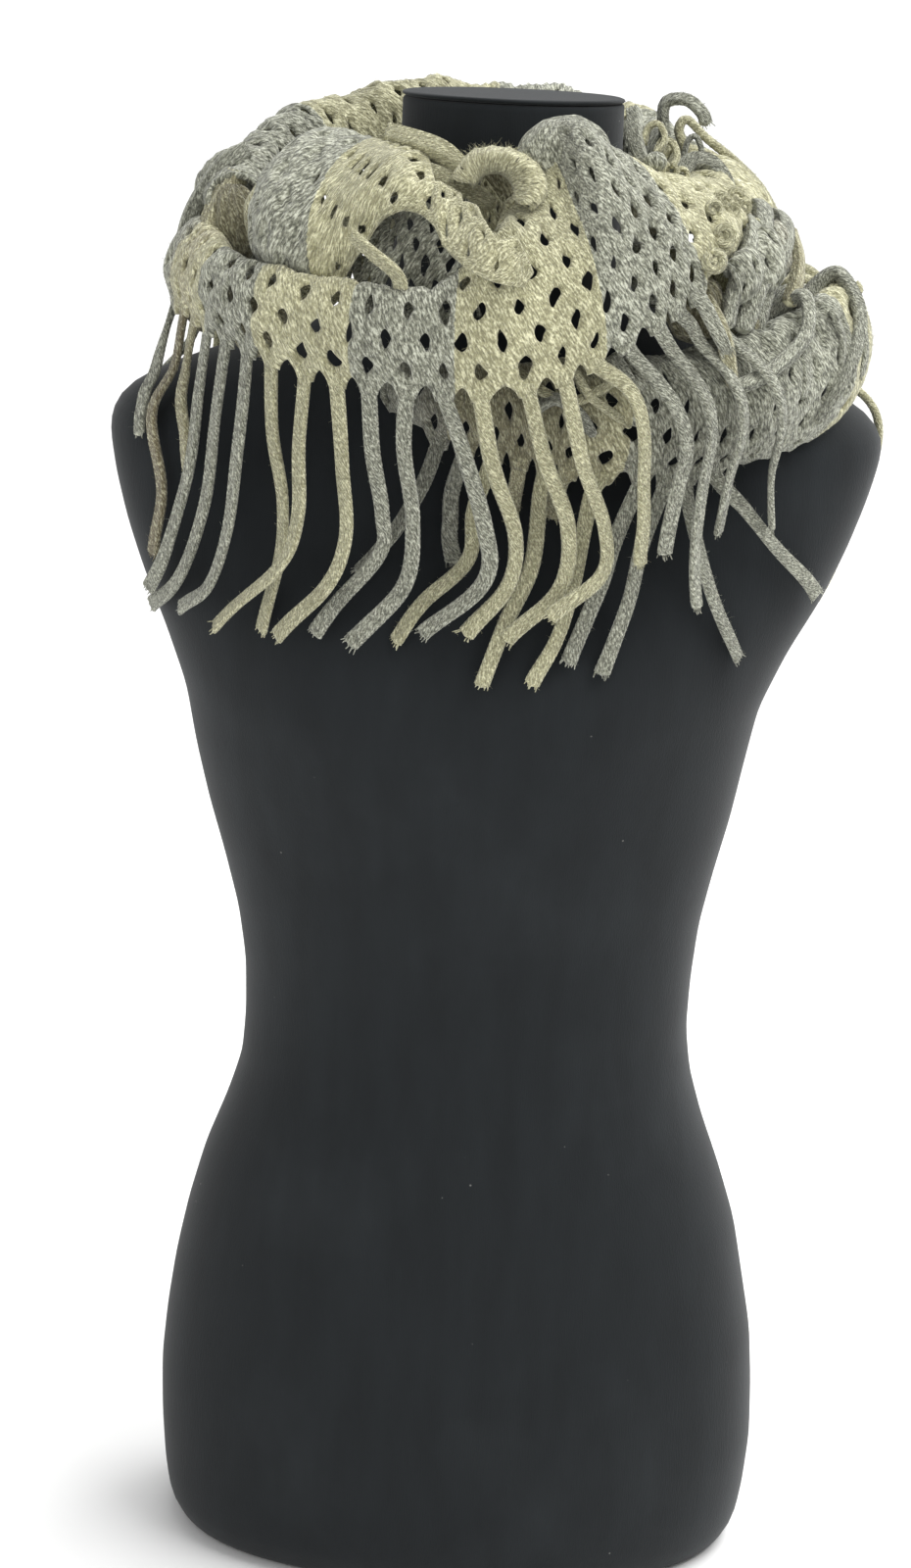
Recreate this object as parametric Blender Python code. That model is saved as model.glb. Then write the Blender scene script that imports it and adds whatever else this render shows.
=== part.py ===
"""Fringed openwork infinity scarf, wound twice round the neck of a limbless dress form.

Every solid stands in one frame: metres, +Z up, the front of the form towards -Y and
the origin at the middle of the form's flat base.  The form is lofted from a table of
heights.  The scarf is one ribbon in two turns, cut into the stretches that show.  Each
stretch is a thin wall through a table of sections: an angle round the neck, and the
radius and height of six named points from the fringed hem to the tucked edge.  The
fringe hangs from narrow strips that are parted from the hem.
"""
import math

import bmesh
import bpy
import numpy as np

MM = 0.001

# ---------------------------------------------------------------- driving sizes
FORM_HEIGHT = 0.775        # base to neck top
NECK_RADIUS = 0.0555       # padded neck of the form
CAP_THICKNESS = 0.0026     # fabric-covered disc on the neck
CAP_GAP = 0.0003           # parting under the disc
CLOTH = 0.0028             # thickness of the openwork knit
SEAM = 0.0003              # parting between neighbouring stretches
TAPE_WIDTH = 0.0088        # one fringe tape, across
TAPE_THICKNESS = 0.0042    # one fringe tape, through
STRIP_HEIGHT = 0.0030      # backing strip of the fringe
STRIP_GAP = 0.0010         # parting between hem and backing strip
FACE_GAP = 0.0006          # parting between a face and a strip that lies on it

# ---------------------------------------------------------------- dress form
# height, half width, front depth, back depth, sideways shift, squareness (mm)
FORM_COLUMNS = ("height", "half_width", "front", "back", "shift", "square")
FORM_ROWS = (
    (0, 147.0, 88, 90, 0, 2.25),
    (3, 152.0, 94, 96, 0, 2.25),
    (12, 157.0, 100, 102, 0, 2.25),
    (30, 160.0, 104, 107, 0, 2.25),
    (60, 162.3, 106, 110, 0, 2.25),
    (90, 162.0, 106, 112, -1, 2.25),
    (120, 159.5, 105, 112, -1, 2.25),
    (150, 154.5, 103, 110, -2, 2.25),
    (180, 148.5, 101, 106, -2, 2.22),
    (210, 139.5, 98, 100, -3, 2.20),
    (240, 128.0, 94, 93, -3, 2.20),
    (265, 120.5, 91, 87, -3, 2.20),
    (290, 118.0, 89, 83, -4, 2.20),
    (320, 118.8, 90, 82, -4, 2.20),
    (350, 122.5, 94, 83, -5, 2.20),
    (380, 129.5, 99, 86, -6, 2.20),
    (410, 137.5, 105, 90, -7, 2.20),
    (440, 143.8, 111, 94, -8, 2.22),
    (470, 149.5, 114, 98, -8, 2.25),
    (500, 161.5, 112, 101, -7, 2.25),
    (530, 176.0, 106, 102, -5, 2.30),
    (555, 185.5, 99, 101, -4, 2.35),
    (580, 193.0, 91, 98, -3, 2.40),
    (600, 197.3, 84, 93, -2, 2.45),
    (612, 197.0, 79, 89, -1, 2.45),
    (622, 190.0, 74, 84, -1, 2.40),
    (632, 172.0, 69, 78, 0, 2.35),
    (642, 146.0, 64, 72, 0, 2.25),
    (652, 118.0, 61, 67, 0, 2.15),
    (662, 92.0, 59, 63, 0, 2.05),
    (672, 72.0, 57.5, 60, 0, 2.00),
    (684, 60.5, 56.5, 58, 0, 2.00),
    (700, 56.6, 56.0, 57, 0, 2.00),
    (735, 55.8, 55.8, 56, 0, 2.00),
    (768, 55.5, 55.5, 55.5, 0, 2.00),
)
FORM_SEGMENTS = 44
BUST_HEIGHT = 0.492
BUST_SPREAD = 0.066        # each fullness, sideways from the middle
BUST_FULLNESS = 0.011      # how far it stands out
BUST_SIZE = (0.050, 0.055)

# ---------------------------------------------------------------- the scarf's stretches
# One row a section: angle round the neck in degrees (0 at the front, + to the right
# as it is seen from the front), lean in degrees from hem to tuck, then radius and
# height in mm of hem, low face, high face, crest, inside and tuck.
SECTION_COLUMNS = ("angle", "lean", "hem", "low", "high", "crest", "inside", "tuck")
RIBBON_ROWS = (
    (-31, 0, (108, 628), (113, 638), (112, 650), (106, 659), (98, 656), (92, 646)),
    (-18, 0, (112, 620), (117, 632), (116, 646), (109, 655), (101, 653), (95, 643)),
    (-4, 0, (115, 615), (120, 628), (119, 643), (112, 653), (103, 652), (98, 643)),
    (12, 0, (121, 609), (125, 624), (124, 642), (117, 655), (107, 654), (102, 644)),
    (28, 0, (132, 605), (138, 621), (139, 642), (130, 656), (119, 657), (112, 648)),
    (40, 0, (142, 606), (151, 621), (155, 642), (145, 658), (133, 661), (126, 651)),
    (55, 0, (154, 610), (166, 623), (173, 646), (163, 671), (151, 674), (144, 662)),
    (70, 0, (165, 619), (178, 635), (184, 658), (174, 684), (164, 687), (158, 675)),
    (86, 0, (170, 636), (179, 649), (180, 668), (170, 687), (160, 687), (154, 676)),
    (102, 0, (170, 645), (178, 656), (179, 672), (170, 686), (159, 687), (151, 677)),
    (120, 0, (166, 648), (174, 658), (175, 673), (167, 686), (156, 689), (145, 684)),
    (138, 0, (160, 650), (167, 664), (165, 681), (156, 691), (144, 693), (131, 689)),
    (158, 0, (153, 653), (158, 668), (155, 684), (147, 694), (134, 696), (121, 692)),
    (178, 0, (150, 656), (154, 671), (151, 686), (143, 695), (131, 697), (118, 693)),
    (198, 0, (151, 659), (155, 673), (152, 688), (144, 696), (132, 697), (119, 693)),
    (218, 0, (157, 661), (162, 675), (159, 689), (151, 697), (140, 698), (127, 693)),
    (238, 0, (163, 664), (167, 678), (164, 692), (156, 700), (146, 699), (135, 694)),
    (258, 0, (167, 666), (170, 680), (166, 694), (157, 703), (147, 701), (137, 694)),
    (275, 0, (167, 668), (169, 681), (165, 695), (156, 705), (146, 702), (138, 693)),
    (290, 0, (165, 669), (168, 681), (165, 695), (157, 704), (148, 700), (142, 689)),
    (304, 0, (166, 663), (170, 675), (168, 689), (161, 698), (153, 694), (149, 680)),
    (318, 0, (158, 654), (162, 667), (161, 683), (155, 693), (147, 689), (143, 675)),
    (332, 0, (150, 648), (154, 662), (153, 680), (147, 690), (139, 686), (135, 672)),
    (346, 0, (143, 646), (147, 662), (146, 680), (140, 691), (132, 688), (128, 674)),
    (358, -3, (141, 647), (144, 667), (142, 690), (134, 711), (125, 713), (118, 703)),
    (368, -9, (141, 652), (143, 675), (137, 702), (124, 720), (104, 723), (92, 729)),
    (378, -7, (142, 663), (143, 686), (133, 711), (114, 729), (96, 744), (83, 753)),
    (390, -16, (144, 681), (144, 704), (132, 732), (112, 754), (92, 766), (77, 763)),
    (400, -12, (146, 697), (142, 714), (129, 734), (107, 750), (86, 754), (72, 743)),
    (412, -4, (139, 710), (137, 720), (126, 731), (105, 740), (86, 737), (74, 721)),
    (430, 0, (129, 708), (132, 720), (124, 733), (108, 742), (91, 740), (79, 724)),
    (455, 0, (128, 706), (131, 718), (123, 732), (108, 744), (90, 743), (79, 726)),
    (478, 0, (130, 702), (133, 717), (122, 736), (102, 753), (82, 755), (72, 736)),
    (500, 0, (127, 702), (131, 720), (120, 743), (99, 764), (80, 764), (70, 742)),
    (525, 0, (123, 704), (128, 724), (117, 750), (96, 771), (76, 768), (69, 744)),
    (552, 0, (124, 705), (129, 727), (118, 754), (97, 774), (77, 769), (69, 744)),
    (574, 0, (129, 705), (135, 728), (127, 754), (107, 773), (87, 768), (76, 742)),
    (590, 0, (137, 704), (144, 726), (139, 749), (125, 765), (107, 758), (96, 732)),
    (607, 0, (143, 708), (151, 721), (149, 738), (138, 750), (124, 745), (113, 722)),
    (624, 0, (146, 709), (156, 718), (153, 730), (142, 739), (129, 734), (119, 714)),
    (638, 0, (143, 709), (151, 716), (148, 725), (138, 730), (127, 724), (119, 708)),
)
RISE_ROWS = (
    (-6, 0, (105, 676), (108, 687), (105, 699), (98, 707), (91, 703), (87, 693)),
    (-14, 0, (112, 671), (116, 685), (112, 700), (104, 712), (95, 708), (90, 696)),
    (-24, 0, (115, 670), (120, 688), (117, 707), (106, 724), (94, 724), (88, 712)),
    (-34, 0, (116, 670), (121, 688), (116, 707), (104, 724), (92, 726), (84, 714)),
    (-44, 0, (112, 670), (117, 686), (113, 704), (102, 720), (92, 722), (84, 712)),
)
PUFF_ROWS = (
    (5, 0, (147, 694), (146, 699), (144, 703), (142, 707), (141, 711), (140, 715)),
    (-3, 0, (147, 697), (146, 702), (144, 708), (141, 715), (136, 721), (132, 725)),
    (-11, 0, (135, 706), (133, 712), (129, 719), (124, 726), (117, 731), (111, 730)),
    (-19, 0, (122, 722), (121, 727), (118, 733), (112, 738), (106, 739), (102, 735)),
    (-27, 0, (128, 720), (130, 728), (126, 739), (112, 748), (95, 749), (84, 737)),
    (-37, 0, (136, 685), (147, 702), (146, 726), (127, 748), (102, 754), (84, 738)),
    (-48, 0, (134, 683), (151, 700), (152, 726), (133, 750), (105, 756), (87, 738)),
    (-58, 0, (128, 683), (143, 700), (144, 724), (128, 746), (104, 753), (88, 736)),
    (-68, 0, (116, 686), (126, 701), (126, 722), (115, 740), (99, 746), (87, 731)),
    (-80, 0, (105, 692), (110, 704), (110, 720), (103, 734), (93, 738), (85, 726)),
)
LINING_ROWS = (
    (-17, 0, (97, 725), (96, 730), (94, 735), (91, 738)),
    (-12, 0, (98, 715), (96, 724), (94, 733), (89, 739)),
    (-7, 0, (99, 709), (96, 720), (92, 730), (88, 739)),
    (-1, 0, (99, 708), (95, 716), (91, 725), (88, 732)),
)
ROLL_ROWS = (
    (45, 0, (147, 686), (151, 692), (151, 699), (148, 704), (145, 700), (144, 692)),
    (51, 0, (148, 687), (155, 695), (154, 705), (149, 711), (144, 706), (143, 695)),
    (57, 0, (147, 689), (154, 698), (152, 710), (146, 717), (141, 712), (140, 700)),
    (63, 0, (145, 691), (151, 701), (149, 714), (144, 721), (138, 716), (137, 703)),
    (69, 0, (142, 696), (146, 704), (144, 713), (141, 719), (137, 714), (136, 705)),
)
# stretches of the ribbon: name, first and last section, samples along and across
RIBBON_STRETCHES = (
    ("inner_front", 0, 4, 16, 9),
    ("shoulder_right", 4, 11, 28, 11),
    ("wrap_back", 11, 15, 16, 9),
    ("wrap_left", 15, 19, 18, 9),
    ("sash_front", 19, 28, 34, 12),
    ("sash_right", 28, 32, 16, 10),
    ("collar_back", 32, 36, 22, 10),
    ("collar_left", 36, 40, 18, 10),
)
# separate stretches: name, table, samples along and samples across
FREE_STRETCHES = (
    ("inner_rise", RISE_ROWS, 10, 8),
    ("puff_left", PUFF_ROWS, 28, 10),
    ("rolls_right", ROLL_ROWS, 22, 9),
    ("hood_lining", LINING_ROWS, 7, 6),
)

# largest folds, moved out along the wall: stretch, place along, place across (0 to 1),
# half size along, half size across, height in mm, shear of the fold along its length
FOLD_COLUMNS = ("stretch", "along", "across", "half_along", "half_across", "height", "shear")
FOLDS = (
    ("sash_front", 0.30, 0.35, 0.030, 0.40, 1.6, 0.05),
    ("sash_front", 0.47, 0.40, 0.035, 0.35, -1.8, 0.08),
    ("sash_front", 0.62, 0.45, 0.030, 0.40, 2.2, 0.12),
    ("sash_front", 0.76, 0.45, 0.036, 0.45, -2.2, 0.20),
    ("sash_front", 0.86, 0.50, 0.036, 0.45, 2.2, 0.20),
    ("sash_front", 0.95, 0.50, 0.030, 0.45, -1.6, 0.15),
    ("sash_right", 0.22, 0.40, 0.060, 0.35, 2.4, 0.10),
    ("sash_right", 0.45, 0.45, 0.060, 0.40, -2.6, -0.08),
    ("sash_right", 0.70, 0.50, 0.070, 0.35, 3.0, 0.10),
    ("collar_back", 0.15, 0.45, 0.050, 0.40, 3.2, 0.10),
    ("collar_back", 0.33, 0.45, 0.050, 0.40, -2.8, 0.05),
    ("collar_back", 0.52, 0.50, 0.060, 0.35, 3.0, -0.10),
    ("collar_back", 0.74, 0.40, 0.050, 0.40, -2.6, 0.08),
    ("collar_back", 0.90, 0.45, 0.040, 0.40, 2.6, -0.05),
    ("collar_left", 0.18, 0.40, 0.050, 0.40, -2.8, 0.10),
    ("collar_left", 0.38, 0.45, 0.060, 0.35, 3.2, 0.12),
    ("collar_left", 0.60, 0.40, 0.050, 0.40, -3.2, 0.15),
    ("collar_left", 0.80, 0.45, 0.050, 0.40, 2.8, 0.10),
    ("wrap_left", 0.20, 0.40, 0.060, 0.45, 2.2, 0.05),
    ("wrap_left", 0.48, 0.40, 0.060, 0.45, -2.4, -0.05),
    ("wrap_left", 0.75, 0.45, 0.060, 0.45, 2.4, 0.06),
    ("wrap_back", 0.22, 0.40, 0.060, 0.45, -2.2, 0.05),
    ("wrap_back", 0.50, 0.40, 0.060, 0.45, 2.6, -0.06),
    ("wrap_back", 0.78, 0.45, 0.060, 0.45, -2.2, 0.05),
    ("shoulder_right", 0.16, 0.45, 0.040, 0.40, 2.4, 0.10),
    ("shoulder_right", 0.34, 0.50, 0.040, 0.40, -2.8, 0.10),
    ("shoulder_right", 0.50, 0.45, 0.040, 0.45, 3.0, 0.12),
    ("shoulder_right", 0.66, 0.50, 0.040, 0.40, -3.0, 0.14),
    ("shoulder_right", 0.83, 0.45, 0.040, 0.40, 2.6, 0.10),
    ("inner_front", 0.30, 0.45, 0.060, 0.40, 2.0, 0.10),
    ("inner_front", 0.62, 0.45, 0.060, 0.40, -2.2, 0.10),
    ("puff_left", 0.56, 0.50, 0.040, 0.30, -2.4, 0.10),
    ("puff_left", 0.68, 0.45, 0.040, 0.35, 2.6, 0.06),
    ("puff_left", 0.82, 0.45, 0.040, 0.35, -2.2, 0.04),
    ("rolls_right", 0.16, 0.38, 0.080, 0.36, 2.4, 0.02),
    ("rolls_right", 0.34, 0.38, 0.060, 0.36, -2.6, 0.02),
    ("rolls_right", 0.52, 0.38, 0.085, 0.36, 3.0, -0.03),
    ("rolls_right", 0.70, 0.38, 0.060, 0.36, -2.6, 0.02),
    ("rolls_right", 0.86, 0.38, 0.060, 0.36, 2.0, 0.03),
)

# the rolled arch of cloth at the front of the neck: turn in degrees round the arch,
# then radius and depth in mm from its outer back edge over the front to the curled edge
HOOD_CENTRE = (-7.0, -109.0, 734.4)
HOOD_TILT = 14.0
HOOD_STRETCH = (1.06, 0.95)
HOOD_ROWS = (
    (166, (20, 8), (21, 3), (17, -2), (12, 0), (11, 5), (13, 8)),
    (120, (22, 12), (23, 5), (18, -4), (12, 0), (11, 5), (13, 9)),
    (90, (22, 13), (23, 6), (18, -5), (12, -1), (11, 5), (13, 10)),
    (60, (22, 11), (23, 4), (18, -6), (11, -1), (10, 5), (12, 9)),
    (30, (21, 6), (23, 0), (18, -7), (10, -2), (9, 3), (11, 7)),
    (0, (21, 0), (22, -4), (17, -9), (10, -4), (9, 1), (11, 4)),
    (-30, (18, -5), (19, -8), (15, -11), (10, -6), (9, -2), (11, 0)),
)


# ---------------------------------------------------------------- fringe
# One row a tape: root angle in degrees, lift off the form in mm, then angle and height
# of four places down it.
TAPE_COLUMNS = ("root", "lift", "upper", "middle", "lower", "tip")
OVER_CLOTH = 0.0080        # tapes that pass over another stretch keep this far off it
UNDER_ROWS = RIBBON_ROWS[:12]
FRONT_TAPES = (
    (-66, 16, (-67, 661), (-69, 637), (-65, 611), (-63, 592)),
    (-60, 12, (-60, 631), (-60, 590), (-64, 551), (-71, 528)),
    (-54, 6, (-55, 619), (-56, 574), (-62, 539), (-76, 515)),
    (-49, 13, (-49, 611), (-50, 569), (-54, 537), (-63, 522)),
    (-44, 5, (-44, 617), (-42, 584), (-43, 553), (-49, 517)),
    (-37, 15, (-37, 615), (-36, 580), (-40, 552), (-55, 517)),
    (-31, 13, (-29, 606), (-28, 572), (-32, 544), (-43, 517)),
    (-25, 8, (-24, 614), (-22, 584), (-23, 561), (-37, 520)),
    (-18, 17, (-18, 615), (-16, 581), (-17, 548), (-28, 519)),
    (-11, 17, (-7, 616), (-2, 580), (-2, 553), (-14, 524)),
    (-4, 17, (-1, 610), (4, 575), (3, 548), (-5, 525)),
    (5, 17, (9, 615), (15, 581), (14, 549), (4, 523)),
    (12, 28, (16, 615), (22, 579), (22, 556), (12, 537)),
    (18, 32, (24, 646), (27, 612), (29, 584), (29, 563)),
    (24, 32, (29, 651), (33, 623), (34, 593), (34, 568)),
    (30, 27, (34, 661), (37, 633), (39, 589), (40, 542)),
    (34, 18, (39, 672), (42, 647), (44, 608), (45, 576)),
    (38, 22, (42, 680), (47, 656), (50, 623), (56, 578)),
)
INNER_TAPES = (
    (-8, 8, (-11, 592), (-11, 577), (-11, 568), (-10, 557)),
    (-15, 6, (-18, 594), (-23, 572), (-28, 559), (-32, 550)),
    (-1, 5, (-5, 584), (-6, 561), (-15, 539), (-21, 518)),
    (5, 12, (5, 601), (5, 594), (5, 588), (5, 582)),
    (11, 6, (10, 593), (9, 559), (3, 530), (-1, 499)),
    (16, 12, (15, 600), (15, 592), (15, 586), (15, 580)),
    (23, 6, (21, 593), (18, 552), (15, 522), (10, 501)),
)
SHOULDER_TAPES = (
    (31, 5, (26, 572), (24, 552), (21, 529), (18, 512)),
    (36, 5, (32, 572), (30, 547), (27, 525), (25, 507)),
    (41, 5, (40, 597), (42, 577), (47, 547), (56, 509)),
    (46, 8, (48, 597), (53, 585), (60, 565), (70, 538)),
)
LEFT_TAPES = (
    (-74, 9, (-74, 650), (-73, 619), (-68, 579), (-70, 546)),
    (-86, 6, (-84, 652), (-80, 636), (-76, 620), (-74, 604)),
)
# tapes in the open air: root angle, then angle, radius and height of the places along them
LOOSE_COLUMNS = ("root", "places")
LOOSE_TAPES = (
    (-20, (-21, 147, 699), (-25, 148, 706), (-30, 145, 712)),
)
TOP_TAPES = (
    (113, (113, 83, 767), (112, 86, 776), (108, 94, 778), (105, 100, 771), (104, 101, 763)),
    (
        99,
        (99, 85, 760), (99, 92, 767), (98, 104, 760), (97, 119, 750),
        (96, 132, 736), (95, 139, 719), (95, 143, 703),
    ),
)
# tapes that arch over the crest: angle at the root, at the crest and at the end, rise
# in mm, and how far down the face they end
ARCH_COLUMNS = ("root", "crest", "end", "rise", "end_across")
ARCH_TAPES = (
    (58, 58.5, 57, 3.0, 0.36),
    (66, 66.5, 64, 3.5, 0.34),
    (74, 74.5, 72, 3.5, 0.32),
    (82, 82.5, 80, 3.0, 0.32),
)
ARCH_ROOT = 0.60
TOP_ROOT = 0.78
LOOSE_ROOT = 0.60
# plain rows on the hidden sides: first root, last root, count, length in mm, sway in degrees
LEFT_PLAIN = (-106, -138, 5, 138, 1.3)
BACK_PLAIN = (213, 147, 10, 146, 0.8)
SHOULDER_PLAIN = (131, 99, 5, 128, 1.3)
HEM_DROP = 1.2             # how strongly tapes turn straight down at the hem
RING_STEP = 0.0165         # even steps along a tape
STRIP_STEP = 0.016         # longest straight piece of a backing strip
ARCH_LIFT = 0.0062         # arching tapes stand this far off the cloth's middle
TAPE_SWING = 0.030         # how far in towards the form a tape may hang


def spline_weights(count, samples):
    """Catmull-Rom weights that carry `count` stations to `samples` even places."""
    places = np.clip(np.asarray(samples, float), 0.0, 1.0) * (count - 1)
    base = np.minimum(places.astype(int), count - 2)
    u = places - base
    weights = np.zeros((len(places), count))
    parts = (
        -0.5 * u + u * u - 0.5 * u ** 3,
        1.0 - 2.5 * u * u + 1.5 * u ** 3,
        0.5 * u + 2.0 * u * u - 1.5 * u ** 3,
        -0.5 * u * u + 0.5 * u ** 3,
    )
    rows = np.arange(len(places))
    for step, part in zip((-1, 0, 1, 2), parts):
        index = base + step
        low = index < 0
        high = index > count - 1
        inside = ~(low | high)
        weights[rows[inside], index[inside]] += part[inside]
        weights[rows[low], 0] += 2.0 * part[low]
        weights[rows[low], 1] -= part[low]
        weights[rows[high], count - 1] += 2.0 * part[high]
        weights[rows[high], count - 2] -= part[high]
    return weights


def polar(angle, radius, height):
    """A point from its angle round the neck in degrees, radius and height in metres."""
    turn = np.radians(angle)
    return np.stack([radius * np.sin(turn), -radius * np.cos(turn), height + 0.0 * turn], -1)


# ---------------------------------------------------------------- dress form surface
def form_row(height):
    """The form's half width, front, back, shift and squareness at a height in metres."""
    table = np.array(FORM_ROWS, float)
    values = [np.interp(height / MM, table[:, 0], table[:, column]) for column in range(1, 6)]
    return values[0] * MM, values[1] * MM, values[2] * MM, values[3] * MM, values[4]


def form_point(angle, height, clear=0.0):
    """A point on the form at an angle round its axis and a height, moved out by clear."""
    half, front, back, shift, square = form_row(height)
    turn = math.radians(angle)
    sine = math.sin(turn)
    cosine = math.cos(turn)
    depth = front if cosine > 0 else back
    scale = (abs(sine / half) ** square + abs(cosine / depth) ** square) ** (-1.0 / square)
    x = scale * sine
    y = -scale * cosine
    if cosine > 0:
        for side in (-1.0, 1.0):
            across = (x - side * BUST_SPREAD) / BUST_SIZE[0]
            up = (height - BUST_HEIGHT) / BUST_SIZE[1]
            y -= BUST_FULLNESS * math.exp(-across * across - up * up) * cosine
    return (x + clear * sine + shift, y - clear * cosine, height)


def form_radius(angle, height):
    """Distance from the neck's axis to the form's surface at an angle and a height."""
    low, high = -180.0, 180.0
    guess = angle
    for _ in range(6):
        x, y, _unused = form_point(guess, height)
        found = math.degrees(math.atan2(x, -y))
        guess += (angle - found + 180.0) % 360.0 - 180.0
        guess = (guess - low) % (high - low) + low
    x, y, _unused = form_point(guess, height)
    return math.hypot(x, y)


def form_slope(angle, height):
    """How fast the form's radius falls with height, from 0 to 2.5."""
    step = 0.004
    fall = form_radius(angle, height - step) - form_radius(angle, height + step)
    return min(max(fall / (2.0 * step), 0.0), 2.5)


# ---------------------------------------------------------------- cloth surfaces
def control_grid(rows):
    """The named points of a table of sections, as an array of sections by points."""
    grid = []
    for angle, lean, *points in rows:
        steps = np.linspace(0.0, 1.0, len(points))
        pairs = np.array(points, float) * MM
        grid.append(polar(angle + lean * steps, pairs[:, 0], pairs[:, 1]))
    return np.array(grid)


def hood_grid():
    """The named points of the rolled arch at the front of the neck."""
    tilt = math.radians(HOOD_TILT)
    centre = np.array(HOOD_CENTRE) * MM
    back = np.array((0.0, math.cos(tilt), -math.sin(tilt)))
    rise = np.array((0.0, math.sin(tilt), math.cos(tilt)))
    side = np.array((1.0, 0.0, 0.0))
    grid = []
    for turn, *points in HOOD_ROWS:
        angle = math.radians(turn)
        out = HOOD_STRETCH[0] * math.cos(angle) * side + HOOD_STRETCH[1] * math.sin(angle) * rise
        grid.append([centre + radius * MM * out + depth * MM * back for radius, depth in points])
    return np.array(grid)


def wall_frame(grid, along, across, outward=True):
    """Points and outward normals of a surface at every pair of places along and across."""
    along = np.asarray(along, float)
    across = np.asarray(across, float)

    def place(s, t):
        rows = spline_weights(grid.shape[0], s)
        columns = spline_weights(grid.shape[1], t)
        return np.einsum("si,tj,ijk->stk", rows, columns, grid)

    step = 4e-4
    points = place(along, across)
    ds = place(np.minimum(along + step, 1.0), across) - place(np.maximum(along - step, 0.0), across)
    dt = place(along, np.minimum(across + step, 1.0)) - place(along, np.maximum(across - step, 0.0))
    normals = np.cross(ds, dt) * (1.0 if outward else -1.0)
    normals /= np.maximum(np.linalg.norm(normals, axis=-1, keepdims=True), 1e-12)
    return points, normals


def stretch_rows(name):
    """A stretch's table of sections, where it starts in it and where it ends."""
    for found, first, last, _samples, _across in RIBBON_STRETCHES:
        if found == name:
            return RIBBON_ROWS, first, last
    for found, rows, _samples, _across in FREE_STRETCHES:
        if found == name:
            return rows, 0, len(rows) - 1
    raise KeyError(name)


def stretch_surface(name, along, across):
    """A stretch's middle surface and normals, with its folds."""
    rows, first, last = stretch_rows(name)
    count = len(rows) - 1
    places = (first + np.asarray(along, float) * (last - first)) / count
    points, normals = wall_frame(control_grid(rows), places, across, rows[-1][0] > rows[0][0])
    return points + normals * fold_lift(name, along, across)[..., None], normals


def fold_lift(name, along, across):
    """How far each place on a stretch is moved out by its folds."""
    s_all, t_all = np.meshgrid(np.asarray(along, float), np.asarray(across, float), indexing="ij")
    ends = np.clip(s_all / 0.06, 0.0, 1.0) * np.clip((1.0 - s_all) / 0.06, 0.0, 1.0)
    lift = np.zeros_like(s_all)
    for found, s0, t0, s_half, t_half, height, shear in FOLDS:
        if found == name:
            u = (s_all - s0 - shear * (t_all - t0)) / s_half
            v = (t_all - t0) / t_half
            lift += height * MM * np.exp(-u * u - v ** 4) * ends
    return lift


def cut_back(name, samples):
    """Even places along a stretch, drawn in from both its ends by the seam's parting."""
    middle = stretch_surface(name, np.linspace(0.0, 1.0, 60), np.array([0.3]))[0][:, 0]
    length = np.linalg.norm(np.diff(middle, axis=0), axis=1).sum()
    inset = SEAM / length
    return np.linspace(inset, 1.0 - inset, samples)


# ---------------------------------------------------------------- fringe paths
def cloth_radius(rows, angle, height):
    """How far out a turn's face stands at an angle and height, or 0 where it isn't."""
    angles = [row[0] for row in rows]
    if not min(angles) <= angle <= max(angles):
        return 0.0
    found = []
    for row in rows:
        radii = [pair[0] for pair in row[2:6]]
        heights = [pair[1] for pair in row[2:6]]
        level = height / MM
        reach = np.interp(level, heights, radii)
        reach -= max(heights[0] - level, 0.0) * 0.25
        reach -= max(level - heights[-1], 0.0) * 1.6
        found.append(reach)
    return float(np.interp(angle, angles, found)) * MM


def tape_radius(angle, height, root, tip, lift, over):
    """The radius of a hanging tape: a straight fall, held off the form and the cloth."""
    share = (root[1] - height) / max(root[1] - tip[1], 1e-6)
    share = min(max(share, 0.0), 1.0)
    fall = root[0] + (tip[0] - root[0]) * share
    body = form_radius(angle, height) + lift * math.hypot(1.0, form_slope(angle, height))
    if not over:
        return max(fall, body)
    cloth = cloth_radius(UNDER_ROWS, angle, height) + OVER_CLOTH + 0.35 * lift
    ease = min(1.0, share / 0.06)
    return max(fall, body, cloth * ease + fall * (1.0 - ease))


def tape_path(root_point, stations, lift, over):
    """Even points down a tape from its root, through its angle and height stations."""
    root_angle = math.degrees(math.atan2(root_point[0], -root_point[1]))
    root = (math.hypot(root_point[0], root_point[1]), root_point[2])
    heights = [root_point[2]] + [height * MM for _angle, height in stations]
    angles = [root_angle]
    for angle, _height in stations:
        angles.append(angle + 360.0 * round((angles[-1] - angle) / 360.0))
    tip_radius = form_radius(angles[-1], heights[-1]) + lift
    tip = (max(tip_radius, root[0] - TAPE_SWING), heights[-1])
    weights = spline_weights(len(angles), np.linspace(0.0, 1.0, 49))
    flat = weights @ np.array([angles, heights]).T
    radii = np.array([tape_radius(angle, height, root, tip, lift, over) for angle, height in flat])
    radii[0] = root[0]
    for _ in range(10):
        smooth = np.convolve(np.pad(radii, 1, mode="edge"), (0.25, 0.5, 0.25), mode="valid")
        smooth[0] = root[0]
        smooth[-1] = radii[-1]
        radii = smooth
    return polar(flat[:, 0], radii, flat[:, 1])


def free_path(root_point, stations):
    """A tape's path through its angle, radius and height stations."""
    places = [root_point]
    for angle, radius, height in stations:
        places.append(polar(float(angle), radius * MM, height * MM))
    return spline_weights(len(places), np.linspace(0.0, 1.0, 49)) @ np.array(places)


def even_points(path, count):
    """The same path in even steps."""
    steps = np.concatenate([[0.0], np.cumsum(np.linalg.norm(np.diff(path, axis=0), axis=1))])
    wanted = np.linspace(0.0, steps[-1], count)
    return np.stack([np.interp(wanted, steps, path[:, axis]) for axis in range(3)], -1)


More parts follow.
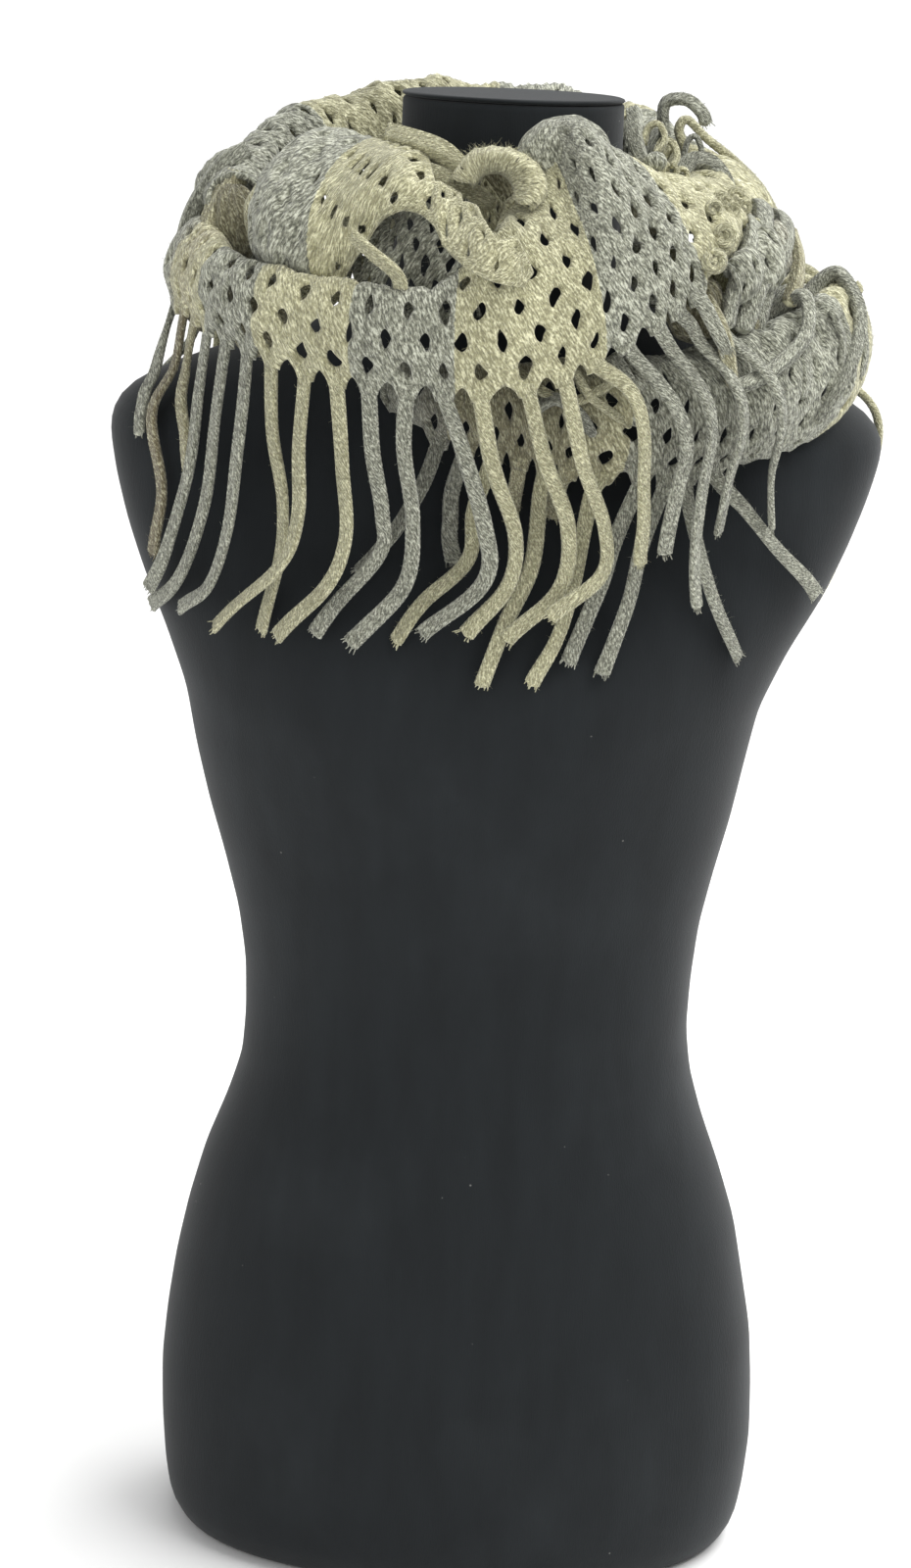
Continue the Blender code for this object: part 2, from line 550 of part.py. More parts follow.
# ---------------------------------------------------------------- meshes
def clear_scene():
    """Remove every object that the file opened with."""
    for item in list(bpy.data.objects):
        bpy.data.objects.remove(item, do_unlink=True)


def material(name, colour, roughness):
    """A plain named finish."""
    finish = bpy.data.materials.new(name)
    finish.use_nodes = True
    shader = finish.node_tree.nodes["Principled BSDF"]
    shader.inputs["Base Color"].default_value = (*colour, 1.0)
    shader.inputs["Roughness"].default_value = roughness
    return finish


def add_solid(name, points, faces, finish):
    """One named closed solid."""
    mesh = bpy.data.meshes.new(name)
    mesh.from_pydata([tuple(map(float, point)) for point in points], [], faces)
    work = bmesh.new()
    work.from_mesh(mesh)
    bmesh.ops.triangulate(work, faces=work.faces[:], quad_method="SHORT_EDGE")
    bmesh.ops.recalc_face_normals(work, faces=work.faces[:])
    if work.calc_volume(signed=True) < 0.0:
        bmesh.ops.reverse_faces(work, faces=work.faces[:])
    work.to_mesh(mesh)
    work.free()
    mesh.materials.append(finish)
    item = bpy.data.objects.new(name, mesh)
    bpy.context.scene.collection.objects.link(item)
    return item


def wall_solid(outer, inner):
    """Vertices and faces of a closed wall between two matching grids."""
    rows, columns = outer.shape[:2]
    points = np.concatenate([outer.reshape(-1, 3), inner.reshape(-1, 3)])
    base = rows * columns

    def at(i, j, side):
        return side * base + i * columns + j

    faces = []
    for i in range(rows - 1):
        for j in range(columns - 1):
            faces.append((at(i, j, 0), at(i + 1, j, 0), at(i + 1, j + 1, 0), at(i, j + 1, 0)))
            faces.append((at(i, j, 1), at(i, j + 1, 1), at(i + 1, j + 1, 1), at(i + 1, j, 1)))
    for i in range(rows - 1):
        for j in (0, columns - 1):
            faces.append((at(i, j, 0), at(i, j, 1), at(i + 1, j, 1), at(i + 1, j, 0)))
    for j in range(columns - 1):
        for i in (0, rows - 1):
            faces.append((at(i, j, 0), at(i, j + 1, 0), at(i, j + 1, 1), at(i, j, 1)))
    return points, faces


def build_stretch(name, samples, across, finish):
    """One stretch of the scarf as a closed wall."""
    places = cut_back(name, samples)
    points, normals = stretch_surface(name, places, np.linspace(0.0, 1.0, across))
    half = normals * CLOTH / 2.0
    return add_solid(name, *wall_solid(points + half, points - half), finish)


def build_hood(finish):
    """The rolled arch of cloth at the front of the neck."""
    points, normals = wall_frame(hood_grid(), np.linspace(0, 1, 16), np.linspace(0, 1, 10))
    half = normals * CLOTH / 2.0
    return add_solid("hood_fold", *wall_solid(points + half, points - half), finish)


def plain_tapes(first, last, count, length, sway, drop_from):
    """Plain tapes at an even pitch, each a little unlike the next."""
    rows = []
    for index in range(count):
        root = first + (last - first) * index / max(count - 1, 1)
        swing = sway * math.sin(2.3 * index + 0.6)
        kick = sway * math.sin(1.7 * index + 2.1)
        end = length * (1.0 + 0.05 * math.sin(3.1 * index))
        stations = []
        for share, turn in ((0.3, 0.15), (0.6, 0.5), (0.85, 0.9), (1.0, 1.25)):
            angle = root + swing * turn + kick * turn * turn * 0.6
            stations.append((angle, drop_from - end * share))
        rows.append((root, 8, *stations))
    return tuple(rows)


def hem_frames(name, count=600):
    """Points, down directions, outward normals and angles along a stretch's hem."""
    places = np.linspace(0.004, 0.996, count)
    points, normals = stretch_surface(name, places, np.array([0.0, 0.02]))
    down = points[:, 0] - points[:, 1]
    down /= np.linalg.norm(down, axis=1, keepdims=True)
    down += np.array((0.0, 0.0, -HEM_DROP))
    down /= np.linalg.norm(down, axis=1, keepdims=True)
    out = normals[:, 0]
    out = out - down * np.sum(out * down, axis=1, keepdims=True)
    out /= np.linalg.norm(out, axis=1, keepdims=True)
    hem = points[:, 0]
    angles = np.degrees(np.arctan2(hem[:, 0], -hem[:, 1]))
    return hem, down, out, angles


def ridge_frames(name, across, standing, count=600):
    """The same along a line on a stretch's outer face, for tapes that stand up or lie down it."""
    places = np.linspace(0.004, 0.996, count)
    points, normals = stretch_surface(name, places, np.array([across, across + 0.02]))
    out = points[:, 0] - points[:, 1]
    out /= np.linalg.norm(out, axis=1, keepdims=True)
    angles = np.degrees(np.arctan2(points[:, 0, 0], -points[:, 0, 1]))
    lift = CLOTH / 2.0 + FACE_GAP
    if standing:
        line = points[:, 0] + normals[:, 0] * (lift - STRIP_GAP)
        return line, normals[:, 0], out, angles
    line = points[:, 0] + normals[:, 0] * (lift + TAPE_THICKNESS / 2.0)
    return line, out, normals[:, 0], angles


def hanging(rows, over):
    """Root angles and routes of hanging tapes."""
    return [
        (row[0], lambda root, row=row: tape_path(root, row[2:], row[1] * MM, over), False)
        for row in rows
    ]


def loose(rows):
    """Root angles and routes of tapes in the open air."""
    return [(row[0], lambda root, row=row: free_path(root, row[1:]), True) for row in rows]


def arching(name, rows):
    """Root angles and routes of tapes that arch over a stretch's crest."""
    return [(row[0], lambda root, row=row: arch_path(name, root, row), True) for row in rows]


def arch_path(name, root_point, row):
    """A tape from a stretch's inner side over its crest and down its outer face."""
    _root, crest, end, rise, end_across = row
    line = np.linspace(0.004, 0.996, 300)
    middle = stretch_surface(name, line, np.array([0.5]))[0][:, 0]
    angles = np.degrees(np.arctan2(middle[:, 0], -middle[:, 1]))
    places = [root_point]
    for share in (0.2, 0.4, 0.6, 0.8, 1.0):
        across = ARCH_ROOT + (end_across - ARCH_ROOT) * share
        angle = np.interp(share, (0.0, 0.35, 1.0), (row[0], crest, end))
        along = line[int(np.argmin(np.abs(angles - angle)))]
        point, normal = stretch_surface(name, np.array([along]), np.array([across]))
        lift = ARCH_LIFT + rise * MM * math.sin(math.pi * min(share * 1.15, 1.0))
        places.append(point[0, 0] + normal[0, 0] * lift)
    return spline_weights(len(places), np.linspace(0.0, 1.0, 49)) @ np.array(places)


def build_fringe(name, frames, tapes, finish):
    """A row of tapes fused at their roots into one strip that is parted from the cloth."""
    hem, down, out, angles = frames
    steps = np.concatenate([[0.0], np.cumsum(np.linalg.norm(np.diff(hem, axis=0), axis=1))])
    roots = []
    for root, route, free in tapes:
        index = int(np.argmin(np.abs((angles - root + 180.0) % 360.0 - 180.0)))
        roots.append((steps[index], (route, free)))
    roots.sort(key=lambda pair: pair[0])
    stations = [roots[0][0] - TAPE_WIDTH / 2.0 - 0.002]
    owners = []
    for place, owner in roots:
        start = place - TAPE_WIDTH / 2.0
        spare = start - stations[-1]
        pieces = max(1, math.ceil(spare / STRIP_STEP))
        last = stations[-1]
        for piece in range(1, pieces + 1):
            owners.append(None)
            stations.append(last + spare * piece / pieces)
        owners.append(owner)
        stations.append(place + TAPE_WIDTH / 2.0)
    owners.append(None)
    stations.append(stations[-1] + 0.002)
    stations = np.clip(np.array(stations), steps[0], steps[-1])

    def at(values):
        return np.stack([np.interp(stations, steps, values[:, axis]) for axis in range(3)], -1)

    top = at(hem) + at(down) * STRIP_GAP
    low = at(hem) + at(down) * (STRIP_GAP + STRIP_HEIGHT)
    side = at(out) * TAPE_THICKNESS / 2.0
    corners = (top + side, low + side, low - side, top - side)
    points = [corner[i] for i in range(len(stations)) for corner in corners]
    faces = [(0, 1, 2, 3), tuple(4 * (len(stations) - 1) + k for k in (3, 2, 1, 0))]
    for i, owner in enumerate(owners):
        a = 4 * i
        b = a + 4
        faces.append((a, b, b + 1, a + 1))
        faces.append((a + 2, b + 2, b + 3, a + 3))
        faces.append((a + 3, b + 3, b, a))
        if owner is None:
            faces.append((a + 1, b + 1, b + 2, a + 2))
            continue
        add_tape(points, faces, (a + 1, b + 1, b + 2, a + 2), *owner)
    return add_solid(name, points, faces, finish)


def add_tape(points, faces, ring, route, free):
    """Sweep one tape from four corners of the strip to its tip, flat to the form or free."""
    corners = np.array([points[index] for index in ring])
    root = corners.mean(axis=0)
    path = route(root)
    length = float(np.linalg.norm(np.diff(path, axis=0), axis=1).sum())
    rings = min(max(round(length / RING_STEP) + 1, 4), 10)
    path = even_points(path, rings)
    start = corners[0] - corners[3]
    start /= np.linalg.norm(start)
    last = ring
    for index in range(1, rings):
        ahead = path[min(index + 1, rings - 1)] - path[index - 1]
        ahead /= np.linalg.norm(ahead)
        if free:
            away = start if index == 1 else thick
        else:
            angle = math.atan2(path[index][0], -path[index][1])
            slope = min(form_slope(math.degrees(angle), path[index][2]), 1.5)
            away = np.array((math.sin(angle), -math.cos(angle), slope))
            away /= np.linalg.norm(away)
            share = min(index / 2.5, 1.0)
            away = start * (1.0 - share) + away * share
        away = away - ahead * float(away @ ahead)
        thick = away / np.linalg.norm(away)
        wide = np.cross(thick, ahead)
        before = corners[1] - corners[0] if index == 1 else wide_before
        if float(wide @ before) < 0.0:
            wide = -wide
        wide_before = wide
        across = wide * TAPE_WIDTH / 2.0
        through = thick * TAPE_THICKNESS / 2.0
        base = len(points)
        for corner in (through - across, through + across, across - through, -across - through):
            points.append(path[index] + corner)
        new = (base, base + 1, base + 2, base + 3)
        for k in range(4):
            after = (k + 1) % 4
            faces.append((last[k], last[after], new[after], new[k]))
        last = new
    faces.append(last)


def build_form(finish):
    """The limbless dress form, closed under its base and at the neck."""
    heights = [row[0] * MM for row in FORM_ROWS]
    heights[-1] = FORM_HEIGHT - CAP_THICKNESS - CAP_GAP
    points = []
    for height in heights:
        for step in range(FORM_SEGMENTS):
            points.append(form_point(360.0 * step / FORM_SEGMENTS, height))
    faces = []
    for ring in range(len(heights) - 1):
        for step in range(FORM_SEGMENTS):
            after = (step + 1) % FORM_SEGMENTS
            low = ring * FORM_SEGMENTS
            high = low + FORM_SEGMENTS
            faces.append((low + step, low + after, high + after, high + step))
    last = (len(heights) - 1) * FORM_SEGMENTS
    faces.append(tuple(range(FORM_SEGMENTS - 1, -1, -1)))
    faces.append(tuple(last + step for step in range(FORM_SEGMENTS)))
    return add_solid("form_body", points, faces, finish)


def build_cap(finish):
    """The covered disc that closes the neck."""
    rings = ((0.0, 1.0), (0.45, 1.004), (0.8, 0.985), (1.0, 0.95))
    points = []
    for rise, scale in rings:
        height = FORM_HEIGHT - CAP_THICKNESS * (1.0 - rise)
        for step in range(FORM_SEGMENTS):
            turn = 2.0 * math.pi * step / FORM_SEGMENTS
            radius = NECK_RADIUS * scale
            points.append((radius * math.sin(turn), -radius * math.cos(turn), height))
    faces = []
    for ring in range(len(rings) - 1):
        for step in range(FORM_SEGMENTS):
            after = (step + 1) % FORM_SEGMENTS
            low = ring * FORM_SEGMENTS
            high = low + FORM_SEGMENTS
            faces.append((low + step, low + after, high + after, high + step))
    last = (len(rings) - 1) * FORM_SEGMENTS
    faces.append(tuple(range(FORM_SEGMENTS - 1, -1, -1)))
    faces.append(tuple(last + step for step in range(FORM_SEGMENTS)))
    return add_solid("neck_cap", points, faces, finish)


def main():
    """Build every solid of the scarf and its dress form."""
    clear_scene()
    jersey = material("black_jersey", (0.018, 0.021, 0.024), 0.85)
    beige = material("beige_knit", (0.36, 0.35, 0.22), 0.95)
    grey = material("grey_knit", (0.21, 0.215, 0.16), 0.95)
    build_form(jersey)
    build_cap(jersey)
    for index, (name, _first, _last, samples, across) in enumerate(RIBBON_STRETCHES):
        build_stretch(name, samples, across, grey if index % 2 else beige)
    for name, _rows, samples, across in FREE_STRETCHES:
        build_stretch(name, samples, across, grey)
    build_hood(beige)
    shoulder_plain = plain_tapes(*SHOULDER_PLAIN, 646)
    left_tapes = LEFT_TAPES + plain_tapes(*LEFT_PLAIN, 662)
    fringes = (
        ("fringe_front", hem_frames("sash_front"), hanging(FRONT_TAPES, True), beige),
        ("fringe_inner", hem_frames("inner_front"), hanging(INNER_TAPES, False), grey),
        ("fringe_shoulder", hem_frames("shoulder_right"), hanging(SHOULDER_TAPES, False), grey),
        ("fringe_shoulder_back", hem_frames("shoulder_right"), hanging(shoulder_plain, False), grey),
        ("fringe_left", hem_frames("wrap_left"), hanging(left_tapes, False), grey),
        ("fringe_back", hem_frames("wrap_back"), hanging(plain_tapes(*BACK_PLAIN, 652), False), beige),
        ("fringe_loose", ridge_frames("sash_front", LOOSE_ROOT, True), loose(LOOSE_TAPES), beige),
        ("fringe_top", ridge_frames("sash_right", TOP_ROOT, True), loose(TOP_TAPES), grey),
        (
            "fringe_arches",
            ridge_frames("shoulder_right", ARCH_ROOT, False),
            arching("shoulder_right", ARCH_TAPES),
            grey,
        ),
    )
    for name, frames, tapes, finish in fringes:
        build_fringe(name, frames, tapes, finish)


main()
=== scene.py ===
"""Looks of the fringed openwork infinity scarf and its dress form.

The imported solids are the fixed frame.  The scarf is knitted again as an eyelet net: a
lattice of diamond cells is laid on the same surfaces that the solids have, in cloth
measure, with one round-edged hole in each cell.  The fringe is swept along the same
paths as knitted tapes with frayed ends.  The form gets a smooth jersey cover.
"""
import sys
import logging
import math
from dataclasses import dataclass, field
from enum import Enum
from typing import Iterable, Optional, Sequence

import bpy
import numpy as np
from mathutils import Matrix, Vector


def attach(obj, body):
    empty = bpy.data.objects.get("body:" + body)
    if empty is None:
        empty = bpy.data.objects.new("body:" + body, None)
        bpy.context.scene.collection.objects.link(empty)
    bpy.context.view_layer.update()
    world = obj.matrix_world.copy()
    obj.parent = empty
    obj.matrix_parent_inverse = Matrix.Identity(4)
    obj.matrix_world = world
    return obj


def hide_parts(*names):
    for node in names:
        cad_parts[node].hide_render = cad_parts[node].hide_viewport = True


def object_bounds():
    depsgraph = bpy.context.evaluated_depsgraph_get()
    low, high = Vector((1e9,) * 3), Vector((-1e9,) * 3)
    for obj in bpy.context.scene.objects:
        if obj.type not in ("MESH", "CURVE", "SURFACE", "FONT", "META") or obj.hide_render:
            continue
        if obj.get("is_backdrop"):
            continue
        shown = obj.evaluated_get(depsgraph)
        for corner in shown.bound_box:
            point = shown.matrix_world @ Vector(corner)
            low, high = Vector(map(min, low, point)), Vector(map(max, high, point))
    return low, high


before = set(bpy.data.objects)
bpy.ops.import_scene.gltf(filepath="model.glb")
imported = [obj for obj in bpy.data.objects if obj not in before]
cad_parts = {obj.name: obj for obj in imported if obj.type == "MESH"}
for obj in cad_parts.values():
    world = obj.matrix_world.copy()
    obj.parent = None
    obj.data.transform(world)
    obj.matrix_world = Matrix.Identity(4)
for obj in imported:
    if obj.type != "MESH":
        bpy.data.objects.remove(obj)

LOG = logging.getLogger("scarf")
CAD_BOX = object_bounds()
MM = 0.001
BODY = "root"

# short names of types: a row of a table, two or three numbers, and what the modules hold
Row = tuple
Pair = tuple[float, float]
Triple = tuple[float, float, float]
Array = np.ndarray
Item = bpy.types.Object
Finish = bpy.types.Material
Socket = bpy.types.NodeSocket

# ---------------------------------------------------------------- shared sizes
FORM_HEIGHT = 0.775        # base to neck top
NECK_RADIUS = 0.0555       # padded neck of the form
CAP_THICKNESS = 0.0026     # covered disc on the neck
CLOTH = 0.0028             # thickness of the openwork knit
TAPE_WIDTH = 0.0088        # one fringe tape, across
TAPE_THICKNESS = 0.0042    # one fringe tape, through
STRIP_DROP = 0.0040        # how far under the hem a tape's root lies
FACE_GAP = 0.0006          # parting between a face and what lies on it
STRIP_GAP = 0.0010         # parting between hem and fringe
END_MARK = 0.001           # stitch coordinate of a tube's closed ends
RIM_MARK = 0.0012          # width of a rim in stitch coordinates
YARN_MARKS = ("grey", "brown", "light")


# ---------------------------------------------------------------- dress form
# height, half width, front depth, back depth, sideways shift, squareness (mm)
FORM_ROWS = (
    (0, 147.0, 88, 90, 0, 2.25),
    (3, 152.0, 94, 96, 0, 2.25),
    (12, 157.0, 100, 102, 0, 2.25),
    (30, 160.0, 104, 107, 0, 2.25),
    (60, 162.3, 106, 110, 0, 2.25),
    (90, 162.0, 106, 112, -1, 2.25),
    (120, 159.5, 105, 112, -1, 2.25),
    (150, 154.5, 103, 110, -2, 2.25),
    (180, 148.5, 101, 106, -2, 2.22),
    (210, 139.5, 98, 100, -3, 2.20),
    (240, 128.0, 94, 93, -3, 2.20),
    (265, 120.5, 91, 87, -3, 2.20),
    (290, 118.0, 89, 83, -4, 2.20),
    (320, 118.8, 90, 82, -4, 2.20),
    (350, 122.5, 94, 83, -5, 2.20),
    (380, 129.5, 99, 86, -6, 2.20),
    (410, 137.5, 105, 90, -7, 2.20),
    (440, 143.8, 111, 94, -8, 2.22),
    (470, 149.5, 114, 98, -8, 2.25),
    (500, 161.5, 112, 101, -7, 2.25),
    (530, 176.0, 106, 102, -5, 2.30),
    (555, 185.5, 99, 101, -4, 2.35),
    (580, 193.0, 91, 98, -3, 2.40),
    (600, 197.3, 84, 93, -2, 2.45),
    (612, 197.0, 79, 89, -1, 2.45),
    (622, 190.0, 74, 84, -1, 2.40),
    (632, 172.0, 69, 78, 0, 2.35),
    (642, 146.0, 64, 72, 0, 2.25),
    (652, 118.0, 61, 67, 0, 2.15),
    (662, 92.0, 59, 63, 0, 2.05),
    (672, 72.0, 57.5, 60, 0, 2.00),
    (684, 60.5, 56.5, 58, 0, 2.00),
    (700, 56.6, 56.0, 57, 0, 2.00),
    (735, 55.8, 55.8, 56, 0, 2.00),
    (768, 55.5, 55.5, 55.5, 0, 2.00),
)


# One row a section: angle round the neck in degrees (0 at the front, + to the right
# as it is seen from the front), lean in degrees from hem to tuck, then radius and
# height in mm of hem, low face, high face, crest, inside and tuck.
RIBBON_ROWS = (
    (-31, 0, (108, 628), (113, 638), (112, 650), (106, 659), (98, 656), (92, 646)),
    (-18, 0, (112, 620), (117, 632), (116, 646), (109, 655), (101, 653), (95, 643)),
    (-4, 0, (115, 615), (120, 628), (119, 643), (112, 653), (103, 652), (98, 643)),
    (12, 0, (121, 609), (125, 624), (124, 642), (117, 655), (107, 654), (102, 644)),
    (28, 0, (132, 605), (138, 621), (139, 642), (130, 656), (119, 657), (112, 648)),
    (40, 0, (142, 606), (151, 621), (155, 642), (145, 658), (133, 661), (126, 651)),
    (55, 0, (154, 610), (166, 623), (173, 646), (163, 671), (151, 674), (144, 662)),
    (70, 0, (165, 619), (178, 635), (184, 658), (174, 684), (164, 687), (158, 675)),
    (86, 0, (170, 636), (179, 649), (180, 668), (170, 687), (160, 687), (154, 676)),
    (102, 0, (170, 645), (178, 656), (179, 672), (170, 686), (159, 687), (151, 677)),
    (120, 0, (166, 648), (174, 658), (175, 673), (167, 686), (156, 689), (145, 684)),
    (138, 0, (160, 650), (167, 664), (165, 681), (156, 691), (144, 693), (131, 689)),
    (158, 0, (153, 653), (158, 668), (155, 684), (147, 694), (134, 696), (121, 692)),
    (178, 0, (150, 656), (154, 671), (151, 686), (143, 695), (131, 697), (118, 693)),
    (198, 0, (151, 659), (155, 673), (152, 688), (144, 696), (132, 697), (119, 693)),
    (218, 0, (157, 661), (162, 675), (159, 689), (151, 697), (140, 698), (127, 693)),
    (238, 0, (163, 664), (167, 678), (164, 692), (156, 700), (146, 699), (135, 694)),
    (258, 0, (167, 666), (170, 680), (166, 694), (157, 703), (147, 701), (137, 694)),
    (275, 0, (167, 668), (169, 681), (165, 695), (156, 705), (146, 702), (138, 693)),
    (290, 0, (165, 669), (168, 681), (165, 695), (157, 704), (148, 700), (142, 689)),
    (304, 0, (166, 663), (170, 675), (168, 689), (161, 698), (153, 694), (149, 680)),
    (318, 0, (158, 654), (162, 667), (161, 683), (155, 693), (147, 689), (143, 675)),
    (332, 0, (150, 648), (154, 662), (153, 680), (147, 690), (139, 686), (135, 672)),
    (346, 0, (143, 646), (147, 662), (146, 680), (140, 691), (132, 688), (128, 674)),
    (358, -3, (141, 647), (144, 667), (142, 690), (134, 711), (125, 713), (118, 703)),
    (368, -9, (141, 652), (143, 675), (137, 702), (124, 720), (104, 723), (92, 729)),
    (378, -7, (142, 663), (143, 686), (133, 711), (114, 729), (96, 744), (83, 753)),
    (390, -16, (144, 681), (144, 704), (132, 732), (112, 754), (92, 766), (77, 763)),
    (400, -12, (146, 697), (142, 714), (129, 734), (107, 750), (86, 754), (72, 743)),
    (412, -4, (139, 710), (137, 720), (126, 731), (105, 740), (86, 737), (74, 721)),
    (430, 0, (129, 708), (132, 720), (124, 733), (108, 742), (91, 740), (79, 724)),
    (455, 0, (128, 706), (131, 718), (123, 732), (108, 744), (90, 743), (79, 726)),
    (478, 0, (130, 702), (133, 717), (122, 736), (102, 753), (82, 755), (72, 736)),
    (500, 0, (127, 702), (131, 720), (120, 743), (99, 764), (80, 764), (70, 742)),
    (525, 0, (123, 704), (128, 724), (117, 750), (96, 771), (76, 768), (69, 744)),
    (552, 0, (124, 705), (129, 727), (118, 754), (97, 774), (77, 769), (69, 744)),
    (574, 0, (129, 705), (135, 728), (127, 754), (107, 773), (87, 768), (76, 742)),
    (590, 0, (137, 704), (144, 726), (139, 749), (125, 765), (107, 758), (96, 732)),
    (607, 0, (143, 708), (151, 721), (149, 738), (138, 750), (124, 745), (113, 722)),
    (624, 0, (146, 709), (156, 718), (153, 730), (142, 739), (129, 734), (119, 714)),
    (638, 0, (143, 709), (151, 716), (148, 725), (138, 730), (127, 724), (119, 708)),
)
RISE_ROWS = (
    (-6, 0, (105, 676), (108, 687), (105, 699), (98, 707), (91, 703), (87, 693)),
    (-14, 0, (112, 671), (116, 685), (112, 700), (104, 712), (95, 708), (90, 696)),
    (-24, 0, (115, 670), (120, 688), (117, 707), (106, 724), (94, 724), (88, 712)),
    (-34, 0, (116, 670), (121, 688), (116, 707), (104, 724), (92, 726), (84, 714)),
    (-44, 0, (112, 670), (117, 686), (113, 704), (102, 720), (92, 722), (84, 712)),
)
PUFF_ROWS = (
    (5, 0, (147, 694), (146, 699), (144, 703), (142, 707), (141, 711), (140, 715)),
    (-3, 0, (147, 697), (146, 702), (144, 708), (141, 715), (136, 721), (132, 725)),
    (-11, 0, (135, 706), (133, 712), (129, 719), (124, 726), (117, 731), (111, 730)),
    (-19, 0, (122, 722), (121, 727), (118, 733), (112, 738), (106, 739), (102, 735)),
    (-27, 0, (128, 720), (130, 728), (126, 739), (112, 748), (95, 749), (84, 737)),
    (-37, 0, (136, 685), (147, 702), (146, 726), (127, 748), (102, 754), (84, 738)),
    (-48, 0, (134, 683), (151, 700), (152, 726), (133, 750), (105, 756), (87, 738)),
    (-58, 0, (128, 683), (143, 700), (144, 724), (128, 746), (104, 753), (88, 736)),
    (-68, 0, (116, 686), (126, 701), (126, 722), (115, 740), (99, 746), (87, 731)),
    (-80, 0, (105, 692), (110, 704), (110, 720), (103, 734), (93, 738), (85, 726)),
)
LINING_ROWS = (
    (-17, 0, (97, 725), (96, 730), (94, 735), (91, 738)),
    (-12, 0, (98, 715), (96, 724), (94, 733), (89, 739)),
    (-7, 0, (99, 709), (96, 720), (92, 730), (88, 739)),
    (-1, 0, (99, 708), (95, 716), (91, 725), (88, 732)),
)
ROLL_ROWS = (
    (45, 0, (147, 686), (151, 692), (151, 699), (148, 704), (145, 700), (144, 692)),
    (51, 0, (148, 687), (155, 695), (154, 705), (149, 711), (144, 706), (143, 695)),
    (57, 0, (147, 689), (154, 698), (152, 710), (146, 717), (141, 712), (140, 700)),
    (63, 0, (145, 691), (151, 701), (149, 714), (144, 721), (138, 716), (137, 703)),
    (69, 0, (142, 696), (146, 704), (144, 713), (141, 719), (137, 714), (136, 705)),
)

# first and last section of each stretch of the ribbon
RIBBON_SPANS = {
    "inner_front": (0, 4),
    "shoulder_right": (4, 11),
    "wrap_back": (11, 15),
    "wrap_left": (15, 19),
    "sash_front": (19, 28),
    "sash_right": (28, 32),
    "collar_back": (32, 36),
    "collar_left": (36, 40),
}

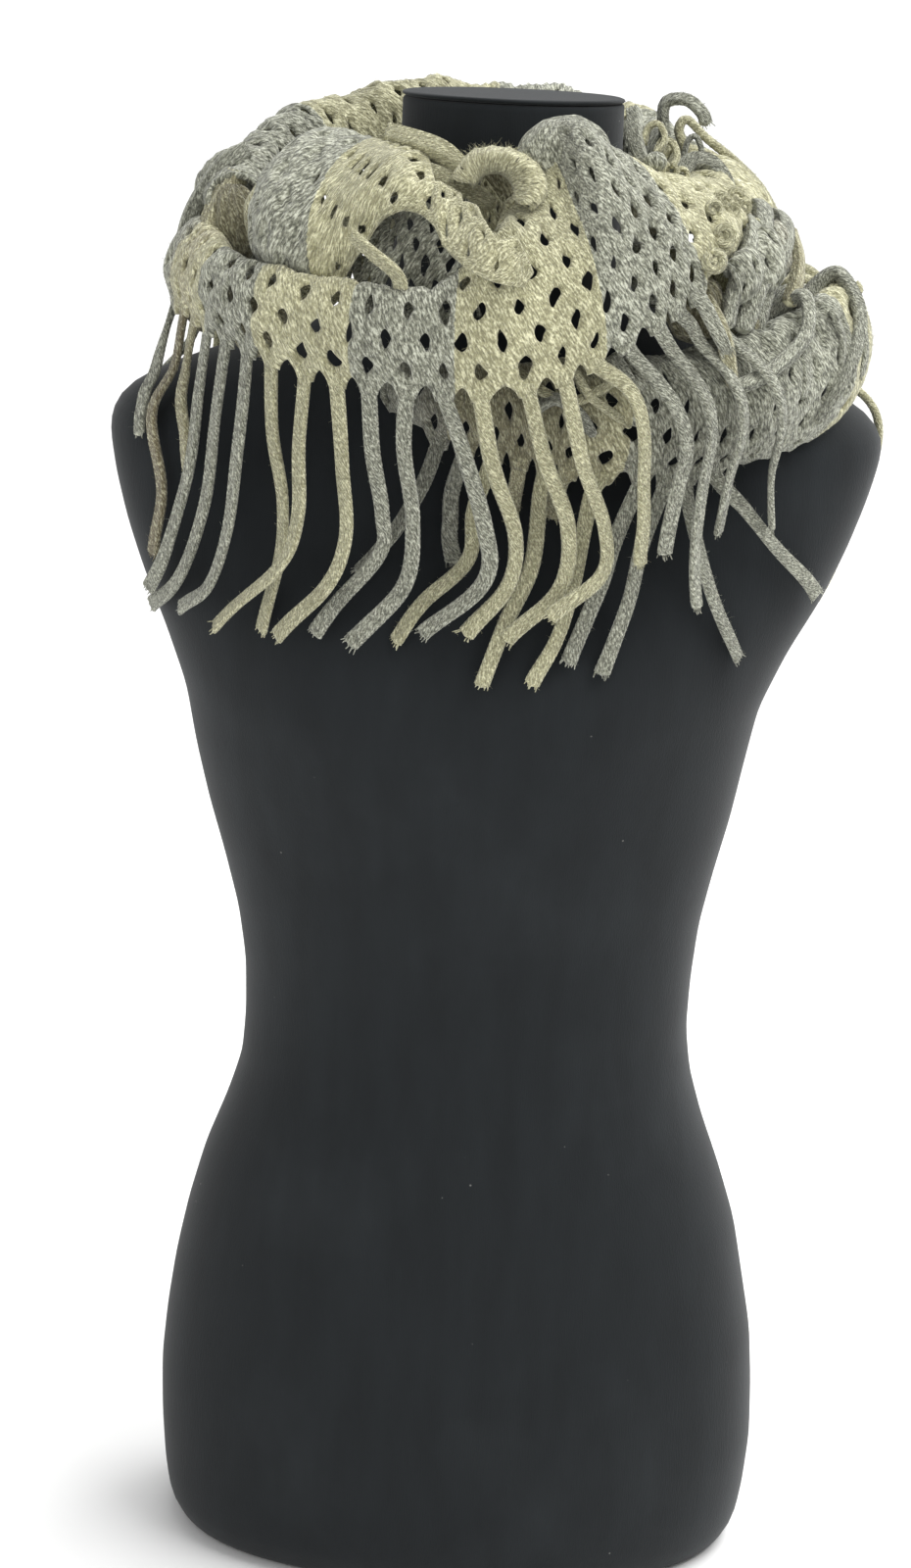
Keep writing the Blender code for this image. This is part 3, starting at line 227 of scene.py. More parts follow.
# folds and creases by stretch, moved out along the wall, the largest first: place along and
# place across (0 to 1), half size along, half size across, height in mm, and shear of the
# fold along its length
FOLDS = {
    "inner_front": (
        (0.30, 0.45, 0.060, 0.40, 2.0, 0.10), (0.62, 0.45, 0.060, 0.40, -2.2, 0.10),
        (0.16, 0.35, 0.030, 0.35, -1.1, 0.10), (0.46, 0.60, 0.026, 0.30, 1.3, -0.12),
        (0.80, 0.30, 0.032, 0.26, 1.0, 0.16),
    ),
    "shoulder_right": (
        (0.16, 0.45, 0.040, 0.40, 2.4, 0.10), (0.34, 0.50, 0.040, 0.40, -2.8, 0.10),
        (0.50, 0.45, 0.040, 0.45, 3.0, 0.12), (0.66, 0.50, 0.040, 0.40, -3.0, 0.14),
        (0.83, 0.45, 0.040, 0.40, 2.6, 0.10), (0.09, 0.35, 0.018, 0.30, 1.2, 0.14),
        (0.25, 0.62, 0.016, 0.26, -1.3, 0.20), (0.42, 0.30, 0.017, 0.24, 1.2, -0.10),
        (0.58, 0.66, 0.015, 0.30, 1.5, 0.18), (0.74, 0.28, 0.018, 0.22, -1.2, 0.08),
        (0.92, 0.52, 0.016, 0.34, 1.0, -0.14),
    ),
    "wrap_back": (
        (0.22, 0.40, 0.060, 0.45, -2.2, 0.05), (0.50, 0.40, 0.060, 0.45, 2.6, -0.06),
        (0.78, 0.45, 0.060, 0.45, -2.2, 0.05), (0.12, 0.55, 0.026, 0.30, 1.1, 0.12),
        (0.36, 0.30, 0.022, 0.24, -1.0, -0.14), (0.64, 0.62, 0.026, 0.28, 1.4, 0.10),
        (0.90, 0.36, 0.024, 0.26, 1.0, -0.10),
    ),
    "wrap_left": (
        (0.20, 0.40, 0.060, 0.45, 2.2, 0.05), (0.48, 0.40, 0.060, 0.45, -2.4, -0.05),
        (0.75, 0.45, 0.060, 0.45, 2.4, 0.06), (0.10, 0.42, 0.024, 0.34, -1.1, 0.16),
        (0.34, 0.64, 0.022, 0.26, 1.4, -0.10), (0.62, 0.30, 0.020, 0.22, 1.0, 0.18),
        (0.88, 0.56, 0.024, 0.32, -1.3, 0.12),
    ),
    "sash_front": (
        (0.30, 0.35, 0.030, 0.40, 1.6, 0.05), (0.47, 0.40, 0.035, 0.35, -1.8, 0.08),
        (0.62, 0.45, 0.030, 0.40, 2.2, 0.12), (0.76, 0.45, 0.036, 0.45, -2.2, 0.20),
        (0.86, 0.50, 0.036, 0.45, 2.2, 0.20), (0.95, 0.50, 0.030, 0.45, -1.6, 0.15),
        (0.12, 0.42, 0.014, 0.34, -1.1, 0.10), (0.21, 0.66, 0.013, 0.24, 1.3, -0.08),
        (0.38, 0.28, 0.013, 0.20, 1.0, 0.14), (0.55, 0.62, 0.014, 0.28, -1.2, 0.22),
        (0.69, 0.30, 0.013, 0.22, -1.1, 0.16), (0.81, 0.66, 0.012, 0.26, 1.4, 0.26),
        (0.91, 0.26, 0.013, 0.20, 1.1, 0.12),
    ),
    "sash_right": (
        (0.22, 0.40, 0.060, 0.35, 2.4, 0.10), (0.45, 0.45, 0.060, 0.40, -2.6, -0.08),
        (0.70, 0.50, 0.070, 0.35, 3.0, 0.10), (0.12, 0.58, 0.022, 0.30, -1.3, 0.20),
        (0.34, 0.34, 0.020, 0.24, 1.2, -0.12), (0.58, 0.66, 0.024, 0.24, -1.2, 0.16),
        (0.86, 0.36, 0.022, 0.30, -1.5, 0.10),
    ),
    "collar_back": (
        (0.15, 0.45, 0.050, 0.40, 3.2, 0.10), (0.33, 0.45, 0.050, 0.40, -2.8, 0.05),
        (0.52, 0.50, 0.060, 0.35, 3.0, -0.10), (0.74, 0.40, 0.050, 0.40, -2.6, 0.08),
        (0.90, 0.45, 0.040, 0.40, 2.6, -0.05), (0.08, 0.34, 0.018, 0.26, -1.4, 0.10),
        (0.24, 0.62, 0.016, 0.28, 1.5, -0.16), (0.43, 0.34, 0.016, 0.22, 1.2, 0.12),
        (0.63, 0.64, 0.018, 0.26, -1.5, 0.10), (0.82, 0.30, 0.016, 0.22, 1.3, 0.14),
    ),
    "collar_left": (
        (0.18, 0.40, 0.050, 0.40, -2.8, 0.10), (0.38, 0.45, 0.060, 0.35, 3.2, 0.12),
        (0.60, 0.40, 0.050, 0.40, -3.2, 0.15), (0.80, 0.45, 0.050, 0.40, 2.8, 0.10),
        (0.09, 0.56, 0.018, 0.30, 1.4, 0.16), (0.28, 0.34, 0.017, 0.24, 1.3, -0.10),
        (0.49, 0.64, 0.018, 0.26, 1.5, 0.20), (0.70, 0.32, 0.016, 0.22, -1.4, 0.12),
        (0.91, 0.58, 0.018, 0.30, -1.3, 0.14),
    ),
    "inner_rise": (
        (0.28, 0.50, 0.050, 0.40, 1.2, 0.16), (0.64, 0.42, 0.050, 0.36, -1.3, -0.10),
    ),
    "puff_left": (
        (0.56, 0.50, 0.040, 0.30, -2.4, 0.10), (0.68, 0.45, 0.040, 0.35, 2.6, 0.06),
        (0.82, 0.45, 0.040, 0.35, -2.2, 0.04), (0.30, 0.50, 0.022, 0.34, 1.2, 0.10),
        (0.48, 0.44, 0.018, 0.30, 1.3, -0.12), (0.62, 0.62, 0.016, 0.24, -1.3, 0.10),
        (0.75, 0.34, 0.018, 0.26, 1.4, 0.12),
    ),
    "rolls_right": (
        (0.16, 0.38, 0.080, 0.36, 2.4, 0.02), (0.34, 0.38, 0.060, 0.36, -2.6, 0.02),
        (0.52, 0.38, 0.085, 0.36, 3.0, -0.03), (0.70, 0.38, 0.060, 0.36, -2.6, 0.02),
        (0.86, 0.38, 0.060, 0.36, 2.0, 0.03),
    ),
}

# the rolled arch of cloth at the front of the neck: turn in degrees round the arch,
# then radius and depth in mm from its outer back edge over the front to the curled edge
HOOD_CENTRE = (-7.0, -109.0, 734.4)
HOOD_TILT = 14.0
HOOD_STRETCH = (1.06, 0.95)
HOOD_ROWS = (
    (166, (20, 8), (21, 3), (17, -2), (12, 0), (11, 5), (13, 8)),
    (120, (22, 12), (23, 5), (18, -4), (12, 0), (11, 5), (13, 9)),
    (90, (22, 13), (23, 6), (18, -5), (12, -1), (11, 5), (13, 10)),
    (60, (22, 11), (23, 4), (18, -6), (11, -1), (10, 5), (12, 9)),
    (30, (21, 6), (23, 0), (18, -7), (10, -2), (9, 3), (11, 7)),
    (0, (21, 0), (22, -4), (17, -9), (10, -4), (9, 1), (11, 4)),
    (-30, (18, -5), (19, -8), (15, -11), (10, -6), (9, -2), (11, 0)),
)

# ---------------------------------------------------------------- fringe
# One row a tape: root angle in degrees, lift off the form in mm, then angle and height
# of four places down it.
OVER_CLOTH = 0.0080        # tapes that pass over another stretch keep this far off it
UNDER_ROWS = RIBBON_ROWS[:12]
FRONT_TAPES = (
    (-66, 16, (-67, 661), (-69, 637), (-65, 611), (-63, 592)),
    (-60, 12, (-60, 631), (-60, 590), (-64, 551), (-71, 528)),
    (-54, 6, (-55, 619), (-56, 574), (-62, 539), (-76, 515)),
    (-49, 13, (-49, 611), (-50, 569), (-54, 537), (-63, 522)),
    (-44, 5, (-44, 617), (-42, 584), (-43, 553), (-49, 517)),
    (-37, 15, (-37, 615), (-36, 580), (-40, 552), (-55, 517)),
    (-31, 13, (-29, 606), (-28, 572), (-32, 544), (-43, 517)),
    (-25, 8, (-24, 614), (-22, 584), (-23, 561), (-37, 520)),
    (-18, 17, (-18, 615), (-16, 581), (-17, 548), (-28, 519)),
    (-11, 17, (-7, 616), (-2, 580), (-2, 553), (-14, 524)),
    (-4, 17, (-1, 610), (4, 575), (3, 548), (-5, 525)),
    (5, 17, (9, 615), (15, 581), (14, 549), (4, 523)),
    (12, 28, (16, 615), (22, 579), (22, 556), (12, 537)),
    (18, 32, (24, 646), (27, 612), (29, 584), (29, 563)),
    (24, 32, (29, 651), (33, 623), (34, 593), (34, 568)),
    (30, 27, (34, 661), (37, 633), (39, 589), (40, 542)),
    (34, 18, (39, 672), (42, 647), (44, 608), (45, 576)),
    (38, 22, (42, 680), (47, 656), (50, 623), (56, 578)),
)
INNER_TAPES = (
    (-8, 8, (-11, 592), (-11, 577), (-11, 568), (-10, 557)),
    (-15, 6, (-18, 594), (-23, 572), (-28, 559), (-32, 550)),
    (-1, 5, (-5, 584), (-6, 561), (-15, 539), (-21, 518)),
    (5, 12, (5, 601), (5, 594), (5, 588), (5, 582)),
    (11, 6, (10, 593), (9, 559), (3, 530), (-1, 499)),
    (16, 12, (15, 600), (15, 592), (15, 586), (15, 580)),
    (23, 6, (21, 593), (18, 552), (15, 522), (10, 501)),
)
SHOULDER_TAPES = (
    (31, 5, (26, 572), (24, 552), (21, 529), (18, 512)),
    (36, 5, (32, 572), (30, 547), (27, 525), (25, 507)),
    (41, 5, (40, 597), (42, 577), (47, 547), (56, 509)),
    (46, 8, (48, 597), (53, 585), (60, 565), (70, 538)),
)
LEFT_TAPES = (
    (-74, 9, (-74, 650), (-73, 619), (-68, 579), (-70, 546)),
    (-86, 6, (-84, 652), (-80, 636), (-76, 620), (-74, 604)),
)
# tapes in the open air: root angle, then angle, radius and height of the places along them
LOOSE_TAPES = (
    (-20, (-21, 147, 699), (-25, 148, 706), (-30, 145, 712)),
)
TOP_TAPES = (
    (113, (113, 83, 767), (112, 86, 776), (108, 94, 778), (105, 100, 771), (104, 101, 763)),
    (
        99,
        (99, 85, 760), (99, 92, 767), (98, 104, 760), (97, 119, 750),
        (96, 132, 736), (95, 139, 719), (95, 143, 703),
    ),
)
# tapes that arch over the crest: angle at the root, at the crest and at the end, rise
# in mm, and how far down the face they end
ARCH_TAPES = (
    (58, 58.5, 57, 3.0, 0.36),
    (66, 66.5, 64, 3.5, 0.34),
    (74, 74.5, 72, 3.5, 0.32),
    (82, 82.5, 80, 3.0, 0.32),
)
ARCH_ROOT = 0.60
TOP_ROOT = 0.78
LOOSE_ROOT = 0.60
# plain rows on the hidden sides: first root, last root, count, length in mm, sway in degrees
LEFT_PLAIN = (-106, -138, 5, 138, 1.3)
BACK_PLAIN = (213, 147, 10, 146, 0.8)
SHOULDER_PLAIN = (131, 99, 5, 128, 1.3)
LEFT_HEM, BACK_HEM, SHOULDER_HEM = 662, 652, 646      # heights in mm that they hang from
HEM_DROP = 1.2             # how strongly tapes turn straight down at the hem
THIN_EDGE = 0.0009         # cloth of less half thickness is the rim of an eyelet
ARCH_LIFT = 0.0062         # the solids' arching tapes stand this far off the cloth's middle
ARCH_SEAT = 0.15           # share of it that is left where they settle on the net
TAPE_SWING = 0.030         # how far in towards the form a tape may hang


# ---------------------------------------------------------------- named choices
class Yarn(Enum):
    """A yarn of the scarf: how grey it is, how brown it is, and how light."""

    BEIGE = (0.0, 0.0, 1.0)
    TOBACCO = (0.0, 1.0, 0.80)
    OLIVE = (0.25, 0.35, 0.95)
    GREY = (1.0, 0.0, 1.0)
    SLATE = (1.0, 0.0, 0.74)
    # the next yarn is darkened to the colour of shade, for the fillers and linings that sit in shaded
    # hollows: painted shade
    UMBER = (0.35, 0.45, 0.55)


# the yarns by short names, for the tables below
BEIGE, TOBACCO, OLIVE, GREY, SLATE, UMBER = Yarn


class Cell(Enum):
    """A cell of the net: a hole, knitted shut, or half a cell at the hem, arched or plain."""

    OPEN = "open"
    SHUT = "shut"
    ARCH = "arch"
    BORDER = "border"


# what a cell is, its column, its height, the half sizes of its hole and the hole's lean
CellPlan = tuple[Cell, float, float, Pair, float]


class Slot(Enum):
    """The record's material slots."""

    JERSEY = "black_jersey"
    BEIGE = "beige_knit"
    GREY = "grey_knit"


# ---------------------------------------------------------------- small helpers
def smooth_step(values: Array) -> Array:
    """A soft step from 0 to 1 over values 0 to 1."""
    share = np.clip(values, 0.0, 1.0)
    return share * share * (3.0 - 2.0 * share)


def unit(vectors: Array) -> Array:
    """The same vectors at length 1."""
    return vectors / np.maximum(np.linalg.norm(vectors, axis=-1, keepdims=True), 1e-12)


def polar(angle: Array, radius: Array, height: Array) -> Array:
    """Points from angles round the neck in degrees, radii and heights in metres."""
    turn = np.radians(np.asarray(angle, float))
    return np.stack([radius * np.sin(turn), -radius * np.cos(turn), height + 0.0 * turn], -1)


def winding(point: Sequence[float]) -> float:
    """A point's angle round the neck in degrees, 0 at the front."""
    return math.degrees(math.atan2(point[0], -point[1]))


def stencil(places: Array, count: int) -> tuple[Array, Array]:
    """The first of four stations and their Catmull-Rom weights at each place.

    Args:
        places: Places from 0 to count - 1.
        count: How many stations there are.

    Returns:
        Station numbers, and four weights a place.
    """
    places = np.clip(places, 0.0, count - 1.0)
    base = np.minimum(places.astype(int), count - 2)
    u = places - base
    weights = (
        -0.5 * u + u * u - 0.5 * u ** 3,
        1.0 - 2.5 * u * u + 1.5 * u ** 3,
        0.5 * u + 2.0 * u * u - 1.5 * u ** 3,
        -0.5 * u * u + 0.5 * u ** 3,
    )
    return base, np.stack(weights, -1)


def curve_through(points: Sequence[Sequence[float]], samples: int) -> Array:
    """A smooth curve through a few points.

    Args:
        points: The points.
        samples: How many points the curve gets.

    Returns:
        The curve's points.
    """
    line = np.array(points, float)
    padded = np.concatenate([2 * line[:1] - line[1:2], line, 2 * line[-1:] - line[-2:-1]])
    base, weights = stencil(np.linspace(0.0, len(line) - 1.0, samples), len(line))
    return sum(weights[:, a:a + 1] * padded[base + a] for a in range(4))


def travelled(path: Array) -> Array:
    """How far along a path each of its points is."""
    return np.concatenate([[0.0], np.cumsum(np.linalg.norm(np.diff(path, axis=0), axis=1))])


def even_points(path: Array, count: int) -> Array:
    """The same path in even steps.

    Args:
        path: Points along the path.
        count: How many points it gets.

    Returns:
        The path's new points.
    """
    steps = travelled(path)
    wanted = np.linspace(0.0, steps[-1], count)
    return np.stack([np.interp(wanted, steps, path[:, axis]) for axis in range(3)], -1)


def path_length(path: Array) -> float:
    """How long a path is."""
    return float(np.linalg.norm(np.diff(path, axis=0), axis=1).sum())


def carried(start: Array, ahead: Array) -> Array:
    """A direction carried along a path without twist.

    Args:
        start: The direction at the path's start.
        ahead: The path's own direction at each point.

    Returns:
        The direction at each point.
    """
    found = np.tile(start, (len(ahead), 1))
    for index in range(1, len(ahead)):
        before = found[index - 1]
        found[index] = unit(before - ahead[index] * float(before @ ahead[index]))
    return found


def unevenness(points: Array, size: float, seed: float) -> Array:
    """A slow, uneven swell over points in space, from about -1 to 1.

    Args:
        points: Points in metres.
        size: How wide a swell is, in metres.
        seed: Shifts the pattern.

    Returns:
        One value a point.
    """
    p = points * (2.0 * math.pi / size)
    first = np.sin(p[..., 0] + 1.7 * seed) * np.sin(0.83 * p[..., 2] + seed)
    second = np.sin(0.71 * p[..., 1] - 0.5 * p[..., 2] + 2.3 * seed)
    third = np.sin(1.63 * (p[..., 0] - p[..., 1]) + 3.1 * seed)
    return 0.45 * first + 0.35 * second + 0.2 * third


# ---------------------------------------------------------------- meshes
@dataclass
class Patch:
    """Points and four-sided or three-sided faces, gathered piece by piece."""

    points: list = field(default_factory=list)
    faces: list = field(default_factory=list)
    marks: list = field(default_factory=list)
    yarns: list = field(default_factory=list)
    count: int = 0

    def add(self, points: Array, faces: Array, marks: Array, yarn: Yarn) -> None:
        """Add a closed shape of one yarn.

        Args:
            points: Its points.
            faces: Its faces, as point numbers, four a face.
            marks: The stitch coordinates of each face's corners.
            yarn: What it is knitted from.
        """
        self.points.append(points)
        self.faces.append(faces + self.count)
        self.marks.append(marks)
        self.yarns.append(np.tile(np.array(yarn.value), (len(points), 1)))
        self.count += len(points)

    def make(self, name: str, finish: Finish) -> Item:
        """One object from all that was added.

        Args:
            name: The object's name.
            finish: Its material.

        Returns:
            The object.
        """
        return make_mesh(
            name,
            np.concatenate(self.points),
            np.concatenate(self.faces),
            finish,
            marks=np.concatenate(self.marks),
            yarns=np.concatenate(self.yarns),
        )


def make_mesh(
    name: str,
    points: Array,
    faces: Array,
    finish: Finish,
    marks: Optional[Array] = None,
    yarns: Optional[Array] = None,
) -> Item:
    """One smooth-shaded mesh object.

    Args:
        name: The object's name.
        points: Its points.
        faces: Its faces, four corners each; a corner that is repeated makes a triangle.
        finish: Its material.
        marks: Stitch coordinates of each face's corners, across and along the yarn.
        yarns: How grey, how brown and how light the yarn is at each point.

    Returns:
        The object, linked to the scene.
    """
    loops = [list(dict.fromkeys(face)) for face in faces.tolist()]
    mesh = bpy.data.meshes.new(name)
    mesh.from_pydata(points.astype(np.float32).tolist(), [], loops)
    mesh.polygons.foreach_set("use_smooth", np.ones(len(mesh.polygons), bool))
    if marks is not None:
        layer = mesh.uv_layers.new(name="stitches")
        kept = []
        for face, corner in zip(faces.tolist(), marks.tolist()):
            seen = set()
            for number, mark in zip(face, corner):
                if number not in seen:
                    seen.add(number)
                    kept.append(mark)
        layer.data.foreach_set("uv", np.array(kept, np.float32).ravel())
    if yarns is not None:
        for column, label in enumerate(YARN_MARKS):
            attribute = mesh.attributes.new(label, "FLOAT", "POINT")
            attribute.data.foreach_set("value", yarns[:, column].astype(np.float32))
    mesh.materials.append(finish)
    mesh.update()
    item = bpy.data.objects.new(name, mesh)
    bpy.context.scene.collection.objects.link(item)
    return item


def ring_faces(rings: int, around: int) -> Array:
    """Faces between closed rings of points, one above the other.

    Args:
        rings: How many rings there are.
        around: How many points each has.

    Returns:
        Faces of four corners.
    """
    ring, step = np.meshgrid(np.arange(rings - 1), np.arange(around), indexing="ij")
    low = ring * around
    after = (step + 1) % around
    faces = np.stack([low + step, low + after, low + around + after, low + around + step], -1)
    return faces.reshape(-1, 4)


def ring_caps(first: int, around: int, centre: int, upward: bool) -> Array:
    """Triangles from a ring to its centre, as faces with a repeated corner.

    Args:
        first: Number of the ring's first point.
        around: How many points it has.
        centre: Number of its middle point.
        upward: Whether the cap faces up.

    Returns:
        The triangles.
    """
    step = np.arange(around)
    after = (step + 1) % around
    middle = np.full(around, centre)
    pair = (first + step, first + after) if upward else (first + after, first + step)
    return np.stack([pair[0], pair[1], middle, middle], -1)


def tube_faces(rings: int, around: int) -> Array:
    """Faces of a closed tube, whose last two points are the middles of its ends.

    Args:
        rings: How many rings it has.
        around: How many points each has.

    Returns:
        Its sides, then both ends.
    """
    low = ring_caps(0, around, rings * around, False)
    high = ring_caps((rings - 1) * around, around, rings * around + 1, True)
    return np.concatenate([ring_faces(rings, around), low, high])


def tube_marks(side: Array, along: Array) -> Array:
    """Stitch coordinates for the faces of a closed tube.

    Args:
        side: Places round the tube, from its seam back to its seam.
        along: Places along the tube, one a ring.

    Returns:
        The marks of its sides, and then of both ends.
    """
    around = len(side) - 1
    marks = np.zeros((len(along) - 1, around, 4, 2))
    marks[..., 0, 0] = marks[..., 3, 0] = side[:-1]
    marks[..., 1, 0] = marks[..., 2, 0] = side[1:]
    marks[..., 0, 1] = marks[..., 1, 1] = along[:-1, None]
    marks[..., 2, 1] = marks[..., 3, 1] = along[1:, None]
    return np.concatenate([marks.reshape(-1, 4, 2), np.full((2 * around, 4, 2), END_MARK)])


def dress_piece(item: Item, slot: Slot, *nodes: str) -> Item:
    """Put a finished piece on the body, in the place of its solids.

    Args:
        item: The piece.
        slot: The record's slot; not used.
        nodes: The solids that it stands for.

    Returns:
        The piece.
    """
    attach(item, BODY)
    if nodes:
        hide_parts(*nodes)
    faces = sum(len(face.vertices) - 2 for face in item.data.polygons)
    LOG.info("%s: %d triangles", item.name, faces)
    return item


# ---------------------------------------------------------------- finishes
class Wiring:
    """A material's node tree, with short calls that add and join its nodes."""

    def __init__(self, name: str, roughness: float, sheen: float, sheen_roughness: float) -> None:
        """Start a material with its constant shader values.

        Args:
            name: The material's name.
            roughness: The shader's roughness.
            sheen: How strong the fuzz on the cloth is.
            sheen_roughness: How wide the fuzz spreads light.
        """
        self.material = bpy.data.materials.new(name)
        self.material.use_nodes = True
        self.tree = self.material.node_tree
        self.shader = self.tree.nodes["Principled BSDF"]
        self.shader.inputs["Roughness"].default_value = roughness
        self.shader.inputs["Specular IOR Level"].default_value = 0.25
        self.shader.inputs["Sheen Weight"].default_value = sheen
        self.shader.inputs["Sheen Roughness"].default_value = sheen_roughness

    def node(self, kind: str, **settings: object) -> bpy.types.Node:
        """A new node with its settings.

        Args:
            kind: The node's type.
            settings: What is set on it.

        Returns:
            The node.
        """
        made = self.tree.nodes.new(kind)
        for key, value in settings.items():
            setattr(made, key, value)
        return made

    def feed(self, socket: Socket, value: object) -> None:
        """Set a socket to a number or colour, or link it to another socket.

        Args:
            socket: The input.
            value: A number, a colour or another socket.
        """
        if isinstance(value, Socket):
            self.tree.links.new(value, socket)
        elif isinstance(value, tuple) and len(value) == 3 and socket.type == "RGBA":
            socket.default_value = (*value, 1.0)
        else:
            socket.default_value = value

    def result(self, kind: str, *values: object) -> Socket:
        """The result of a math node of that kind.

        Args:
            kind: The operation.
            values: Its inputs.

        Returns:
            Its output.
        """
        made = self.node("ShaderNodeMath", operation=kind)
        for socket, value in zip(made.inputs, values):
            self.feed(socket, value)
        return made.outputs[0]

    def times(self, first: object, second: object) -> Socket:
        """Two values multiplied."""
        return self.result("MULTIPLY", first, second)

    def times_plus(self, value: object, factor: object, added: object) -> Socket:
        """A value times a factor, plus another value."""
        return self.result("MULTIPLY_ADD", value, factor, added)

    def mix(self, share: object, first: object, second: object) -> Socket:
        """A colour between two colours.

        Args:
            share: How much of the second colour is in it.
            first: The first colour.
            second: The second colour.

        Returns:
            The mixed colour.
        """
        made = self.node("ShaderNodeMix", data_type="RGBA")
        self.feed(made.inputs[0], share)
        self.feed(made.inputs[6], first)
        self.feed(made.inputs[7], second)
        return made.outputs[2]

    def shade(self, colour: object, factor: object) -> Socket:
        """A colour multiplied by a number.

        Args:
            colour: The colour.
            factor: The number.

        Returns:
            The lighter or darker colour.
        """
        made = self.node("ShaderNodeVectorMath", operation="SCALE")
        self.feed(made.inputs[0], colour)
        self.feed(made.inputs[3], factor)
        return made.outputs[0]

    def spread(self, value: object, low: float, high: float, first: float, last: float) -> Socket:
        """A value mapped from low..high to first..last, held at the ends.

        Args:
            value: The value.
            low: Where it starts to change.
            high: Where it stops.
            first: What it is at low.
            last: What it is at high.

        Returns:
            The new value.
        """
        made = self.node("ShaderNodeMapRange", clamp=True)
        for socket, number in zip(made.inputs, (value, low, high, first, last)):
            self.feed(socket, number)
        return made.outputs[0]

    def noise(self, place: object, scale: float, detail: float = 2.0) -> Socket:
        """A noise value at a place.

        Args:
            place: Where it is read.
            scale: Its swells in a metre.
            detail: Its octaves.

        Returns:
            The value.
        """
        made = self.node("ShaderNodeTexNoise")
        self.feed(made.inputs["Vector"], place)
        made.inputs["Scale"].default_value = scale
        made.inputs["Detail"].default_value = detail
        made.inputs["Roughness"].default_value = 0.55
        return made.outputs["Fac"]

    def place(self) -> Socket:
        """The place on the object, in metres."""
        return self.node("ShaderNodeTexCoord").outputs["Object"]

    def stretched(self, place: object, factors: Triple) -> Socket:
        """A place with each axis multiplied by a factor.

        Args:
            place: The place.
            factors: One factor an axis.

        Returns:
            The new place.
        """
        made = self.node("ShaderNodeVectorMath", operation="MULTIPLY")
        self.feed(made.inputs[0], place)
        made.inputs[1].default_value = factors
        return made.outputs[0]

    def mark(self, label: str) -> Socket:
        """A yarn mark of the mesh."""
        return self.node("ShaderNodeAttribute", attribute_name=label).outputs["Fac"]

    def bump(self, height: object, strength: float, distance: float) -> None:
        """Let a height tilt the surface.

        Args:
            height: The height.
            strength: How much of it is used.
            distance: Metres that a height of 1 stands for.
        """
        made = self.node("ShaderNodeBump")
        made.inputs["Strength"].default_value = strength
        made.inputs["Distance"].default_value = distance
        self.feed(made.inputs["Height"], height)
        self.feed(self.shader.inputs["Normal"], made.outputs[0])

    def colour(self, colour: object) -> Finish:
        """Set the base colour and hand the material over."""
        self.feed(self.shader.inputs["Base Color"], colour)
        return self.material


@dataclass(frozen=True)
class YarnColours:
    """The light, middle and dark plies of one marled yarn."""

    light: Triple
    middle: Triple
    dark: Triple


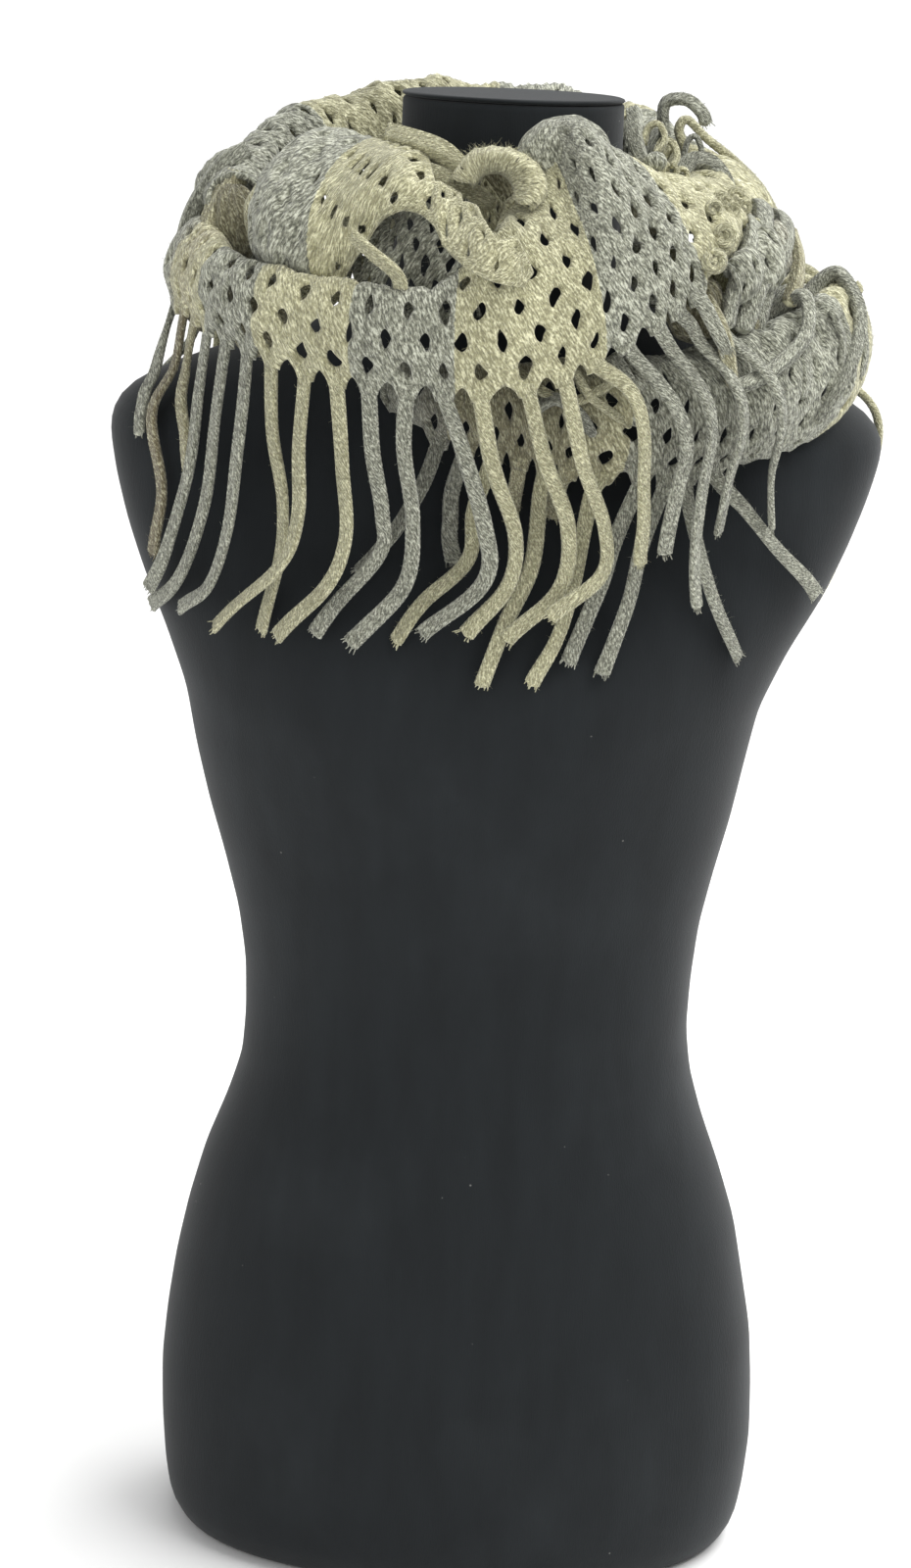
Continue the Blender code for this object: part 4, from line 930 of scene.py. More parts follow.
@dataclass(frozen=True)
class MarledKnit:
    """Soft brushed knit of two marled yarns, with slanting stitches, mixed plies and painted shade between
    the stitches.
    """

    name: str = "marled_knit"
    beige: YarnColours = YarnColours((0.80, 0.78, 0.54), (0.50, 0.48, 0.29), (0.17, 0.150, 0.076))
    grey: YarnColours = YarnColours((0.66, 0.67, 0.555), (0.315, 0.322, 0.245), (0.078, 0.080, 0.060))
    brown: Triple = (0.20, 0.145, 0.07)
    stitch: float = 0.0024
    wale: float = 0.0026
    slant: float = 1.1
    streak: Triple = (980.0, 330.0, 430.0)

    def make(self) -> Finish:
        """Build the material.

        Returns:
            The material.
        """
        wiring = Wiring(self.name, 0.93, 0.30, 0.55)
        stitches = wiring.node("ShaderNodeUVMap", uv_map="stitches").outputs[0]
        parts = wiring.node("ShaderNodeSeparateXYZ")
        wiring.feed(parts.inputs[0], stitches)
        place = wiring.place()
        wander = wiring.times(wiring.noise(place, 260.0), 0.9)
        side = wiring.result("DIVIDE", parts.outputs[0], self.wale)
        leg = wiring.result("PINGPONG", side, 0.5)
        climb = wiring.result("DIVIDE", parts.outputs[1], self.stitch)
        rise = wiring.result("ADD", wiring.times_plus(leg, self.slant, climb), wander)
        turn = wiring.result("SINE", wiring.times(rise, 2.0 * math.pi))
        round_stitch = wiring.times_plus(turn, 0.5, 0.5)
        valley = wiring.result("SINE", wiring.times(leg, 2.0 * math.pi))
        body = wiring.times(round_stitch, wiring.times_plus(valley, 0.45, 0.55))
        plies = wiring.node("ShaderNodeCombineXYZ")
        across = wiring.times(parts.outputs[0], self.streak[0])
        wiring.feed(plies.inputs[0], wiring.times_plus(parts.outputs[1], self.streak[2], across))
        wiring.feed(plies.inputs[1], wiring.times(parts.outputs[1], self.streak[1]))
        drift = wiring.node("ShaderNodeVectorMath", operation="MULTIPLY_ADD")
        wiring.feed(drift.inputs[0], place)
        drift.inputs[1].default_value = (130.0, 110.0, 120.0)
        wiring.feed(drift.inputs[2], plies.outputs[0])
        fleck = wiring.noise(drift.outputs[0], 1.0, 2.0)
        fine = wiring.noise(place, 1500.0, 1.0)
        mixed = wiring.times_plus(fine, 0.22, wiring.times(fleck, 0.78))
        raised = wiring.spread(fleck, 0.36, 0.64, 0.0, 1.0)
        pale = wiring.spread(mixed, 0.51, 0.60, 0.0, 1.0)
        deep = wiring.spread(mixed, 0.48, 0.39, 0.0, 1.0)
        edge = wiring.times_plus(wiring.noise(place, 420.0), 0.5, wiring.mark("grey"))
        grey = wiring.spread(edge, 0.70, 0.80, 0.0, 1.0)
        middle = wiring.mix(grey, self.beige.middle, self.grey.middle)
        middle = wiring.mix(wiring.times(wiring.mark("brown"), 0.75), middle, self.brown)
        light = wiring.mix(grey, self.beige.light, self.grey.light)
        dark = wiring.mix(grey, self.beige.dark, self.grey.dark)
        colour = wiring.mix(wiring.times(pale, 0.75), middle, light)
        strong = wiring.times_plus(grey, 0.35, 0.35)
        colour = wiring.mix(wiring.times(deep, strong), colour, dark)
        # painted shade and highlight: the colour is darkened in the hollows between the stitches and on the
        # low plies, and lifted a little on the raised plies
        hollow_shade = wiring.spread(body, 0.0, 0.55, 0.82, 1.0)
        stitch_shade = wiring.times(hollow_shade, wiring.spread(raised, 0.0, 1.0, 0.70, 1.08))
        broad = wiring.spread(wiring.noise(place, 28.0), 0.3, 0.7, 0.90, 1.10)
        colour = wiring.shade(colour, wiring.times(stitch_shade, broad))
        # the light mark scales the colour: each yarn's own tone, and painted shade from the shade-coloured
        # yarn and from the ribbon's darker bands
        colour = wiring.shade(colour, wiring.mark("light"))
        height = wiring.result("ADD", raised, wiring.times(body, 0.35))
        height = wiring.times_plus(fine, 0.45, height)
        wiring.bump(height, 1.0, 0.0006)
        return wiring.colour(colour)


@dataclass(frozen=True)
class StretchJersey:
    """Black stretch jersey over padding: fine ribs, scuffed patches and a little lint."""

    name: str = "black_jersey"
    base: Triple = (0.0100, 0.0124, 0.0140)
    scuffed: Triple = (0.0165, 0.0198, 0.0220)
    lint: Triple = (0.20, 0.20, 0.19)

    def make(self) -> Finish:
        """Build the material.

        Returns:
            The material.
        """
        wiring = Wiring(self.name, 0.90, 0.12, 0.45)
        place = wiring.place()
        ribs = wiring.noise(wiring.stretched(place, (1.0, 1.0, 0.10)), 1500.0, 1.0)
        pile = wiring.noise(place, 900.0, 2.0)
        patches = wiring.spread(wiring.noise(place, 9.0, 4.0), 0.50, 0.72, 0.0, 0.75)
        streaks = wiring.noise(wiring.stretched(place, (1.0, 1.0, 0.22)), 60.0, 3.0)
        colour = wiring.mix(patches, self.base, self.scuffed)
        colour = wiring.shade(colour, wiring.spread(streaks, 0.3, 0.7, 0.86, 1.14))
        cells = wiring.node("ShaderNodeTexVoronoi")
        wiring.feed(cells.inputs["Vector"], place)
        cells.inputs["Scale"].default_value = 95.0
        spot = wiring.spread(cells.outputs["Distance"], 0.035, 0.055, 1.0, 0.0)
        rare = wiring.spread(wiring.noise(place, 37.0, 1.0), 0.60, 0.64, 0.0, 0.8)
        colour = wiring.mix(wiring.times(spot, rare), colour, self.lint)
        wiring.bump(wiring.times_plus(pile, 0.5, ribs), 0.30, 0.0004)
        return wiring.colour(colour)


@dataclass(frozen=True)
class PaleFloor:
    """The plain pale floor."""

    name: str = "pale_floor"
    colour: Triple = (0.965, 0.965, 0.96)

    def make(self) -> Finish:
        """Build the material.

        Returns:
            The material.
        """
        wiring = Wiring(self.name, 0.95, 0.0, 0.5)
        tint = wiring.spread(wiring.noise(wiring.place(), 1.5, 2.0), 0.3, 0.7, 0.985, 1.0)
        return wiring.colour(wiring.shade(self.colour, tint))


# ---------------------------------------------------------------- dress form
@dataclass(frozen=True)
class DressForm:
    """The limbless padded form: its shape at any height, its jersey cover and neck disc."""

    smoothing: float = 0.005
    around: int = 144
    rise: float = 0.0055
    bust_height: float = 0.492
    bust_spread: float = 0.066
    bust_fullness: float = 0.011
    bust_size: Pair = (0.050, 0.055)

    def profile(self, height: Array) -> Array:
        """Half width, front, back, shift in metres and squareness at each height.

        Args:
            height: Heights in metres.

        Returns:
            Five values a height.
        """
        table = np.array(FORM_ROWS, float)
        values = [np.interp(height / MM, table[:, 0], table[:, column]) for column in range(1, 6)]
        return np.stack([*(value * MM for value in values[:4]), values[4]], -1)

    def outline(self, angle: Array, height: Array, profile: Optional[Array] = None) -> Array:
        """Points on the form at angles round its axis and heights.

        Args:
            angle: Angles in degrees, 0 at the front.
            height: Heights in metres.
            profile: The form's sizes at those heights, where they are known.

        Returns:
            The points.
        """
        sizes = self.profile(height) if profile is None else profile
        half, front, back, shift, square = (sizes[..., column] for column in range(5))
        sine = np.sin(np.radians(angle))
        cosine = np.cos(np.radians(angle))
        depth = np.where(cosine > 0, front, back)
        scale = (np.abs(sine / half) ** square + np.abs(cosine / depth) ** square) ** (-1.0 / square)
        x = scale * sine
        y = -scale * cosine
        up = (height - self.bust_height) / self.bust_size[1]
        for side in (-1.0, 1.0):
            across = (x - side * self.bust_spread) / self.bust_size[0]
            y = y - self.bust_fullness * np.exp(-across * across - up * up) * np.maximum(cosine, 0.0)
        return np.stack([x + shift, y, height + 0.0 * x], -1)

    def radius(self, angle: Array, height: Array) -> Array:
        """Distances from the neck's axis to the form at angles and heights.

        Args:
            angle: Angles in degrees.
            height: Heights in metres.

        Returns:
            The distances.
        """
        guess = np.array(angle, float)
        for _ in range(6):
            found = self.outline(guess, height)
            missed = angle - np.degrees(np.arctan2(found[..., 0], -found[..., 1]))
            guess = guess + (missed + 180.0) % 360.0 - 180.0
            guess = (guess + 180.0) % 360.0 - 180.0
        found = self.outline(guess, height)
        return np.hypot(found[..., 0], found[..., 1])

    def slope(self, angle: Array, height: Array) -> Array:
        """How fast the form's radius falls with height, from 0 to 2.5.

        Args:
            angle: Angles in degrees.
            height: Heights in metres.

        Returns:
            Metres out for each metre down.
        """
        step = 0.004
        fall = self.radius(angle, height - step) - self.radius(angle, height + step)
        return np.clip(fall / (2.0 * step), 0.0, 2.5)

    def smooth_profile(self, heights: Array) -> Array:
        """The form's sizes with the steps between the table's rows rounded away.

        Args:
            heights: Heights in metres.

        Returns:
            Five values a height, as profile gives them.
        """
        step = 0.001
        fine = np.arange(-0.03, FORM_HEIGHT + 0.03, step)
        sizes = self.profile(np.clip(fine, 0.0, FORM_HEIGHT))
        reach = np.arange(-18, 19) * step
        bell = np.exp(-0.5 * (reach / self.smoothing) ** 2)
        bell /= bell.sum()
        smooth = np.stack([np.convolve(sizes[:, k], bell, mode="same") for k in range(5)], -1)
        return np.stack([np.interp(heights, fine, smooth[:, k]) for k in range(5)], -1)

    def build(self, jersey: Finish) -> None:
        """Make the cover and the neck disc."""
        self.build_cover(jersey)
        self.build_disc(jersey)

    def build_cover(self, jersey: Finish) -> None:
        """The jersey cover, closed under the base and at the neck's rim.

        Args:
            jersey: Its material.
        """
        top = FORM_HEIGHT - CAP_THICKNESS - 0.0003
        heights = np.concatenate([[0.0, 0.0015, 0.0035], np.arange(0.006, top - 0.004, self.rise)])
        heights = np.concatenate([heights, [top - 0.0035, top - 0.0015, top - 0.0004, top]])
        sizes = self.smooth_profile(heights)
        draw_in = np.zeros(len(heights))
        draw_in[-2:] = (0.0004, 0.0012)
        draw_in[:2] = (0.0020, 0.0006)
        sizes[:, :3] -= draw_in[:, None]
        angles = np.arange(self.around) * 360.0 / self.around
        points = self.outline(angles[None, :], heights[:, None] + 0.0 * angles, sizes[:, None, :])
        points = np.concatenate([points.reshape(-1, 3), [[0.0, 0.0, 0.0], [0.0, 0.0, top]]])
        cover = make_mesh("form_cover", points, tube_faces(len(heights), self.around), jersey)
        dress_piece(cover, Slot.JERSEY, "form_body")

    def build_disc(self, jersey: Finish) -> None:
        """The covered disc on the neck, with a rolled rim and a shallow dip.

        Args:
            jersey: Its material.
        """
        rows = (
            (0.90, 0.0), (0.985, 0.12), (1.006, 0.45), (1.0, 0.80), (0.975, 0.98), (0.93, 1.0), (0.6, 0.90),
            (0.25, 0.86),
        )
        angles = np.arange(self.around) * 360.0 / self.around
        base = FORM_HEIGHT - CAP_THICKNESS
        rings = []
        for share, rise in rows:
            ripple = 1.0 + 0.004 * np.sin(np.radians(5.0 * angles) + 3.0 * rise)
            rings.append(polar(angles, NECK_RADIUS * share * ripple, base + CAP_THICKNESS * rise))
        points = np.concatenate([*rings, [[0.0, 0.0, base], [0.0, 0.0, base + CAP_THICKNESS * 0.85]]])
        disc = make_mesh("neck_disc", points, tube_faces(len(rows), self.around), jersey)
        dress_piece(disc, Slot.JERSEY, "neck_cap")


# ---------------------------------------------------------------- cloth surfaces
@dataclass(frozen=True)
class Fold:
    """A fold or crease of a stretch, moved out or in along the cloth."""

    stretch: str
    along: float
    across: float
    half_along: float
    half_across: float
    height: float
    shear: float

    def lift(self, along: Array, across: Array) -> Array:
        """How far it moves the cloth, at places from 0 to 1 along its stretch.

        Args:
            along: Places along the stretch.
            across: Places from hem to tuck.

        Returns:
            Metres outward.
        """
        ends = np.clip(along / 0.06, 0.0, 1.0) * np.clip((1.0 - along) / 0.06, 0.0, 1.0)
        u = (along - self.along - self.shear * (across - self.across)) / self.half_along
        v = (across - self.across) / self.half_across
        return self.height * MM * np.exp(-u * u - v ** 4) * ends


@dataclass
class ClothSurface:
    """A smooth surface through a grid of points, with an outer side and folds."""

    grid: Array
    outward: float = 1.0
    spans: dict = field(default_factory=dict)
    folds: tuple = ()
    turns: Optional[tuple] = None

    def __post_init__(self) -> None:
        """Grow the grid by one station on each side, in line with its edges."""
        before = 2 * self.grid[:1] - self.grid[1:2]
        after = 2 * self.grid[-1:] - self.grid[-2:-1]
        tall = np.concatenate([before, self.grid, after])
        left = 2 * tall[:, :1] - tall[:, 1:2]
        right = 2 * tall[:, -1:] - tall[:, -2:-1]
        self.grown = np.concatenate([left, tall, right], axis=1)

    @property
    def stations(self) -> int:
        """How many sections the surface passes through."""
        return self.grid.shape[0]

    def plain(self, station: Array, across: Array) -> Array:
        """Points without folds, at section numbers and shares across from 0 to 1.

        Args:
            station: Section numbers.
            across: Shares across.

        Returns:
            The points.
        """
        columns = self.grid.shape[1]
        first, rows = stencil(station, self.stations)
        second, sides = stencil(across * (columns - 1.0), columns)
        total = 0.0
        for a in range(4):
            for b in range(4):
                total = total + (rows[:, a] * sides[:, b])[:, None] * self.grown[first + a, second + b]
        return total

    def normals(self, station: Array, across: Array) -> Array:
        """Outward directions at the same places.

        Args:
            station: Section numbers.
            across: Shares across.

        Returns:
            The directions.
        """
        step = 0.012
        last = self.stations - 1.0
        ahead = self.plain(np.minimum(station + step, last), across)
        behind = self.plain(np.maximum(station - step, 0.0), across)
        high = self.plain(station, np.minimum(across + step * 0.2, 1.0))
        low = self.plain(station, np.maximum(across - step * 0.2, 0.0))
        return unit(np.cross(ahead - behind, high - low)) * self.outward

    def fold_lift(self, station: Array, across: Array) -> Array:
        """How far the folds move each place out.

        Args:
            station: Section numbers.
            across: Shares across.

        Returns:
            Metres outward.
        """
        lift = np.zeros_like(station)
        for fold in self.folds:
            first, last = self.spans[fold.stretch]
            lift += fold.lift((station - first) / (last - first), across)
        return lift

    def at(self, station: Array, across: Array) -> tuple[Array, Array]:
        """Points with folds, and outward directions.

        Args:
            station: Section numbers.
            across: Shares across.

        Returns:
            The points and the directions.
        """
        station = np.atleast_1d(np.asarray(station, float))
        across = np.broadcast_to(np.asarray(across, float), station.shape)
        normals = self.normals(station, across)
        return self.plain(station, across) + normals * self.fold_lift(station, across)[:, None], normals

    def station_at(self, angle: float, across: float) -> float:
        """The section number where a line along the cloth reaches an angle round the neck.

        Args:
            angle: The angle in degrees, counted on from turn to turn.
            across: The line's share across.

        Returns:
            The section number.
        """
        if self.turns is None or self.turns[0] != across:
            line = np.linspace(0.0, self.stations - 1.0, (self.stations - 1) * 40 + 1)
            points = self.at(line, across)[0]
            turn = np.degrees(np.unwrap(np.arctan2(points[:, 0], -points[:, 1])))
            self.turns = (across, line, turn)
        _across, line, turn = self.turns
        return float(np.interp(angle, turn, line))

    def down(self, station: Array) -> Array:
        """Which way the fringe leaves the hem at section numbers.

        Args:
            station: Section numbers.

        Returns:
            The directions.
        """
        hem = self.at(station, 0.0)[0]
        above = self.at(station, 0.02)[0]
        return unit(unit(hem - above) + np.array((0.0, 0.0, -HEM_DROP)))


def section_surface(rows: Sequence[Row], spans: dict[str, tuple[int, int]]) -> ClothSurface:
    """The surface through a table of sections.

    Args:
        rows: The table.
        spans: First and last section of each stretch on it.

    Returns:
        The surface.
    """
    grid = []
    for angle, lean, *points in rows:
        steps = np.linspace(0.0, 1.0, len(points))
        pairs = np.array(points, float) * MM
        grid.append(polar(angle + lean * steps, pairs[:, 0], pairs[:, 1]))
    outward = 1.0 if rows[-1][0] > rows[0][0] else -1.0
    folds = tuple(Fold(name, *row) for name in spans for row in FOLDS.get(name, ()))
    return ClothSurface(np.array(grid), outward, spans, folds)


def arch_surface() -> ClothSurface:
    """The surface of the rolled arch at the front of the neck.

    Returns:
        The surface.
    """
    tilt = math.radians(HOOD_TILT)
    centre = np.array(HOOD_CENTRE) * MM
    back = np.array((0.0, math.cos(tilt), -math.sin(tilt)))
    rise = np.array((0.0, math.sin(tilt), math.cos(tilt)))
    side = np.array((1.0, 0.0, 0.0))
    grid = []
    for turn, *points in HOOD_ROWS:
        angle = math.radians(turn)
        out = HOOD_STRETCH[0] * math.cos(angle) * side + HOOD_STRETCH[1] * math.sin(angle) * rise
        grid.append([centre + radius * MM * out + depth * MM * back for radius, depth in points])
    return ClothSurface(np.array(grid), 1.0, {"hood_fold": (0, len(HOOD_ROWS) - 1)}, ())


# ---------------------------------------------------------------- the eyelet net
@dataclass(frozen=True)
class NetPattern:
    """The sizes of the net: its pitch, its rows, its eyelets and its rounded strands."""

    pitch: float = 0.0175
    row: float = 0.0143
    first_row: float = 0.0070
    hole: Pair = (0.0031, 0.0044)
    jitter: float = 0.24
    unlike: float = 0.25
    shut_below: float = 0.30
    widest: float = 1.15
    lean: Pair = (0.22, 0.05)
    shut_rim: float = 0.32
    border_rim: float = 0.93
    side_steps: int = 6
    rings: tuple[float, ...] = (0.0, 0.10, 0.32, 0.64, 1.0)
    thickness: tuple[float, ...] = (0.22, 0.62, 0.92, 1.08, 0.98)
    relief: tuple[float, ...] = (-0.75, -0.42, 0.05, 0.35, 0.15)
    lumps: Pair = (0.00034, 0.0085)
    half: float = 0.00135
    dimple: float = 0.0009

    @property
    def around(self) -> int:
        """How many points a ring round an eyelet has."""
        return 4 * self.side_steps

    def diamond(self) -> Array:
        """Points round a cell's border, in pitches and rows, from its right corner.

        Returns:
            The points.
        """
        corners = np.array([(0.5, 0.0), (0.0, 1.0), (-0.5, 0.0), (0.0, -1.0)])
        number = np.arange(self.around)
        side = number // self.side_steps
        share = (number % self.side_steps)[:, None] / self.side_steps
        return corners[side] * (1.0 - share) + corners[(side + 1) % 4] * share

    def eyelet(self) -> Array:
        """Points round a hole of half sizes 1, slightly drawn to a point at its ends.

        Returns:
            The points.
        """
        turn = 2.0 * math.pi * np.arange(self.around) / self.around
        x = np.cos(turn) * np.abs(np.cos(turn)) ** 0.30
        y = np.sin(turn) * np.abs(np.sin(turn)) ** 0.42
        return np.stack([x, y], -1)

    def ragged(self, used: int, seed: float) -> Array:
        """How much further out each point of an eyelet's rim is, for soft uneven rims."""
        turn = 2.0 * math.pi * np.arange(used) / self.around
        return 1.0 + 0.13 * np.sin(2.0 * turn + seed) + 0.11 * np.sin(3.0 * turn + 2.3 * seed)


@dataclass
class Lattice:
    """Where the net's columns and rows lie on a surface."""

    surface: ClothSurface
    pattern: NetPattern
    anchors: tuple = ()
    fringed: tuple = ()

    def __post_init__(self) -> None:
        """Measure the cloth and set out its columns."""
        last = self.surface.stations - 1
        self.line = np.linspace(0.0, last, last * 12 + 1)
        shares = np.linspace(0.0, 1.0, 49)
        station, across = np.meshgrid(self.line, shares, indexing="ij")
        points = self.surface.plain(station.ravel(), across.ravel()).reshape(*station.shape, 3)
        steps = np.linalg.norm(np.diff(points, axis=1), axis=2)
        measured = np.concatenate([np.zeros((len(self.line), 1)), np.cumsum(steps, axis=1)], axis=1)
        self.widths = measured[:, -1]
        self.depths = np.arange(0.0, self.widths.max() + 0.002, 0.001)
        self.shares = np.stack([np.interp(self.depths, row, shares) for row in measured])
        level = points[:, 12]
        self.lengths = travelled(level)
        self.columns = self.set_out_columns()

    def set_out_columns(self) -> Array:
        """Section numbers of the columns: one at each anchor, and even ones between.

        Returns:
            The section numbers.
        """
        ends = [0.0, *self.anchors, float(self.surface.stations - 1)]
        columns = [ends[0]]
        for start, stop in zip(ends[:-1], ends[1:]):
            low, high = np.interp((start, stop), self.line, self.lengths)
            count = max(1, round((high - low) / self.pattern.pitch))
            wanted = low + (high - low) * np.arange(1, count + 1) / count
            columns.extend(np.interp(wanted, self.lengths, self.line))
        return np.array(columns)

    def station(self, column: Array) -> Array:
        """Section numbers of places given in columns, drawn in at both ends of the cloth.

        Args:
            column: Column numbers, halves among them.

        Returns:
            Section numbers.
        """
        last = len(self.columns) - 1.0
        place = np.where(column < 0.5, 0.5 * (column + 0.5), column)
        place = np.where(column > last - 0.5, last - 0.5 * (last + 0.5 - column), place)
        return np.interp(place, np.arange(len(self.columns)), self.columns)

    def width(self, station: Array) -> Array:
        """How wide the cloth is at section numbers."""
        return np.interp(station, self.line, self.widths)

    def fringe_share(self, station: Array) -> Array:
        """1 where the hem has a fringe and 0 where it is plain.

        Args:
            station: Section numbers.

        Returns:
            Values from 0 to 1.
        """
        share = np.zeros_like(station)
        for low, high in self.fringed:
            inside = smooth_step((station - low) / 0.15) * smooth_step((high - station) / 0.15)
            share = np.maximum(share, inside)
        return share

    def depth(self, station: Array, height: Array) -> Array:
        """Distances up from the hem, drawn in at the hem and at the tuck.

        Args:
            station: Section numbers.
            height: Heights in the net's own rows, in metres.

        Returns:
            The distances in metres.
        """
        pattern = self.pattern
        width = self.width(station)
        high = np.maximum(width - pattern.row, pattern.first_row)
        share = np.minimum((width - high) / (width + pattern.row - high), 0.5)
        depth = np.where(height > high, high + (height - high) * share, height)
        low = (pattern.first_row - pattern.row) * self.fringe_share(station)
        squeeze = (pattern.first_row - low) / pattern.row
        under = pattern.first_row - (pattern.first_row - height) * squeeze
        return np.where(height < pattern.first_row, under, depth)

    def across(self, station: Array, depth: Array) -> Array:
        """Shares across the cloth of distances up from the hem.

        Args:
            station: Section numbers.
            depth: Distances in metres.

        Returns:
            Shares from 0 to 1.
        """
        row = np.clip(np.interp(station, self.line, np.arange(len(self.line))), 0, len(self.line) - 1.001)
        column = np.clip(depth / 0.001, 0.0, len(self.depths) - 1.001)
        i, j = row.astype(int), column.astype(int)
        u, v = row - i, column - j
        table = self.shares
        near = table[i, j] * (1 - v) + table[i, j + 1] * v
        far = table[i + 1, j] * (1 - v) + table[i + 1, j + 1] * v
        return near * (1 - u) + far * u


@dataclass(frozen=True)
class Stripes:
    """Bands of yarn along a stretch: where they change, and what they start with."""

    edges: tuple[float, ...]
    start: Yarn = GREY
    brown: tuple[Triple, ...] = ()
    # light rows give the middle angle, the reach and the change of lightness; a band that darkens cloth lying
    # in shade is painted shade
    light: tuple[Triple, ...] = ()
    blend: float = 0.9

    def at(self, angle: Array) -> Array:
        """How grey, how brown and how light the yarn is at section angles.

        Args:
            angle: Angles in degrees, counted on from turn to turn.

        Returns:
            Three values an angle.
        """
        grey = np.full_like(angle, self.start.value[0])
        sign = 1.0 - 2.0 * self.start.value[0]
        for edge in self.edges:
            grey = grey + sign * smooth_step((angle - edge) / self.blend + 0.5)
            sign = -sign
        brown = np.zeros_like(angle)
        for middle, reach, strength in self.brown:
            brown = np.maximum(brown, strength * np.exp(-((angle - middle) / reach) ** 2))
        light = np.ones_like(angle)
        for middle, reach, change in self.light:
            light = light + change * np.exp(-((angle - middle) / reach) ** 2)
        return np.stack([grey, brown, light], -1)


@dataclass
class NetStretch:
    """One stretch of the scarf, knitted as a net on its solid's surface."""

    node: str
    lattice: Lattice
    span: Pair
    angles: Array
    stripes: Stripes
    openness: tuple[tuple[float, float, float, float], ...]
    slot: Slot
    seed: int
    gather: float = 0.0
    swell: Pair = (0.0005, 0.034)
    gather_pitch: float = 0.0064

    def build(self, knit: Finish) -> Item:
        """Make the net and put it in its solid's place.

        Args:
            knit: Its material.

        Returns:
            The piece.
        """
        spots, faces, marks, dip, half = self.knit_cells()
        points, out = self.lay(spots)
        lift = dip
        for height, size in (self.swell, self.lattice.pattern.lumps):
            lift = lift + height * unevenness(points, size, self.seed)
        if self.gather:
            slant = spots[:, 0] * self.lattice.pattern.pitch + 0.30 * spots[:, 1]
            thick = half > THIN_EDGE
            lift = lift + self.gather * np.sin(slant * 2.0 * math.pi / self.gather_pitch) * thick
        points = points + out * lift[:, None]
        angle = np.interp(self.lattice.station(spots[:, 0]), np.arange(len(self.angles)), self.angles)
        yarns = self.stripes.at(angle)
        if self.lattice.surface.outward < 0.0:
            faces, marks = faces[:, ::-1], marks[:, ::-1]
        self.flat_area = self.measure_flat(spots, faces)
        points, faces, marks = thicken(points, out * half[:, None], faces, marks)
        item = make_mesh(f"{self.node}_net", points, faces, knit, marks, np.tile(yarns, (2, 1)))
        return dress_piece(item, self.slot, self.node)

    def flat_size(self) -> Pair:
        """The width and length that the stretch was knitted to.

        Returns:
            Width and length in metres.
        """
        low, high = np.interp(self.span, self.lattice.line, self.lattice.lengths)
        line = self.lattice.line
        inside = (line >= self.span[0]) & (line <= self.span[1])
        return float(self.lattice.widths[inside].mean()), float(high - low)

    def measure_flat(self, spots: Array, faces: Array) -> float:
        """The area of the cloth between its eyelets, laid flat.

        Args:
            spots: Places in columns and metres up.
            faces: The net's faces.

        Returns:
            The area in square metres.
        """
        station = self.lattice.station(spots[:, 0])
        x = np.interp(station, self.lattice.line, self.lattice.lengths)
        y = self.lattice.depth(station, spots[:, 1])
        a, b, c, d = (np.stack([x, y], -1)[faces[:, k]] for k in range(4))
        first, second = c - a, d - b
        return float(np.abs(first[:, 0] * second[:, 1] - first[:, 1] * second[:, 0]).sum() / 2.0)

    def lay(self, spots: Array) -> tuple[Array, Array]:
        """Put places of the net, in columns and metres up, on the surface.

        Args:
            spots: The places.

        Returns:
            Points, and outward directions.
        """
        lattice = self.lattice
        station = lattice.station(spots[:, 0])
        depth = lattice.depth(station, spots[:, 1])
        across = lattice.across(station, np.maximum(depth, 0.0))
        points, out = lattice.surface.at(station, across)
        below = np.maximum(-depth, 0.0)
        hanging = below > 0.0
        if hanging.any():
            down = lattice.surface.down(station[hanging])
            points[hanging] += down * below[hanging, None]
            out[hanging] = unit(out[hanging] - down * (out[hanging] * down).sum(-1, keepdims=True))
        return points, out

    def open_share(self, station: float, share: float) -> float:
        """How far open the eyelets are at a place on the stretch.

        Args:
            station: The section number.
            share: The share of the way to the tuck.

        Returns:
            0 for shut, 1 for fully open.
        """
        first, last = self.span
        along = (station - first) / (last - first)
        table = np.array(self.openness)
        rows = [np.interp(along, table[:, 0], table[:, k]) for k in (1, 2, 3)]
        return float(np.interp(share, (0.0, 0.5, 1.0), rows))

    def cells(self) -> Iterable[CellPlan]:
        """Every cell of the stretch, row by row from the hem up.

        Returns:
            The cells, one after another.
        """
        lattice, pattern = self.lattice, self.lattice.pattern
        chance = np.random.default_rng(self.seed)
        columns = len(lattice.columns)
        rows = int(lattice.widths.max() / pattern.row) + 2
        for row in range(-1, rows):
            for number in range(columns):
                column = number + (0.5 if row % 2 else 0.0)
                draw = chance.uniform(-1.0, 1.0, 4)
                if column > columns - 1:
                    continue
                station = float(lattice.station(np.array(column)))
                first, last = self.span
                at_end = last >= lattice.surface.stations - 1 and station >= last
                if not (first <= station < last or at_end):
                    continue
                height = pattern.first_row + row * pattern.row
                width = float(lattice.width(np.array(station)))
                if height > width:
                    continue
                if row < 0:
                    yield self.hem_cell(column, height, station)
                    continue
                share = height / width
                ease = self.open_share(station, share) * (1.0 + pattern.unlike * draw[3])
                if ease < pattern.shut_below:
                    yield Cell.SHUT, column, height, (0.0, 0.0), 0.0
                    continue
                ease = min(ease, pattern.widest)
                across = pattern.hole[0] * ease * (1.0 + pattern.jitter * draw[0])
                up = pattern.hole[1] * (0.55 + 0.45 * ease) * (1.0 + pattern.jitter * draw[1])
                yield Cell.OPEN, column, height, (across, up), pattern.lean[0] * draw[2] + pattern.lean[1]

